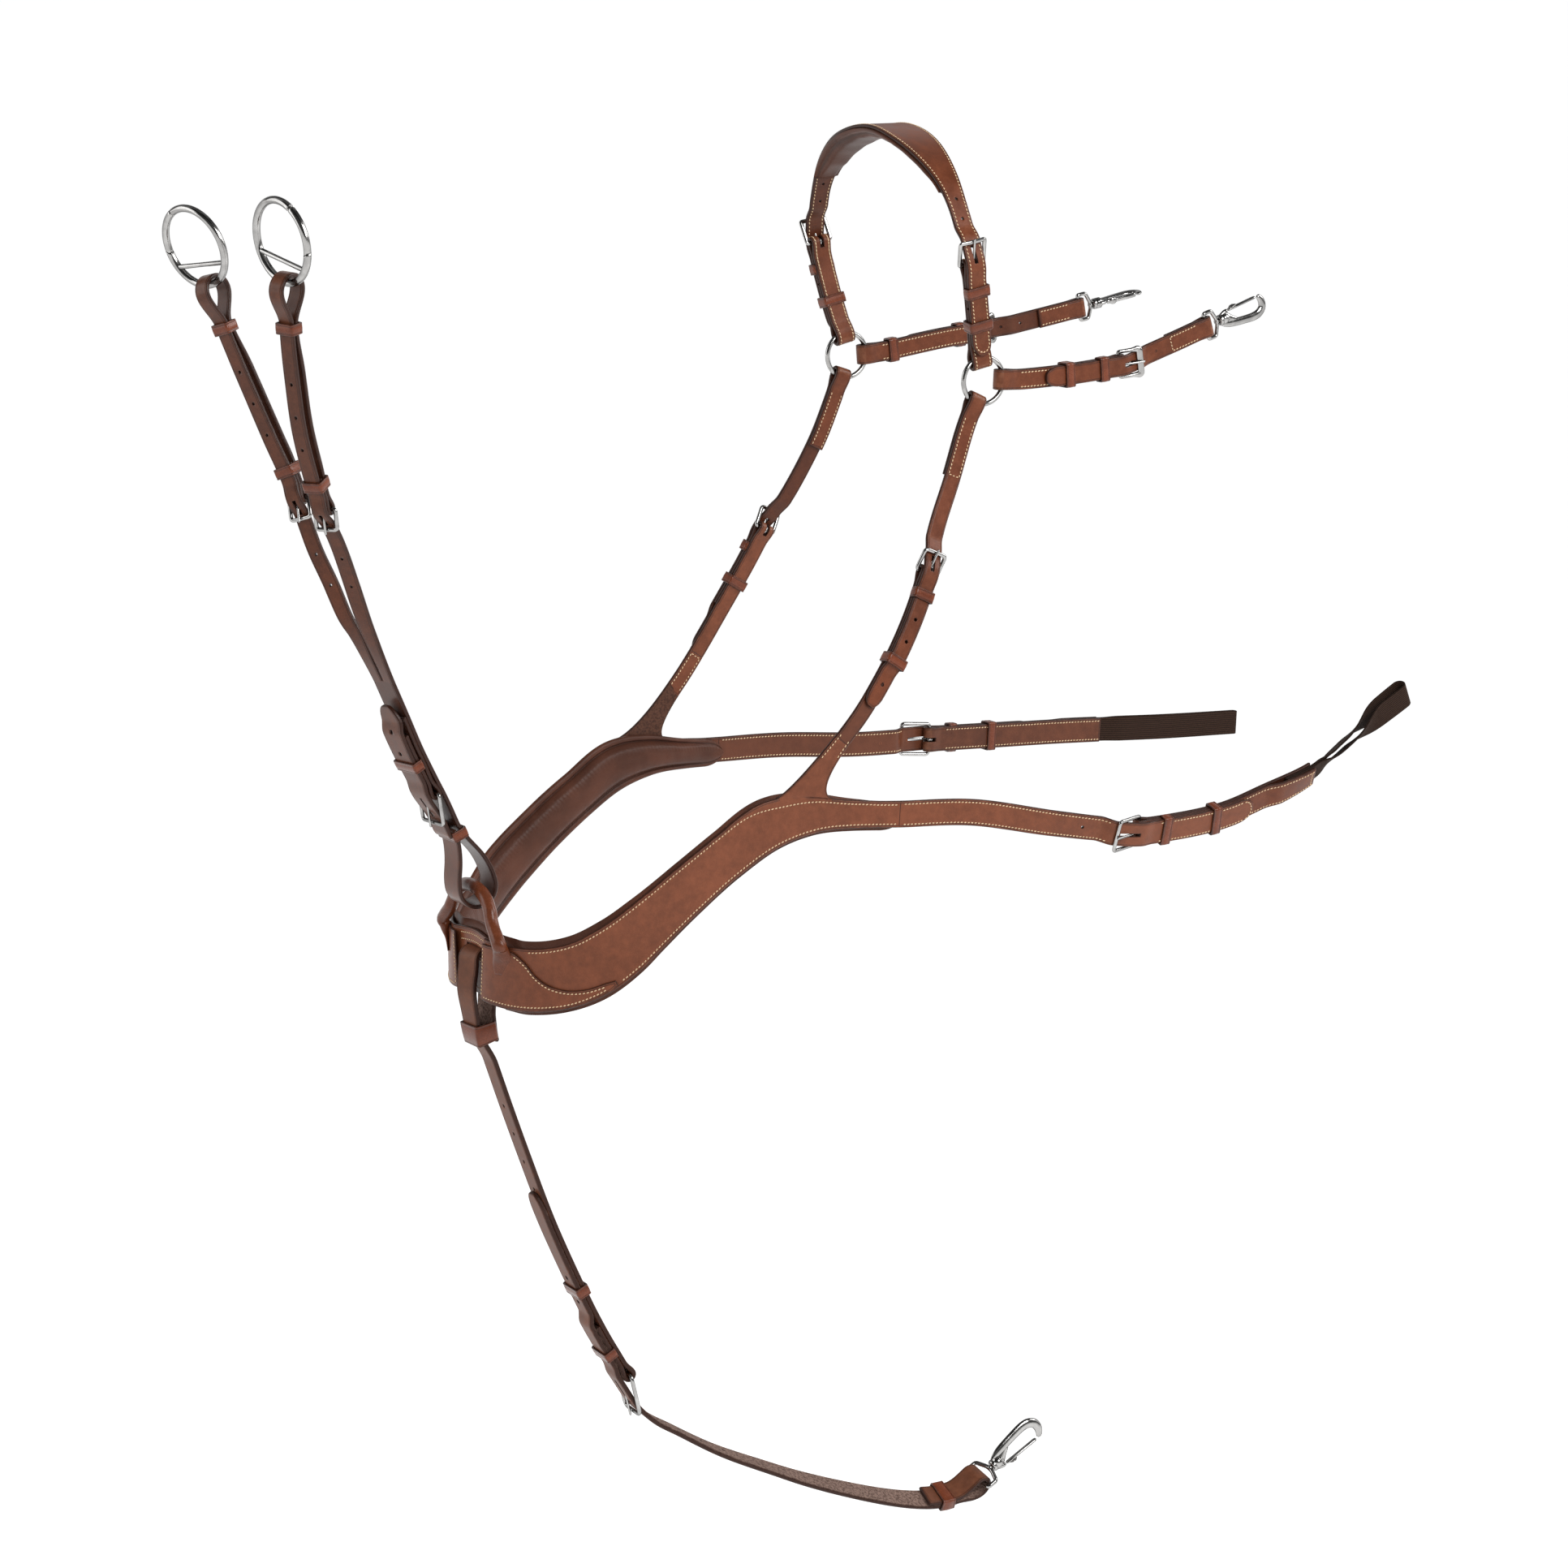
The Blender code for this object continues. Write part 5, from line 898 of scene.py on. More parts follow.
def loopedPath(line, buckle, barS, sewn, wire, width, chapeEnd, tip, onRing=False):
    # a billet: from its sewn end round a bar or a ring, and on through the buckle to its tip
    f = -1 if barS > buckle.heel else 1
    barO = -buckle.pitch / 2
    radius = wire + 1.6 * gap + buckle.thickness / 2
    ahead, out = ringShift(line, barS, barO, width) if onRing else (0, 0)
    return joined(
        lay((barS + f * sewn, -buckle.pitch), (barS + f * foldRoom, -buckle.pitch), (barS, barO - radius)),
        turn(barS + ahead, barO + out, radius, -90, 90 if f < 0 else -270),
        lay((barS, barO + radius), (barS + f * foldRoom, 0)),
        buckle.billet(barS + f * foldRoom, 0, chapeEnd, tip))


def edgeStitches(hide, sA, sB, o, half, inset=2.9 * mm):
    # two rows, near both edges, on the layer that lies at height o
    uA, uB = hide.find(sA, o), hide.find(sB, o)
    return [stitchAlong(hide, uA, uB, sign * (half - inset)) for sign in (-1, 1)]


def barStitches(hide, s, o, half, inset=2.9 * mm):
    return [stitchAcross(hide, hide.find(s, o), -half + inset, half - inset, 3.4 * mm, thick=0.5 * mm)]


def tipStitches(hide, atEnd, half, inset=3.0 * mm, reach=11 * mm):
    # a row of stitches that follows a strap's rounded point
    a = np.linspace(-math.pi / 2, math.pi / 2, 21)
    u = reach - (reach - inset) * np.cos(a)
    w = (half - inset) * np.sin(a)
    return stitchRow(*hide.place(hide.total - u if atEnd else u, w), 3.5 * mm, 0.7)


def foldStitch(buckle, hide, ahead=15.5 * mm, reach=0.62):
    # the thick cross stitch behind a buckle's fold
    u = hide.find(buckle.heel + buckle.facing * ahead, buckle.sewn)
    w = np.linspace(-1, 1, 9) * buckle.width / 2 * reach
    spots, normals = hide.place(np.full_like(w, u), w, 0.12 * mm)
    return tube(spots, 0.62 * mm, 8, up=normals[0])


# Wither strap, its pad, and on each side the tab that holds buckle and ring

witherSettings = {"leather": 3.4 * mm, "tab": 20 * mm, "crest": 46 * mm, "heel": 91 * mm, "keeper": 66 * mm,
                  "looseKeeper": 34 * mm, "sewn": 40 * mm, "tip": 6 * mm, "padHalf": 128 * mm}
witherSide = [(26.7, 120, -203), (17, 129, -160), (8, 134, -115), (3, 127, -76), (0, 102, -38), (-1, 57, -10)]


def padded(name, node, spotOf, stations, bumps, outline, wrinkles):
    # a padded form: a section of (share of the half width, share of the depth) at each station, flat on one
    # side, with painted shade in the hollow beside each rolled edge; bumps gives the section from its rim to its
    # middle
    section = [(1, 0), *bumps, *((-a, b) for a, b in reversed(bumps[:-1])), (-1, 0)]
    top = splined([(a, b, 0.0) for a, b in section], 0.06)[:-1, :2]
    side, soft = np.vstack([(-1, 0), (0, 0), top]).T
    hollowShade = np.clip(1 - np.abs(np.abs(side) - 0.74) / 0.09, 0, 1) * (soft > 0.05) * 0.8
    verts = []
    for s in stations:
        low, high, ceiling, depth = outline(s)
        w = (low + high) / 2 + (high - low) / 2 * side
        verts.append(spotOf(s, ceiling - depth * soft + wrinkles(s, side) * np.clip(soft * 1.6, 0, 1), w))
    rows, columns = len(stations), len(side)
    first, last = endFaces(rows, columns)
    faces = gridFaces(rows, columns) + [first[::-1], last[::-1]]
    pad = newPiece(name, np.array(verts).reshape(-1, 3), faces, liningLeather, {"hollowShade": np.tile(hollowShade, rows)})
    handIn(pad, "collar", "lining_leather", node)


def makeWither():
    st = witherSettings
    line = StrapLine(witherSide + [(0, 0, 2)] + [(x, -y, z) for x, y, z in reversed(witherSide)], alongX, 1)
    middle, tab, thick = line.length / 2, st["tab"], st["leather"]

    def swell(s):
        spread = np.clip(1 - np.abs(s - middle) / (st["padHalf"] + 26 * mm), 0, 1)
        return (st["crest"] - tab) / 2 * smooth(np.minimum(1.0, spread * 1.25))

    paths, holes = {}, []
    for side, f, heel, ringS in (("far", -1, st["heel"], 0.0), ("near", 1, line.length - st["heel"], line.length)):
        buckle = Buckle(line, heel, f, thick, tab, 22 * mm)
        name = side + "_wither"
        buckle.make(name + "_buckle", "collar", flatWire=2.1 * mm, arch=1.2 * mm, corner=2.4)
        start = heel + f * st["sewn"]
        hide = Hide(line, doublePath(line, buckle, ringS, tab, start), thick, tab)
        leatherPiece(hide, name + "_tab_leather", strapLeather, "collar", name + "_tab", holes=buckle.slotParts())
        sewnKeeper(name + "_keeper", buckle, ringS - f * st["keeper"], "collar")
        looseKeeper(name + "_loose_keeper", "collar", line, ringS - f * st["looseKeeper"],
                    buckle.base - thick / 2, buckle.top + thick / 2, tab)
        atRing, atBuckle = ringS - f * 16 * mm, heel + f * 15 * mm
        rows = edgeStitches(hide, atRing, start - f * 1.5 * mm, buckle.sewn, tab / 2)
        rows += edgeStitches(hide, start + f * 3 * mm, atBuckle, buckle.sewn, tab / 2)
        rows += edgeStitches(hide, atRing, atBuckle, buckle.base, tab / 2)
        sew(name + "_stitching", "collar", rows + [foldStitch(buckle, hide)])
        paths[side] = buckle.billet(middle, 0, ringS, ringS - f * st["tip"], 2.8 * mm)
        holes += buckle.holeParts() + drills(line, [heel - f * (22 + 19 * k) * mm for k in range(3)], 0.0, 1.4 * mm)
    path = joined(list(reversed(paths["far"])), paths["near"])
    hide = Hide(line, path, thick, tab, (True, True), swell)
    leatherPiece(hide, "wither_strap_leather", strapLeather, "collar", "wither_strap", holes=holes, middle=11)
    rows = []
    for sign in (-1, 1):
        for face in (-1, 1):
            rows.append(stitchAlong(hide, 11 * mm, hide.total - 11 * mm,
                                    lambda s: sign * (tab / 2 + swell(s) - 3.0 * mm), face))
    sew("wither_stitching", "collar", rows + [tipStitches(hide, atEnd, tab / 2) for atEnd in (False, True)])

    def outline(s):
        half = tab / 2 + float(swell(s)) + 1.5 * mm
        end = float(smooth(min(1.0, (st["padHalf"] - abs(s - middle)) / (30 * mm))))
        return -half, half, -thick / 2 - gap, (3.2 + 6.1 * end) * mm

    def wrinkles(s, side):
        return 0.35 * mm * np.sin(s / (5.5 * mm) + 3 * side) * np.sin(s / (13 * mm) - side * 2)

    bumps = [(1.0, 0.16), (0.93, 0.34), (0.8, 0.42), (0.7, 0.62), (0.5, 0.93), (0, 1)]
    padded("wither_pad_soft", "wither_pad", lambda s, o, w: line.at(np.full_like(o, s), o, w),
           middle + np.linspace(-st["padHalf"], st["padHalf"], 120), bumps, outline, wrinkles)


makeWither()
print("wither strap made")


# Wither rings

def makeWitherRing(side, sign):
    angle = np.arange(96)[:, None] * math.tau / 96
    centre = ringSettings["centre"] * np.array([1, sign, 1])
    spots = centre + ringSettings["radius"] * (np.cos(angle) * alongX + np.sin(angle) * alongZ)
    ring = tube(spots, ringSettings["wire"], 18, closed=True, up=np.cross(alongX, alongZ))
    steelPiece(side + "_wither_ring", side + "_wither_ring", [ring])


makeWitherRing("near", -1)
makeWitherRing("far", 1)


# Swivel snaps: an eye with a post, a hook that turns on it, and a gate; x runs along, y out, z across

snapSettings = {"wire": 1.9 * mm, "post": 2.1 * mm, "head": 3.5 * mm, "sleeve": 5.3 * mm, "eye": 13 * mm}


def makeSnap(prefix, line, s, o, roll, eyeWidth, size=1.0):
    along, out, across = line.axes(np.array(s))
    origin = line.at(np.array(s), o)
    axes = np.array([along, out, across])
    if np.linalg.det(axes) < 0:
        axes[2] = -axes[2]
    c, sn = math.cos(roll), math.sin(roll)

    def placed(part, rolled=True):
        spots, faces = np.atleast_2d(part[0]) * size, part[1]
        if rolled:
            x, y, z = spots.T
            spots = np.column_stack([x, c * y - sn * z, sn * y + c * z])
        return origin + spots @ axes, faces

    def bar(stops, flat, up=alongZ, step=0):
        # a rod through (x, y, radius) stops
        run = np.array([(x, y, 0, q) for x, y, q in stops]) * mm
        if step:
            run = splined(run, step)
            share = np.linspace(0, 1, len(run))
            run[:, 3] *= np.sqrt(np.clip(1 - np.clip((share - 0.965) / 0.035, 0, 0.93) ** 2, 0.02, 1))
        return placed(tube(run[:, :3], run[:, 3], 20 if step else 18, up=up, flat=flat))

    wire, post, head, a = (snapSettings[key] for key in ("wire", "post", "head", "eye"))
    half = (eyeWidth / 2 + 1.2 * mm) / size + wire
    plan = [(0, -half), (0, half), (a - 4 * mm, half), (a, 3 * mm), (a, -3 * mm), (a - 4 * mm, -half)]
    eye = roundedOutline([(x, 0, z) for x, z in plan], 2.2 * mm, 7)
    parts = [placed(tube(eye, wire, 16, closed=True, up=alongY), False)]
    x, radius = np.array([(a - 1.2 * mm, post * 1.25), (a + 1.0 * mm, post), (25 * mm, post), (25.3 * mm, head),
                          (26.6 * mm, head), (27.6 * mm, head * 0.6)]).T
    parts.append(placed(tube(np.column_stack([x, 0 * x, 0 * x]), radius, 22, up=alongY), False))
    steelPiece(prefix + "_eye", prefix + "_eye", parts)
    start, end = a + wire + 0.5 * mm, 24.6 * mm
    r, bore = snapSettings["sleeve"], post + 0.4 * mm
    low = r - 0.5 * mm
    sleeve = [(start, bore), (start, r - 1.2 * mm), (start + 0.5 * mm, low), (start + 1.5 * mm, r),
              (start + 3.0 * mm, r), (start + 3.3 * mm, low), (start + 3.7 * mm, low), (start + 4.0 * mm, r),
              (end - 0.5 * mm, r), (end, low), (end, bore)]
    sides = 32
    angle = np.arange(sides) * math.tau / sides
    spots = [(x, q * math.cos(t), q * math.sin(t)) for x, q in sleeve for t in angle]
    parts = [placed((spots, gridFaces(len(sleeve), sides, True)))]
    spine = [(18, 3.5, 2.0), (22, 5.2, 3.0), (28, 6.9, 3.7), (36, 8.3, 3.9), (46, 9.7, 4.0), (56, 10.6, 4.2),
             (63.0, 9.6, 4.3), (68.0, 5.8, 4.2), (69.0, 0.5, 3.9), (67.4, -4.2, 3.1), (64.6, -6.6, 2.1)]
    root = [(19, -4.0, 1.8), (24.4, -5.6, 2.2), (28.0, -6.3, 1.6)]
    palm = [(17.5, 0, 4.0), (21, 0.2, 5.8), (25, 1.0, 5.6), (30, 3.6, 4.2), (37, 6.6, 2.6)]
    parts += [bar(stops, flat, step=1.2 * mm) for stops, flat in ((spine, 0.58), (root, 0.9), (palm, 0.42))]
    steelPiece(prefix + "_hook", prefix + "_hook", parts)
    rod = [(28.7, -6.3, 0.9), (29.2, -6.3, 1.35), (30.2, -6.3, 1.5), (45, -6.45, 1.5), (60, -6.6, 1.5),
           (61.6, -6.6, 1.3), (62.2, -6.6, 0.9)]
    thumb = [(30.6, -7.2, 0.6), (31.6, -7.7, 2.2), (33.6, -8.3, 3.2), (36.2, -8.6, 3.2), (38.2, -8.3, 2.2),
             (39.2, -7.6, 0.6)]
    steelPiece(prefix + "_gate", prefix + "_gate", [bar(rod, 1.5), bar(thumb, 0.3, alongY)])


# Straps from the wither rings to the saddle

saddleSettings = {"leather": 3.6 * mm, "width": 19 * mm, "heel": 130 * mm, "chape": 45 * mm, "keeper": 108 * mm,
                  "tip": 43 * mm, "sewn": 48 * mm, "looseKeeper": {"near": 69 * mm, "far": 29 * mm}}
nearSaddle = [(52.5, 120, -224), (77, 120, -225), (129, 119, -223), (190, 117, -217), (241, 116, -203),
              (286, 114, -189)]
farSaddle = [(52.5, 120, -224), (78, 120, -222), (136, 119, -214), (192, 118, -208), (247, 116, -199),
             (292, 114, -191)]


def makeSaddle(side, sign, points, roll):
    st = saddleSettings
    line = sideLine(points, sign, alongZ)
    name, body = side + "_saddle", side + "_saddle_strap"
    width, thick, heel, sewn = st["width"], st["leather"], st["heel"], st["sewn"]
    buckle = Buckle(line, heel, -1, thick, width, 21 * mm, roomy=3 * mm)
    buckle.make(name + "_buckle", body, broad=1.7, corner=2.6)
    start = heel - st["chape"]
    hide = Hide(line, doublePath(line, buckle, 0.0, width, start), thick, width)
    leatherPiece(hide, name + "_chape_leather", strapLeather, body, name + "_chape", holes=buckle.slotParts())
    sewnKeeper(name + "_keeper", buckle, st["keeper"], body)
    layers = 2 if side == "near" else 1
    looseKeeper(name + "_loose_keeper", body, line, st["looseKeeper"][side], -thick / 2,
                layers * buckle.pitch + thick / 2, width)
    rows = edgeStitches(hide, 16 * mm, start - 1.5 * mm, buckle.pitch, width / 2)
    rows += edgeStitches(hide, start + 3 * mm, heel - 16 * mm, buckle.pitch, width / 2)
    rows += edgeStitches(hide, 16 * mm, heel - 16 * mm, 0.0, width / 2)
    rows += [foldStitch(buckle, hide)]
    barS = line.length
    path = loopedPath(line, buckle, barS, sewn, snapSettings["wire"], width, 0.0, st["tip"])
    billet = Hide(line, path, thick, width, (False, True))
    holes = buckle.holeParts() + drills(line, [heel + (24 + 20 * k) * mm for k in range(2)], 0.0, 1.3 * mm)
    leatherPiece(billet, name + "_billet_leather", strapLeather, body, name + "_billet", holes=holes)
    for o in (0.0, -buckle.pitch):
        rows += edgeStitches(billet, barS - 15 * mm, barS - sewn + 2 * mm, o, width / 2)
    rows += barStitches(billet, barS - sewn + 1.6 * mm, 0.0, width / 2)
    sew(name + "_stitching", body, rows)
    makeSnap(side + "_snap", line, barS, -buckle.pitch / 2, roll, width)


makeSaddle("near", -1, nearSaddle, math.pi / 2)
makeSaddle("far", 1, farSaddle, 0.0)
print("saddle straps made")


# Straps from the wither rings down to the chest

shoulderSettings = {"leather": 3.6 * mm, "width": 17 * mm, "heel": 165 * mm, "keeper": 187 * mm, "tip": 300 * mm,
                    "sewn": 72 * mm, "chape": 85 * mm, "looseKeeper": {"near": 253 * mm, "far": 223 * mm}}
nearShoulder = [(21.6, 124, -243.4), (9, 126, -270), (-8, 131, -311), (-27, 138, -349), (-43, 146, -386),
                (-59, 152, -420), (-79, 157, -454), (-101, 160, -486), (-123, 161, -515), (-151, 160, -546)]
farShoulder = [(23.8, 124, -244.3), (15, 126, -270), (1, 130, -306), (-20, 138, -349), (-44, 146, -389),
               (-65, 152, -428), (-89, 157, -468), (-109, 160, -500), (-128, 161, -527), (-150, 160, -553)]


def makeShoulder(side, sign, points):
    st = shoulderSettings
    name = side + "_shoulder"
    width, thick, heel, sewn = st["width"], st["leather"], st["heel"], st["sewn"]
    line = sideLine(points, sign, alongX)
    buckle = Buckle(line, heel, 1, thick, width, 20 * mm, roomy=3 * mm)
    buckle.make(name + "_buckle", "collar")
    path = loopedPath(line, buckle, 0.0, sewn, ringSettings["wire"], width, heel + st["chape"], st["tip"], True)
    hide = Hide(line, path, thick, width, (False, True))
    holes = buckle.holeParts() + drills(line, [heel + (46 + 22 * k) * mm for k in range(4)], buckle.top, 1.7 * mm)
    leatherPiece(hide, name + "_strap_leather", strapLeather, "collar", name + "_strap", holes=holes)
    looseKeeper(name + "_loose_keeper", "collar", line, st["looseKeeper"][side], buckle.base - thick / 2,
                buckle.top + thick / 2, width)
    rows = []
    for o in (0.0, -buckle.pitch):
        rows += edgeStitches(hide, 16 * mm, sewn - 2 * mm, o, width / 2)
    sew(name + "_stitching", "collar", rows + barStitches(hide, sewn - 1.6 * mm, 0.0, width / 2))
    return line, buckle


shoulders = {"near": makeShoulder("near", -1, nearShoulder), "far": makeShoulder("far", 1, farShoulder)}
print("shoulder straps made")


# Chest leather: panel, yoke arm with the shoulder chape, and the long girth billet

chestSettings = {"leather": 3.4 * mm, "start": 24 * mm, "yoke": (362 * mm, 412 * mm), "seam": 477 * mm,
                 "girthHeel": 731 * mm, "girthKeeper": 760 * mm, "girthTip": 862 * mm, "chapeEnd": 940 * mm,
                 "girthWidth": 25 * mm, "webbing": 1.8 * mm}
chestSide = [
    (-436, 0, -738), (-436, 35, -741), (-423, 70, -742), (-403, 98, -738), (-380, 119, -728), (-355, 134, -710),
    (-329, 142, -689), (-291, 147, -661), (-251, 150, -635), (-212, 154, -614), (-172, 158, -605),
    (-131, 163, -605), (-85, 170, -608)]
nearGirth = [(-11, 178, -613), (75, 183, -632), (151, 186, -646), (201, 187, -647), (258, 186, -643),
             (306, 184, -632), (361, 180, -616), (396, 178, -597), (436, 176, -572), (484, 174, -546)]
farGirth = [(-11, 176, -612), (75, 180, -621), (151, 183, -625), (240, 186, -630), (320, 187, -634),
            (387, 187, -638), (463, 188, -643), (551, 188, -647)]
panelEdges = np.array([
    (24, -30, 29), (70, -30, 29), (140, -28, 28.5), (207, -23.5, 27), (255, -20.5, 26.5), (304, -18, 27),
    (352, -16.5, 29), (412, -13, 16), (450, -12.6, 12.8), (477, -12.5, 12.5)]) * mm
gussetEdges = np.array([
    (26, -28, 25), (66, -28, 25), (80, -28, 17), (90, -28, 5), (101, -28, -4), (116, -28, -11),
    (132, -27, -15), (148, -26, -17), (157, -24.5, -19.5)]) * mm
girthLeans = {"near": ((560, 0), (725, 17), (872, 17), (948, 34), (972, 60), (990, 60), (1042, 9)), "far": ()}



def chestLine(side, sign, girthPoints):
    # from the middle of the chest to the girth; it starts three points back, on the other side
    leadIn = [(x, -y, z) for x, y, z in chestSide[3:0:-1]]
    return sideLine(leadIn + chestSide + girthPoints, sign, alongZ, 3, girthLeans[side])


chestLines = {"near": chestLine("near", -1, nearGirth), "far": chestLine("far", 1, farGirth)}


def yokeSheet(line, shoulder):
    # the middle surface of the yoke arm: from the panel's upper edge up to the shoulder strap's line
    lo, hi = chestSettings["yoke"]
    half = shoulderSettings["width"] / 2
    neck = shoulder.length - 18 * mm
    columns = 29
    roots = np.linspace(lo, hi, columns)
    high = between(panelEdges, roots)[1]
    root = line.at(roots, 0.0, high - 5.5 * mm)
    edge = line.at(roots, 0.0, high)
    share = np.linspace(0, 1, columns)
    reach = np.full(columns, neck)
    goal = edge[0, 2] + (edge[-1, 2] - edge[0, 2]) * share + 7 * mm
    w = half * 1.12 * (2 * share - 1)
    for _ in range(160):  # down the shoulder strap's line, to just above the panel
        spot = shoulder.at(reach, 0.0, w)
        reach = np.where(spot[:, 2] > goal, reach + mm, reach)
    spot = shoulder.at(reach, 0.0, w)
    bend = np.column_stack([spot[:, 0], (spot[:, 1] + edge[:, 1]) / 2, spot[:, 2]])
    top = shoulder.at(np.full(columns, neck), 0.0, half * (2 * share - 1))
    rows = [root, (root + edge) / 2]
    for t in np.linspace(0, 1, 34):
        rows.append(edge * (1 - t) ** 2 + bend * 2 * t * (1 - t) + top * t * t)
    return np.array(rows), neck


rimColumns = np.array([0, 0.08, 0.3, 0.62, 1.05, 1.5, 1.75, 2.0, 2.25, 2.6, 3.4]) * mm  # from each long side


def rimmed(grid):
    # the same rows, with their columns moved close to both long sides
    rows = []
    for row in grid:
        d = travelled(row)
        total = d[-1]
        near = np.minimum(rimColumns, total / 2 * np.linspace(0.05, 0.95, len(rimColumns)))
        middle = near[-1] + (total - 2 * near[-1]) * np.linspace(0, 1, 9)[1:-1]
        rows.append(rowsAt(np.concatenate([near, middle, (total - near)[::-1]]), d, row))
    return np.array(rows)


def thickSheet(name, grid, thickness, finish, outwardHint):
    # a closed strap from a grid of middle points: both long sides are rounded and creased
    rows, columns = grid.shape[:2]
    normal = unit(np.cross(np.gradient(grid, axis=0), np.gradient(grid, axis=1)))
    if np.sum(normal * outwardHint) < 0:
        normal = -normal
    d = np.array([travelled(row) for row in grid])
    fromEdge = np.minimum(d, d[:, -1:] - d)
    height = thickness / 2 * rounding(fromEdge, 1.1 * mm)
    pressed = 0.22 * mm * np.exp(-((fromEdge - 2.0 * mm) / (0.4 * mm)) ** 2)
    ring = wrapped(grid + normal * (height - pressed)[..., None], grid - normal * height[..., None])
    size = ring.shape[1]
    faces = gridFaces(rows, size) + [face[::-1] for face in endFaces(rows, size)]
    flesh = wrapped(np.zeros((rows, columns)), np.ones((rows, columns)))
    toEdge = wrapped(fromEdge, fromEdge) / mm
    piece = newPiece(name, ring.reshape(-1, 3), faces, finish, plain(rows * size, toEdge.ravel(), flesh.ravel()))
    handIn(piece, "collar", "chestnut_leather")
    return normal


def makeChest(side):
    st, up = chestSettings, shoulderSettings
    line = chestLines[side]
    shoulder, buckleUp = shoulders[side]
    thick, seam, heel, tip = st["leather"], st["seam"], st["girthHeel"], st["girthTip"]
    pitch, width = thick + gap, st["girthWidth"]
    girth = Buckle(line, heel, 1, thick, width, 29 * mm)
    girthPath = girth.billet(seam, 0, st["chapeEnd"], tip)

    def edges(s):
        low, high = between(panelEdges, s)
        room = np.clip((tip - s) / (Hide.tipLength * width), 0, 1)
        share = Hide.blunt + (1 - Hide.blunt) * np.sqrt(np.clip(1 - (1 - room) ** 2, 0, 1))
        return low * share, high * share

    start = st["start"]
    lead = [(start, 0.0)]
    if side == "far":  # its end passes behind the near panel
        start = 42 * mm
        lead = lay((-50 * mm, -pitch), (24 * mm, -pitch), (start, 0))
    path = joined(lead, lay((start, 0.0), (seam, 0.0)), girthPath)
    path = ([spot for spot in path if spot[0] < tip - 18 * mm]
            + [(tip - share * 19 * mm, girthPath[-1][1]) for share in (*Hide.tipRows[::-1], 0.05)] + [path[-1]])
    hide = Hide(line, path, thick, edges=edges, round=1.15, crease=2.1, seams=(seam,))
    holes = girth.holeParts() + drills(line, [heel - (36 + 24 * k) * mm for k in range(2)], 0.0, 1.6 * mm)
    if side == "far":  # the slot that the belly strap comes up through
        half = 15.1 * mm
        slot = [(-432.3 * mm + x, y, -733 * mm + z) for x in (-9 * mm, 9 * mm) for y in (-half, half)
                for z in (0.3 * mm, 9.2 * mm)]
        holes.append((np.array(slot), boxFaces()))
    leatherPiece(hide, side + "_chest_panel_leather", chestLeather, "collar", side + "_chest_panel", holes=holes,
                 middle=15)
    grid, neck = yokeSheet(line, shoulder)
    arm = rimmed(grid)
    normal = thickSheet(side + "_yoke_arm_leather", arm, thick * 0.98, chestLeather,
                        np.array([0, -1 if side == "near" else 1, 0.0]))
    chapeEnd = up["heel"] + up["chape"]
    chape = joined(buckleUp.chapeIn(neck + 6 * mm), buckleUp.fold(), buckleUp.chapeOut(chapeEnd))
    chapeHide = Hide(shoulder, chape, thick, up["width"], seams=(neck - 38 * mm,))
    leatherPiece(chapeHide, side + "_shoulder_chape_leather", chestLeather, "collar", holes=buckleUp.slotParts())
    sewnKeeper(side + "_shoulder_keeper", buckleUp, up["keeper"], "collar")
    rows = []
    if side == "far":
        for w in (23.6, 17.4, 2.6, -24.0):
            rows.append(stitchAlong(hide, hide.find(-25 * mm, -pitch), hide.find(23 * mm, -pitch), w * mm))
    ends = hide.find(seam - 2 * mm, 0.0)
    rows.append(stitchAlong(hide, hide.find(162 * mm, 0.0), ends, lambda s: between(panelEdges, s)[0] + 3.6 * mm))
    rows.append(stitchAlong(hide, hide.find(84 * mm, 0.0), ends, lambda s: between(panelEdges, s)[1] - 3.6 * mm
                            - 5 * mm * np.exp(-((s - st["yoke"][0]) / (26 * mm)) ** 2)))
    beyond = hide.find(heel - 30 * mm, 0.0)
    for sign in (-1, 1):
        for face in (-1, 1):
            rows.append(stitchAlong(hide, ends + 6 * mm, beyond, sign * (width / 2 - 3.1 * mm), face))
    rows += edgeStitches(hide, heel + 20 * mm, tip - 13 * mm, girth.top, width / 2)
    rows.append(tipStitches(hide, True, width / 2))
    inset, half = 3.0 * mm, up["width"] / 2
    for upper in (False, True):
        spots, ups = [], []
        for row, n in zip(arm, normal):
            d = travelled(row)
            at = d[-1] - inset if upper else inset
            ups.append(unit(rowsAt(at, d, n)))
            spots.append(rowsAt(at, d, row) + ups[-1] * thick / 2)
        spots, ups = np.array(spots), np.array(ups)
        keep = travelled(spots[::-1])[::-1] < (21 if upper else 30) * mm
        rows.append(stitchRow(spots[keep], ups[keep], filled=2 / 3))
    tabTop = neck - 36 * mm
    rows += edgeStitches(chapeHide, neck, tabTop, 0.0, half, inset)
    rows += barStitches(chapeHide, tabTop, 0.0, half, inset)
    rows += edgeStitches(chapeHide, up["heel"] + 15 * mm, chapeEnd - 1.5 * mm, buckleUp.sewn, half)
    sew(side + "_chest_stitching", "collar", rows)
    return girth


girths = {side: makeChest(side) for side in ("near", "far")}
print("chest leather made")


# Padded lining behind both halves of the chest leather

liningSettings = {"neckLow": 15 * mm, "neckHigh": 36 * mm, "reach": 481 * mm, "depth": 7.4 * mm}


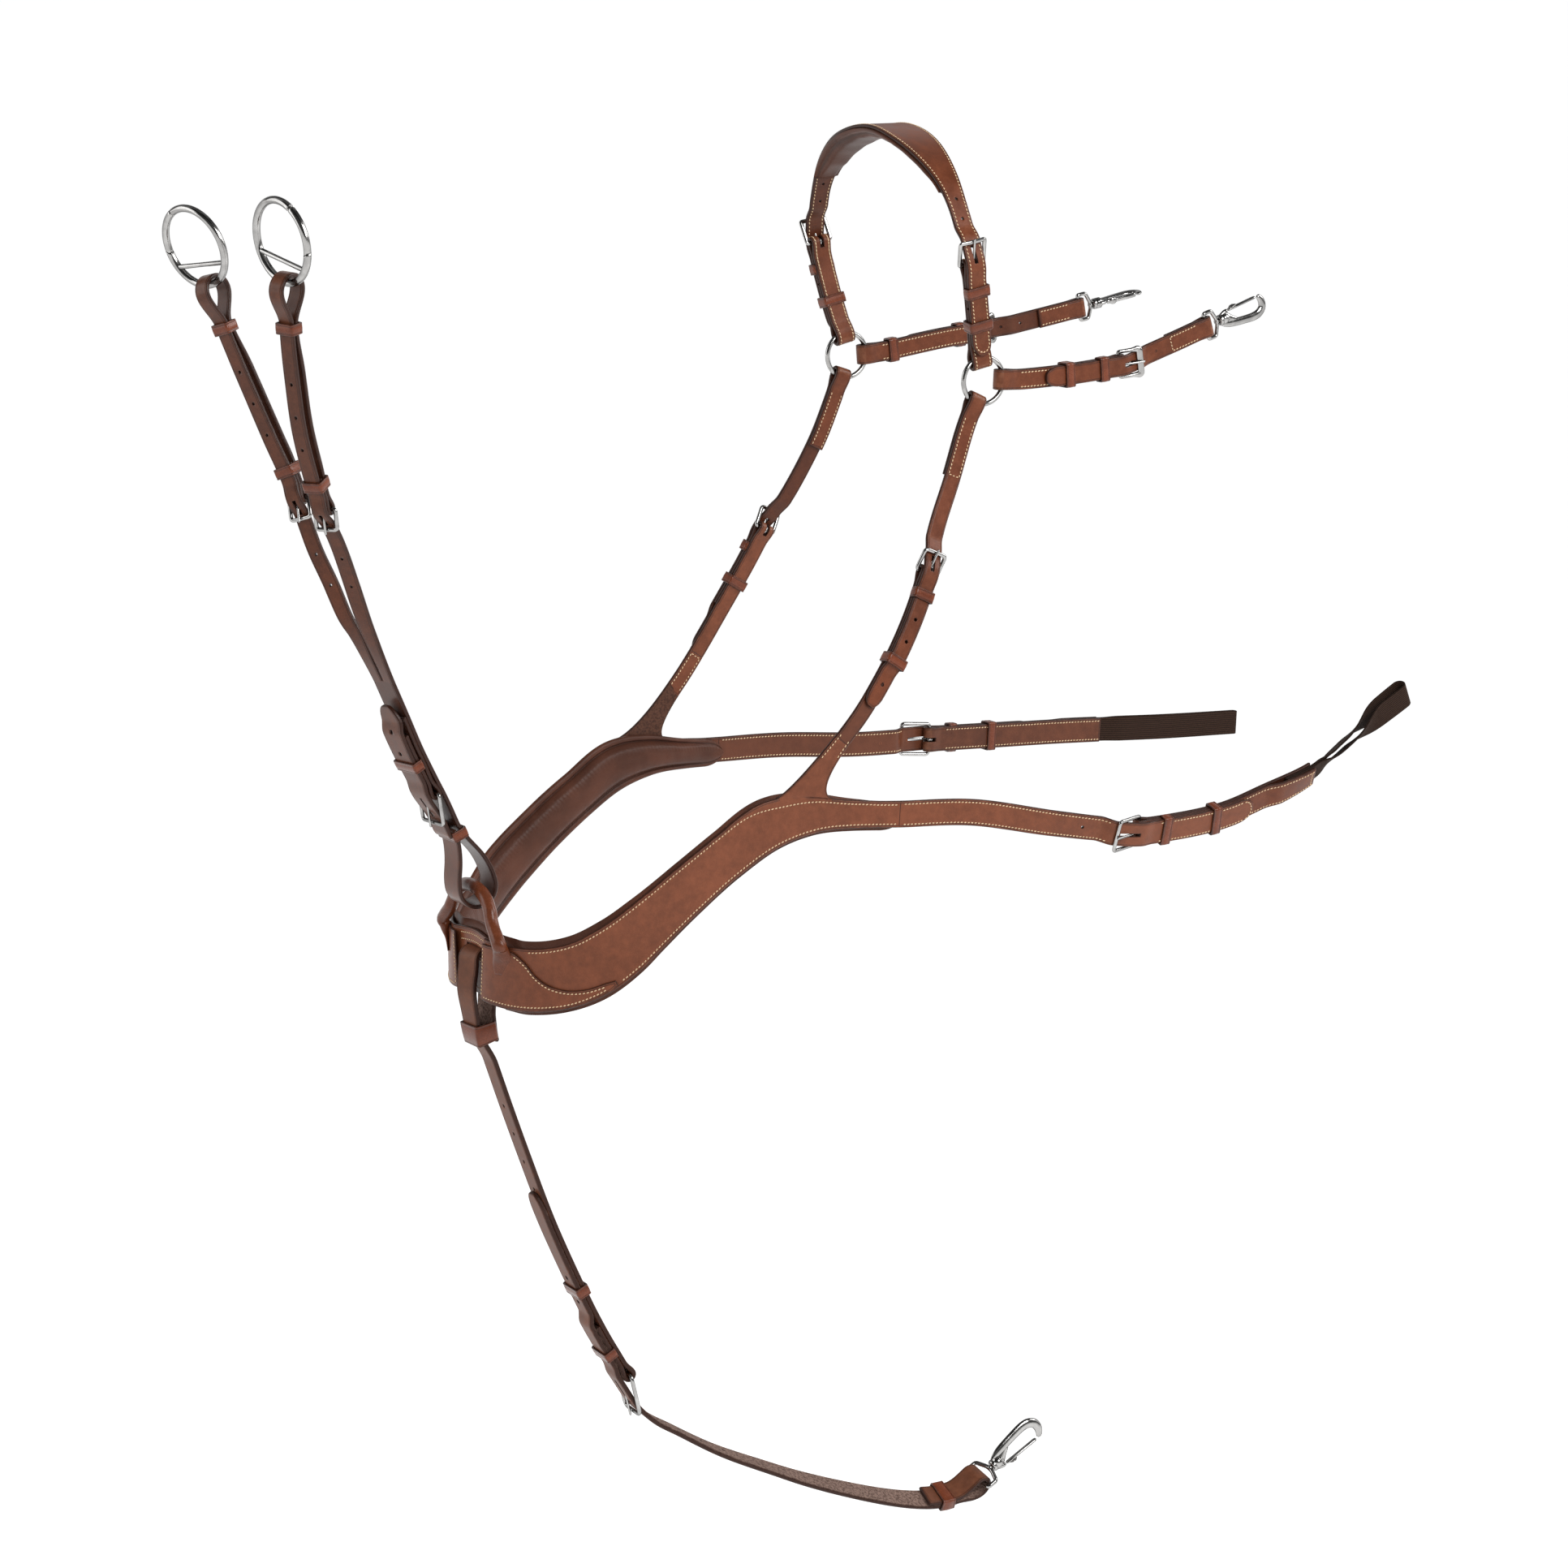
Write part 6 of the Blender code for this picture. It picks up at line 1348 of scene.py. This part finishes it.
def makeLiningPiece():
    st = liningSettings
    reach, leather = st["reach"], chestSettings["leather"]
    yokeMiddle = sum(chestSettings["yoke"]) / 2

    def spot(s, o, w):
        return chestLines["far" if s > 0 else "near"].at(np.full_like(o, abs(s)), o, w)

    def ease(x, length):
        return float(smooth(x / (length * mm)))

    def outline(s):
        # lower and upper edge, the side towards the leather, and the depth of the padding
        d = abs(s)
        low, high = (float(v) for v in between(panelEdges, max(d, 24 * mm)))
        low = st["neckLow"] + (low - 3 * mm - st["neckLow"]) * ease(d - 22 * mm, 30)
        rim = (6 - 3.5 * ease(d - 120 * mm, 130)) * mm
        high = st["neckHigh"] + (high + rim - st["neckHigh"]) * ease(d, 70)
        end = ease(reach - d, 90)
        high -= 4.5 * mm * (1 - end)
        point = 0.48 * (1 - math.sqrt(max(0.0, 1 - max(0.0, 1 - (reach - d) / (22 * mm)) ** 2)))
        low, high = low + (high - low) * point, high - (high - low) * point
        back = (leather + gap) * (1 - ease(d - 56 * mm, 24))
        back += 1.8 * mm * float(smooth(1 - abs(d - yokeMiddle) / (110 * mm)))
        return low, high, -leather / 2 - 1.5 * gap - back, 2.6 * mm + st["depth"] * end

    def wrinkles(s, side):
        rib = np.sin(s / (0.62 * mm) + 5 * side)
        fold = np.sin(s / (3.7 * mm) + 4 * side + 2 * math.sin(s / (21 * mm))) * np.sin(s / (9.1 * mm) - 3 * side)
        return (0.14 * rib * np.exp(-((side - 0.42) / 0.2) ** 2) + 0.3 * fold * np.exp(-(side / 0.6) ** 2)) * mm

    bumps = [(1.0, 0.14), (0.97, 0.3), (0.88, 0.4), (0.79, 0.34), (0.73, 0.2), (0.66, 0.42), (0.5, 0.82),
             (0.26, 0.98), (0, 1)]
    padded("chest_lining_soft", "chest_lining", spot, np.linspace(-reach, reach, 1150), bumps, outline, wrinkles)


makeLiningPiece()
print("lining made")


# Rolled front loop and the gussets at its feet

frontLoopSettings = {"roll": 6.2 * mm, "gusset": 2 * mm}
# station, height and way across on the panel, then half width and half thickness of the spreading foot, in mm
rollFoot = [(56, 3.2, 8, 10.2, 1.3), (56, 3.9, 14, 10.4, 2.1), (56, 5.2, 20, 9.4, 3.6), (55, 6.7, 26, 7.9, 5.0),
            (54, 8.2, 32, 6.8, 6.0)]
rollCrest = [(-437, 43, -696), (-436, 36, -684), (-435.5, 27, -675), (-435.5, 14, -669.5)]


def makeFrontLoop():
    roll, thick = frontLoopSettings["roll"], frontLoopSettings["gusset"]
    height = chestSettings["leather"] / 2 + gap + thick / 2
    feet = {}
    for side, line in chestLines.items():
        feet[side] = [(*line.at(s * mm, o * mm, w * mm), half * mm, low * mm)
                      for s, o, w, half, low in [(56, height / mm, 2, 8.8, 0.7)] + rollFoot]
    crest = [(x * mm, sign * y * mm, z * mm, roll, roll) for sign, part in
             ((-1, rollCrest), (1, [(-435.5, 0.0, -668)] + rollCrest[::-1])) for x, y, z in part]
    run = splined(np.array(feet["near"] + crest + feet["far"][::-1]), 1.6 * mm)
    spots, half, low = run[:, :3], run[:, 3], run[:, 4]
    d = travelled(spots)
    radius = half * (1 + 0.012 * np.sin(d / (4.1 * mm)) + 0.01 * np.sin(d / (1.9 * mm)))
    out = np.stack([np.full(len(run), -0.8), 0.6 * np.clip(run[:, 1] / (43 * mm), -1, 1), np.zeros(len(run))], -1)
    verts, faces = tube(spots, radius, 26, flat=low / half, up=out)
    piece = newPiece("front_loop_roll", verts, faces, rollLeather, plain(len(verts), 6.0))
    handIn(piece, "collar", "chestnut_leather", "front_loop")
    rows = []
    for side, line in chestLines.items():
        hide = Hide(line, lay((26 * mm, height), (157 * mm, height)), thick,
                    edges=lambda s: between(gussetEdges, s), round=0.8, crease=1.7, groove=0.18)
        leatherPiece(hide, side + "_gusset_leather", chestLeather, "collar", middle=9)
        rows.append(stitchAlong(hide, hide.find(30 * mm, height), hide.find(148 * mm, height),
                                lambda s: between(gussetEdges, s)[0] + 3.4 * mm))
        rows.append(stitchAlong(hide, hide.find(67 * mm, height), hide.find(146 * mm, height),
                                lambda s: between(gussetEdges, s)[1] - 3.2 * mm))
        rows.append(stitchAcross(hide, hide.find(29.5 * mm, height), -24 * mm, 22 * mm, 3.6 * mm))
    sew("gusset_stitching", "collar", rows)


makeFrontLoop()
print("front loop made")


# Ends of the girth straps: short chape, keeper and a loop of elastic webbing; slit is half of its opening

girthSettings = {
    "near": {"looseKeeper": 817 * mm, "bend": 6.2 * mm, "reach": 70 * mm, "slit": 3.2 * mm, "chape": strapLeather},
    # the far chape is cut from the darker arm leather: painted shade, as that strap turns away from the light
    "far": {"looseKeeper": 805 * mm, "bend": 3.4 * mm, "reach": 46 * mm, "slit": 5 * mm, "chape": armLeather}}


def makeGirthEnd(side):
    st, own = chestSettings, girthSettings[side]
    line, buckle = chestLines[side], girths[side]
    name, width, thick, web, end = side + "_girth", st["girthWidth"], st["leather"], st["webbing"], st["chapeEnd"]
    buckle.make(name + "_buckle", "collar")
    inner = thick / 2 + gap + web / 2
    outer = inner + web + gap
    lifted = outer + web / 2 + gap + thick / 2
    path = joined(buckle.chapeIn(end), buckle.fold(), buckle.chapeOut(end - 62 * mm),
                  lay((end - 62 * mm, buckle.pitch), (end - 40 * mm, lifted), (end, lifted)))
    hide = Hide(line, path, thick, width, lined=0.45)
    leatherPiece(hide, name + "_chape_leather", own["chape"], "collar", name + "_chape", holes=buckle.slotParts())
    sewnKeeper(name + "_keeper", buckle, st["girthKeeper"], "collar")
    rows = []
    for sA, oA, sB, oB in ((buckle.heel + 17 * mm, buckle.pitch, end - 1.5 * mm, lifted),
                           (end - 2 * mm, 0.0, buckle.heel + 17 * mm, 0.0)):
        uA, uB = hide.find(sA, oA), hide.find(sB, oB)
        rows += [stitchAlong(hide, uA, uB, sign * (width / 2 - 3 * mm)) for sign in (-1, 1)]
    rows += barStitches(hide, end - 4 * mm, lifted, width / 2) + [foldStitch(buckle, hide)]
    looseKeeper(name + "_loose_keeper", "collar", line, own["looseKeeper"], -thick / 2,
                2 * buckle.pitch + thick / 2, width)
    sew(name + "_stitching", "collar", rows)
    middle, bend, slit = (inner + outer) / 2, own["bend"], own["slit"]
    turned, narrow = line.length - bend - 0.6 * mm, end + 0.6 * own["reach"]
    loop = joined(
        lay((end - 34 * mm, inner), (end + 4 * mm, inner), (narrow, middle - slit), (turned, middle - bend)),
        turn(turned, middle, bend, -90, 90),
        lay((turned, middle + bend), (narrow, middle + slit), (end + 4 * mm, outer), (end - 34 * mm, outer)))
    piece = Hide(line, loop, web, width - 0.6 * mm, round=0.7, groove=0.0).build(name + "_elastic", webbing, 17)
    handIn(piece, "collar", "elastic_webbing", name + "_loop")


makeGirthEnd("near")
makeGirthEnd("far")
print("girth ends made")


# Belly strap: chape through the bridge, billet, and the snap for the girth

bellySettings = {"leather": 4.6 * mm, "width": 25 * mm, "heel": 455 * mm, "topKeeper": 72 * mm,
                 "fixedKeeper": 425 * mm, "looseKeeper": 352 * mm, "tip": 242 * mm, "sewn": 62 * mm,
                 "snap": 1.18, "snapRoll": 150}
bellyPoints = [(-432.3, 0, -733), (-432, 0, -770), (-428, 0, -807), (-411, 0, -861), (-385, 0, -935),
               (-361, 0, -999), (-331, 0, -1067), (-314, 0, -1102), (-298, 0, -1131), (-277, 0, -1165),
               (-250, 0, -1196), (-222, 0, -1217), (-177, 0, -1251), (-131, 0, -1280), (-86, 0, -1305),
               (-31, 0, -1328), (17, 0, -1345), (54, 0, -1354), (80, 0, -1355), (104, 0, -1350), (122, 0, -1341)]


def makeBelly():
    st = bellySettings
    body, width, thick, heel = "belly_strap", st["width"], st["leather"], st["heel"]
    line = StrapLine(bellyPoints, alongY, -1, acrossEnd=(0, 0.91, 0.42), late=3, acrossStart=(-0.27, 0.963, 0),
                     settle=105 * mm)
    buckle = Buckle(line, heel, -1, thick, width, 42 * mm, wire=2.1 * mm)
    buckle.make("belly_buckle", body, corner=7.0)
    bend, top = 9.6 * mm, 3.5 * mm  # the loop through the bridge
    path = joined(
        lay((84 * mm, -7.5 * mm), (60 * mm, -8.6 * mm), (30 * mm, -12 * mm), (top, -bend)),
        turn(top, 0, bend, -90, -270, 28),
        lay((top, bend), (30 * mm, 12 * mm), (62 * mm, 8.6 * mm), (104 * mm, 0)),
        buckle.chapeIn(104 * mm), buckle.fold(), buckle.chapeOut(heel - st["sewn"]))
    hide = Hide(line, path, thick, width, round=1.4, lined=1.0)
    holes = buckle.slotParts() + drills(line, [(150 + 30 * k) * mm for k in range(5)], 0.0, 1.7 * mm, 4 * mm)
    leatherPiece(hide, "belly_chape_leather", bellyLeather, body, "belly_chape", holes=holes)
    sewnKeeper("belly_keeper", buckle, st["fixedKeeper"], body)
    room = gap + keeperSettings["leather"] / 2
    makeBand("belly_top_keeper", body, line, st["topKeeper"], -7.6 * mm, 8.6 * mm + thick / 2 + room,
             width / 2 + room, 19 * mm, 2.4 * mm)
    bend = 10.5 * mm  # the loop that holds the snap
    centre = line.length - bend - thick / 2
    barS = centre + bend - thick / 2 - gap - snapSettings["wire"] * st["snap"]
    middle = -buckle.pitch / 2
    path = joined(
        lay((centre - 62 * mm, -buckle.pitch), (centre - 28 * mm, -buckle.pitch), (centre, middle - bend)),
        turn(centre, middle, bend, -90, 90),
        lay((centre, middle + bend), (centre - 28 * mm, 0)),
        buckle.billet(centre - 28 * mm, 0, heel - st["sewn"], st["tip"], ease=230 * mm))
    heights = np.array(sorted(spot for spot in path[40:] if heel + 20 * mm < spot[0] < centre))
    billet = Hide(line, path, thick, width, (False, True), round=1.4, lined=1.0)
    holes = buckle.holeParts()
    for s in [heel + (62 + 28 * k) * mm for k in range(4)]:
        holes += drills(line, [s], np.interp(s, *heights.T), 1.7 * mm, 4 * mm)
    holes += drills(line, [heel - (62 + 28 * k) * mm for k in range(3)], buckle.pitch, 2.3 * mm, 3.5 * mm)
    leatherPiece(billet, "belly_billet_leather", bellyLeather, body, "belly_billet", holes=holes)
    looseKeeper("belly_loose_keeper", body, line, st["looseKeeper"], -thick / 2, buckle.pitch + thick / 2, width,
                11 * mm)
    looseKeeper("belly_end_keeper", body, line, centre - 40 * mm, -buckle.pitch - thick / 2, thick / 2, width,
                15 * mm)
    rows = edgeStitches(hide, heel - st["sewn"] + 2 * mm, heel - 17 * mm, buckle.pitch, width / 2)
    rows += [foldStitch(buckle, hide, 15.5 * mm, 0.75)]
    rows += edgeStitches(billet, centre - 30 * mm, centre - 60 * mm, 0.0, width / 2)
    sew("belly_stitching", body, rows + barStitches(billet, centre - 29 * mm, 0.0, width / 2))
    makeSnap("belly_snap", line, barS, middle, math.radians(st["snapRoll"]), width, st["snap"])


makeBelly()
print("belly strap made")


# Martingale fork: stem in the front loop, two arms round the rings

forkSettings = {"leather": 3.7 * mm, "arm": 15.4 * mm, "gap": 0.6 * mm, "stemHeel": 104 * mm,
                "stemKeeper": 136 * mm, "looseKeeper": 58 * mm, "stemTip": 196 * mm, "stemChape": 62 * mm,
                "armHeel": {"near": 186 * mm, "far": 178 * mm}}
forkTwist = {"stem": (-0.17, 0.985, 0), "arm": (-0.7, 0.7, 0), "loop": (-0.42, 0.91, 0)}
stemPoints = [(-436, 0, -670), (-441, 0, -645), (-450, 0, -621), (-460, 0, -598), (-469, 0, -579),
              (-479, 0, -560), (-493, 0, -532), (-506, 0, -502), (-519, 0, -472)]
nearArm = [(-517.6, 7.9, -472), (-536, 11.5, -431), (-547, 17, -408), (-561, 26, -376), (-575, 35, -345),
           (-591, 43, -313), (-601, 49, -289), (-611, 55, -261), (-620, 61, -232), (-627, 67, -200),
           (-635, 75, -155), (-640, 82, -97)]
farArm = [(-520.4, 7.9, -472), (-529.5, 9, -453), (-540, 12, -430), (-548, 18, -413), (-557, 27, -384),
          (-567, 35, -356), (-574, 42, -329), (-583, 49, -292), (-596, 57, -256), (-609, 63, -221),
          (-622, 70, -185), (-634, 75, -150), (-643, 80, -112)]
# angles in degrees: how each ring lies in its strap, and where its gate starts and ends
martingaleSettings = {"radius": 35.6 * mm, "wire": 3.4 * mm, "bar": 19 * mm, "gate": (22, 92), "seam": 1.2,
                      "lie": {"near": (4, -12, 8), "far": (8, -18, 6)}}


def makeStem():
    st = forkSettings
    t, width, heel = st["leather"], 2 * st["arm"] + st["gap"], st["stemHeel"]
    chapeEnd = heel + st["stemChape"]
    stem = StrapLine(stemPoints, alongY, 1, acrossEnd=forkTwist["stem"])
    buckle = Buckle(stem, heel, 1, t, width, 29 * mm, base=t + 3 * gap)
    buckle.make("stem_buckle", "fork")
    bend, centre, lifted = 18 * mm, 3 * mm, t + 1.5 * mm
    path = joined(
        list(reversed(buckle.billet(62 * mm, lifted, chapeEnd, st["stemTip"]))),
        lay((62 * mm, lifted), (centre, bend)), turn(centre, 0, bend, 90, 270, 32),
        lay((centre, -bend), (70 * mm, 0), (stem.length + 1.5 * mm, 0)))
    hide = Hide(stem, path, t, width, (True, False), round=1.2, square=(False, True))
    holes = buckle.holeParts() + drills(stem, [heel + (45 + 22 * k) * mm for k in range(2)], buckle.top, 2.2 * mm)
    leatherPiece(hide, "stem_leather", armLeather, "fork", "martingale_fork", holes=holes, middle=11)
    base = t - 0.4 * mm
    path = joined(
        lay((chapeEnd + 16 * mm, base), (heel + 34 * mm, base), (heel + ramp, buckle.base),
            (heel, buckle.bar - buckle.turnRadius)),
        buckle.fold(), buckle.chapeOut(chapeEnd))
    chape = Hide(stem, path, t, width - 1.4 * mm)
    leatherPiece(chape, "stem_chape_leather", armLeather, "fork", holes=buckle.slotParts(0.27 * mm))
    sewnKeeper("stem_keeper", buckle, st["stemKeeper"], "fork")
    looseKeeper("stem_loose_keeper", "fork", stem, st["looseKeeper"], -1.2 * mm - t / 2, 6.2 * mm + t / 2, width)
    return edgeStitches(chape, heel + 16 * mm, chapeEnd - 2 * mm, buckle.sewn, width / 2 - 0.7 * mm)


def makeArm(side, sign, route):
    st = forkSettings
    t, width, heel = st["leather"], st["arm"], st["armHeel"][side]
    arm = StrapLine([(x, sign * y, z) for x, y, z in route], forkTwist["arm"], 1, acrossEnd=forkTwist["loop"],
                    acrossStart=forkTwist["stem"], settle=95 * mm)
    buckle = Buckle(arm, heel, 1, t, width, 19 * mm, base=-(t + gap), roomy=3.4 * mm)
    buckle.make(side + "_arm_buckle", "fork")
    bend = 13.5 * mm
    top, base, pitch = arm.length - bend - t / 2, buckle.base, buckle.pitch
    rise = lay((-1.5 * mm, 0), (buckle.frontS - 14 * mm, 0), (buckle.frontS, buckle.under),
               (heel, buckle.over), (heel + ramp / 4, buckle.over), (heel + ramp * 1.25, buckle.top),
               (heel + 40 * mm, buckle.top), (top - 30 * mm, 0.6 * pitch), (top, bend))
    fall = lay((top, -bend), (top - 30 * mm, -0.6 * pitch), (top - 75 * mm, base - 2 * mm),
               (heel + 45 * mm, base - 2 * mm), (heel + ramp, base), (heel, buckle.bar - buckle.turnRadius))
    path = joined(rise, turn(top, 0, bend, 90, -90, 28), fall, buckle.fold(), buckle.chapeOut(heel + 32 * mm))
    hide = Hide(arm, path, t, width, round=1.2, crease=1.8, square=(True, False))
    holes = buckle.holeParts() + buckle.slotParts()
    holes += drills(arm, [heel + (32 + 30 * k) * mm for k in range(4)], 0.3 * mm, 1.4 * mm, 5.5 * mm)
    holes += drills(arm, [heel - (52 + 30 * k) * mm for k in range(2)], 0.0, 1.3 * mm)
    leatherPiece(hide, side + "_arm_leather", armLeather, "fork", holes=holes)
    looseKeeper(side + "_arm_keeper", "fork", arm, heel + 26 * mm, base - 1.0 * mm - t / 2, buckle.top + t / 2,
                width)
    looseKeeper(side + "_arm_top_keeper", "fork", arm, top - 33 * mm, -0.85 * pitch - t / 2,
                0.85 * pitch + t / 2, width)
    makeMartingaleRing(side, sign, arm, top + bend - t / 2)
    return edgeStitches(hide, heel + 15 * mm, heel + 30.5 * mm, buckle.sewn, width / 2)


def spin(axis, angle):
    return np.array(Matrix.Rotation(math.radians(angle), 3, axis))


def makeMartingaleRing(side, sign, arm, inside):
    st = martingaleSettings
    radius, wire, width = st["radius"], st["wire"], forkSettings["arm"]
    sag = radius - math.sqrt(radius * radius - width * width / 4) + 3 * gap
    wireS = np.array(inside - wire - gap - sag)
    along = arm.axes(wireS)[0]
    across = unit(alongY - along * (along @ alongY))
    lean, skew, roll = st["lie"][side]
    turned = np.array([along, -np.cross(across, along), across]).T @ spin("Z", lean) @ spin("X", skew)
    origin = arm.point(wireS) + turned @ np.array([radius, 0, 0])
    turned = turned @ spin("Y", roll)
    gateFrom, gateTo = (math.radians(v) for v in st["gate"])
    seam = math.radians(st["seam"])
    slope = math.tan((gateTo - gateFrom) / 2)

    def rod(angles, radii, startLean, endLean):
        # ring sections; those at either end can be slanted so that the gate slides along its seam
        leans = np.zeros(len(angles))
        leans[:2], leans[-2:] = (startLean, startLean * 0.96), (endLean * 0.96, endLean)
        ring = np.arange(22) * math.tau / 22
        verts = []
        for a, q, lean in zip(angles, radii, leans):
            inward = q * np.cos(ring)
            slanted, reach = a + lean * inward / radius, radius - inward
            local = np.stack([reach * np.cos(slanted), q * np.sin(ring), sign * reach * np.sin(slanted)], -1)
            verts.append(origin + local @ turned.T)
        return np.vstack(verts), gridFaces(len(angles), 22) + endFaces(len(angles), 22)

    low, high = gateTo + seam, math.tau + gateFrom - seam
    angles = np.concatenate([[low, low + 0.004], np.linspace(low + 0.02, high - 0.02, 110), [high - 0.004, high]])
    radii = np.full(len(angles), wire)
    radii[[0, -1]] = wire - 0.25 * mm
    x = st["bar"] - radius
    reach = math.sqrt(radius ** 2 - x ** 2)
    ends = np.array([(x, 0, z * reach) for z in (-1, -0.93, 0, 0.93, 1)])
    bar = tube(origin + ends @ turned.T, np.array([2.6, 2.2, 2.1, 2.2, 2.6]) * mm, 18)
    name = side + "_martingale_ring"
    steelPiece(name, name, [rod(angles, radii, slope, 0.0), bar])
    angles = np.concatenate([gateFrom + np.array([0, 0.012, 0.03]), np.linspace(gateFrom + 0.05, gateTo - 0.03, 30),
                             [gateTo - 0.004, gateTo]])
    radii = np.concatenate([[1.6, 2.3, 2.8], np.full(31, 3.3), [3.1]]) * mm
    steelPiece(side + "_ring_gate", side + "_ring_gate", [rod(angles, radii, 0.0, slope)])


forkStitches = makeStem() + makeArm("near", -1, nearArm) + makeArm("far", 1, farArm)
sew("fork_stitching", "fork", forkStitches)
print("fork and rings made")


# Floor, light and camera

# lamps: place, size and power of each; scale is what one pixel of the frame shows at the origin's depth
stageSettings = {"floor": -1.82, "size": 60.0, "world": 0.8, "aim": (-0.05, 0, -0.65),
                 "lamps": {"key": ((0.5, -3.0, 1.3), 1.6, 62.0), "fill": ((-2.8, 1.2, 0.3), 1.8, 16.0),
                           "rim": ((2.4, -1.0, 1.2), 1.4, 26.0)}}
cameraSettings = {"lens": 100, "sensor": 36, "azimuth": -30, "elevation": 12, "frame": 1932, "scale": 0.75 * mm,
                  "originAt": (1092, 157)}


def makeFloor():
    mesh = bpy.data.meshes.new("studio_floor")
    size = stageSettings["size"]
    mesh.from_pydata([(-size, -size, 0), (size, -size, 0), (size, size, 0), (-size, size, 0)], [], [(0, 1, 2, 3)])
    floor = bpy.data.objects.new("studio_floor", mesh)
    floor.location = (0, 0, stageSettings["floor"])
    bpy.context.scene.collection.objects.link(floor)
    made, n, shader = newMaterial("studioFloor")
    tree = made.node_tree
    tree.nodes.remove(shader)
    glow = n.add("ShaderNodeEmission", None, Color=(1, 1, 1, 1), Strength=0.76).outputs[0]
    seen = n.add("ShaderNodeAddShader", None, i0=n.diffuse(0.62), i1=glow).outputs[0]
    path = n.add("ShaderNodeLightPath").outputs
    share = n.plus(n.plus(path["Is Camera Ray"], path["Is Glossy Ray"]), path["Is Transmission Ray"], clamp=True)
    n.fill(tree.nodes["Material Output"], Surface=n.mixed(share, n.diffuse(0.8), seen))
    mesh.materials.append(made)


def makeWorld():
    world = bpy.data.worlds.new("studio")
    bpy.context.scene.world = world
    world.use_nodes = True
    tree = world.node_tree
    n = Nodes(tree)
    x, y, z = n.add("ShaderNodeSeparateXYZ", None, i0=n.coordinates("Generated")).outputs
    sky = n.add("ShaderNodeValToRGB", None, i0=n.math("MULTIPLY_ADD", z, 0.5, 0.5))
    stops = sky.color_ramp.elements
    for k, level in ((0, 0.5), (1, 0.25)):
        stops[k].position, stops[k].color = k, (level, level, level, 1)
    for position, level in ((0.44, 0.75), (0.52, 1.0), (0.7, 0.95), (0.86, 0.3)):
        stops.new(position).color = (level, level, level, 1)
    path = n.add("ShaderNodeLightPath").outputs
    white = n.fill(tree.nodes["Background"], Color=(1, 1, 1, 1), Strength=1.0).outputs[0]
    soft = n.background(sky.outputs[0], stageSettings["world"])
    # what metal and polish show: white around, dark above and on the side that the photo was taken from
    front = n.plus(n.times(x, -0.489), n.plus(n.times(y, -0.847), n.times(z, 0.208)))
    bands = n.math("SINE", n.plus(n.times(n.math("ARCTAN2", y, x), 4.0), n.times(z, 7.0)))
    level = n.times(n.steps(front, 0.1, 0.62, 1.0, 0.12), n.steps(z, 0.42, 0.75, 1.0, 0.2))
    level = n.times(level, n.steps(bands, -0.35, 0.3, 0.2, 1.0))
    lit = n.mixed(path["Is Glossy Ray"], soft, n.background(n.grey(level), 1.0))
    seen = n.plus(path["Is Camera Ray"], path["Is Transmission Ray"], clamp=True)
    n.fill(tree.nodes["World Output"], Surface=n.mixed(seen, lit, white))


def makeLights():
    aim = Vector(stageSettings["aim"])
    for name, (spot, size, power) in stageSettings["lamps"].items():
        lamp = bpy.data.lights.new(name, "AREA")
        lamp.energy, lamp.size = power, size
        light = bpy.data.objects.new(name + "_light", lamp)
        light.location = spot
        light.rotation_euler = (aim - Vector(spot)).to_track_quat("-Z", "Y").to_euler()
        bpy.context.scene.collection.objects.link(light)


def makeCamera():
    st = cameraSettings
    lens = bpy.data.cameras.new("view")
    lens.lens, lens.sensor_width = st["lens"], st["sensor"]
    lens.clip_end = 200
    camera = bpy.data.objects.new("view", lens)
    a, e = math.radians(st["azimuth"]), math.radians(st["elevation"])
    back = np.array([math.sin(a) * math.cos(e), -math.cos(a) * math.cos(e), math.sin(e)])
    right = np.array([math.cos(a), math.sin(a), 0.0])
    up = np.cross(back, right)
    middle, scale = st["frame"] / 2, st["scale"]
    x, y = st["originAt"]
    depth = st["frame"] * st["lens"] / st["sensor"] * scale
    spot = back * depth - right * (x - middle) * scale - up * (middle - y) * scale
    turned = Matrix(np.column_stack([right, up, back]).tolist()).to_4x4()
    camera.matrix_world = Matrix.Translation(spot.tolist()) @ turned
    bpy.context.scene.collection.objects.link(camera)
    bpy.context.scene.camera = camera


makeFloor()
makeWorld()
makeLights()
makeCamera()
bpy.context.scene.view_settings.view_transform = "Standard"
print("stage made")
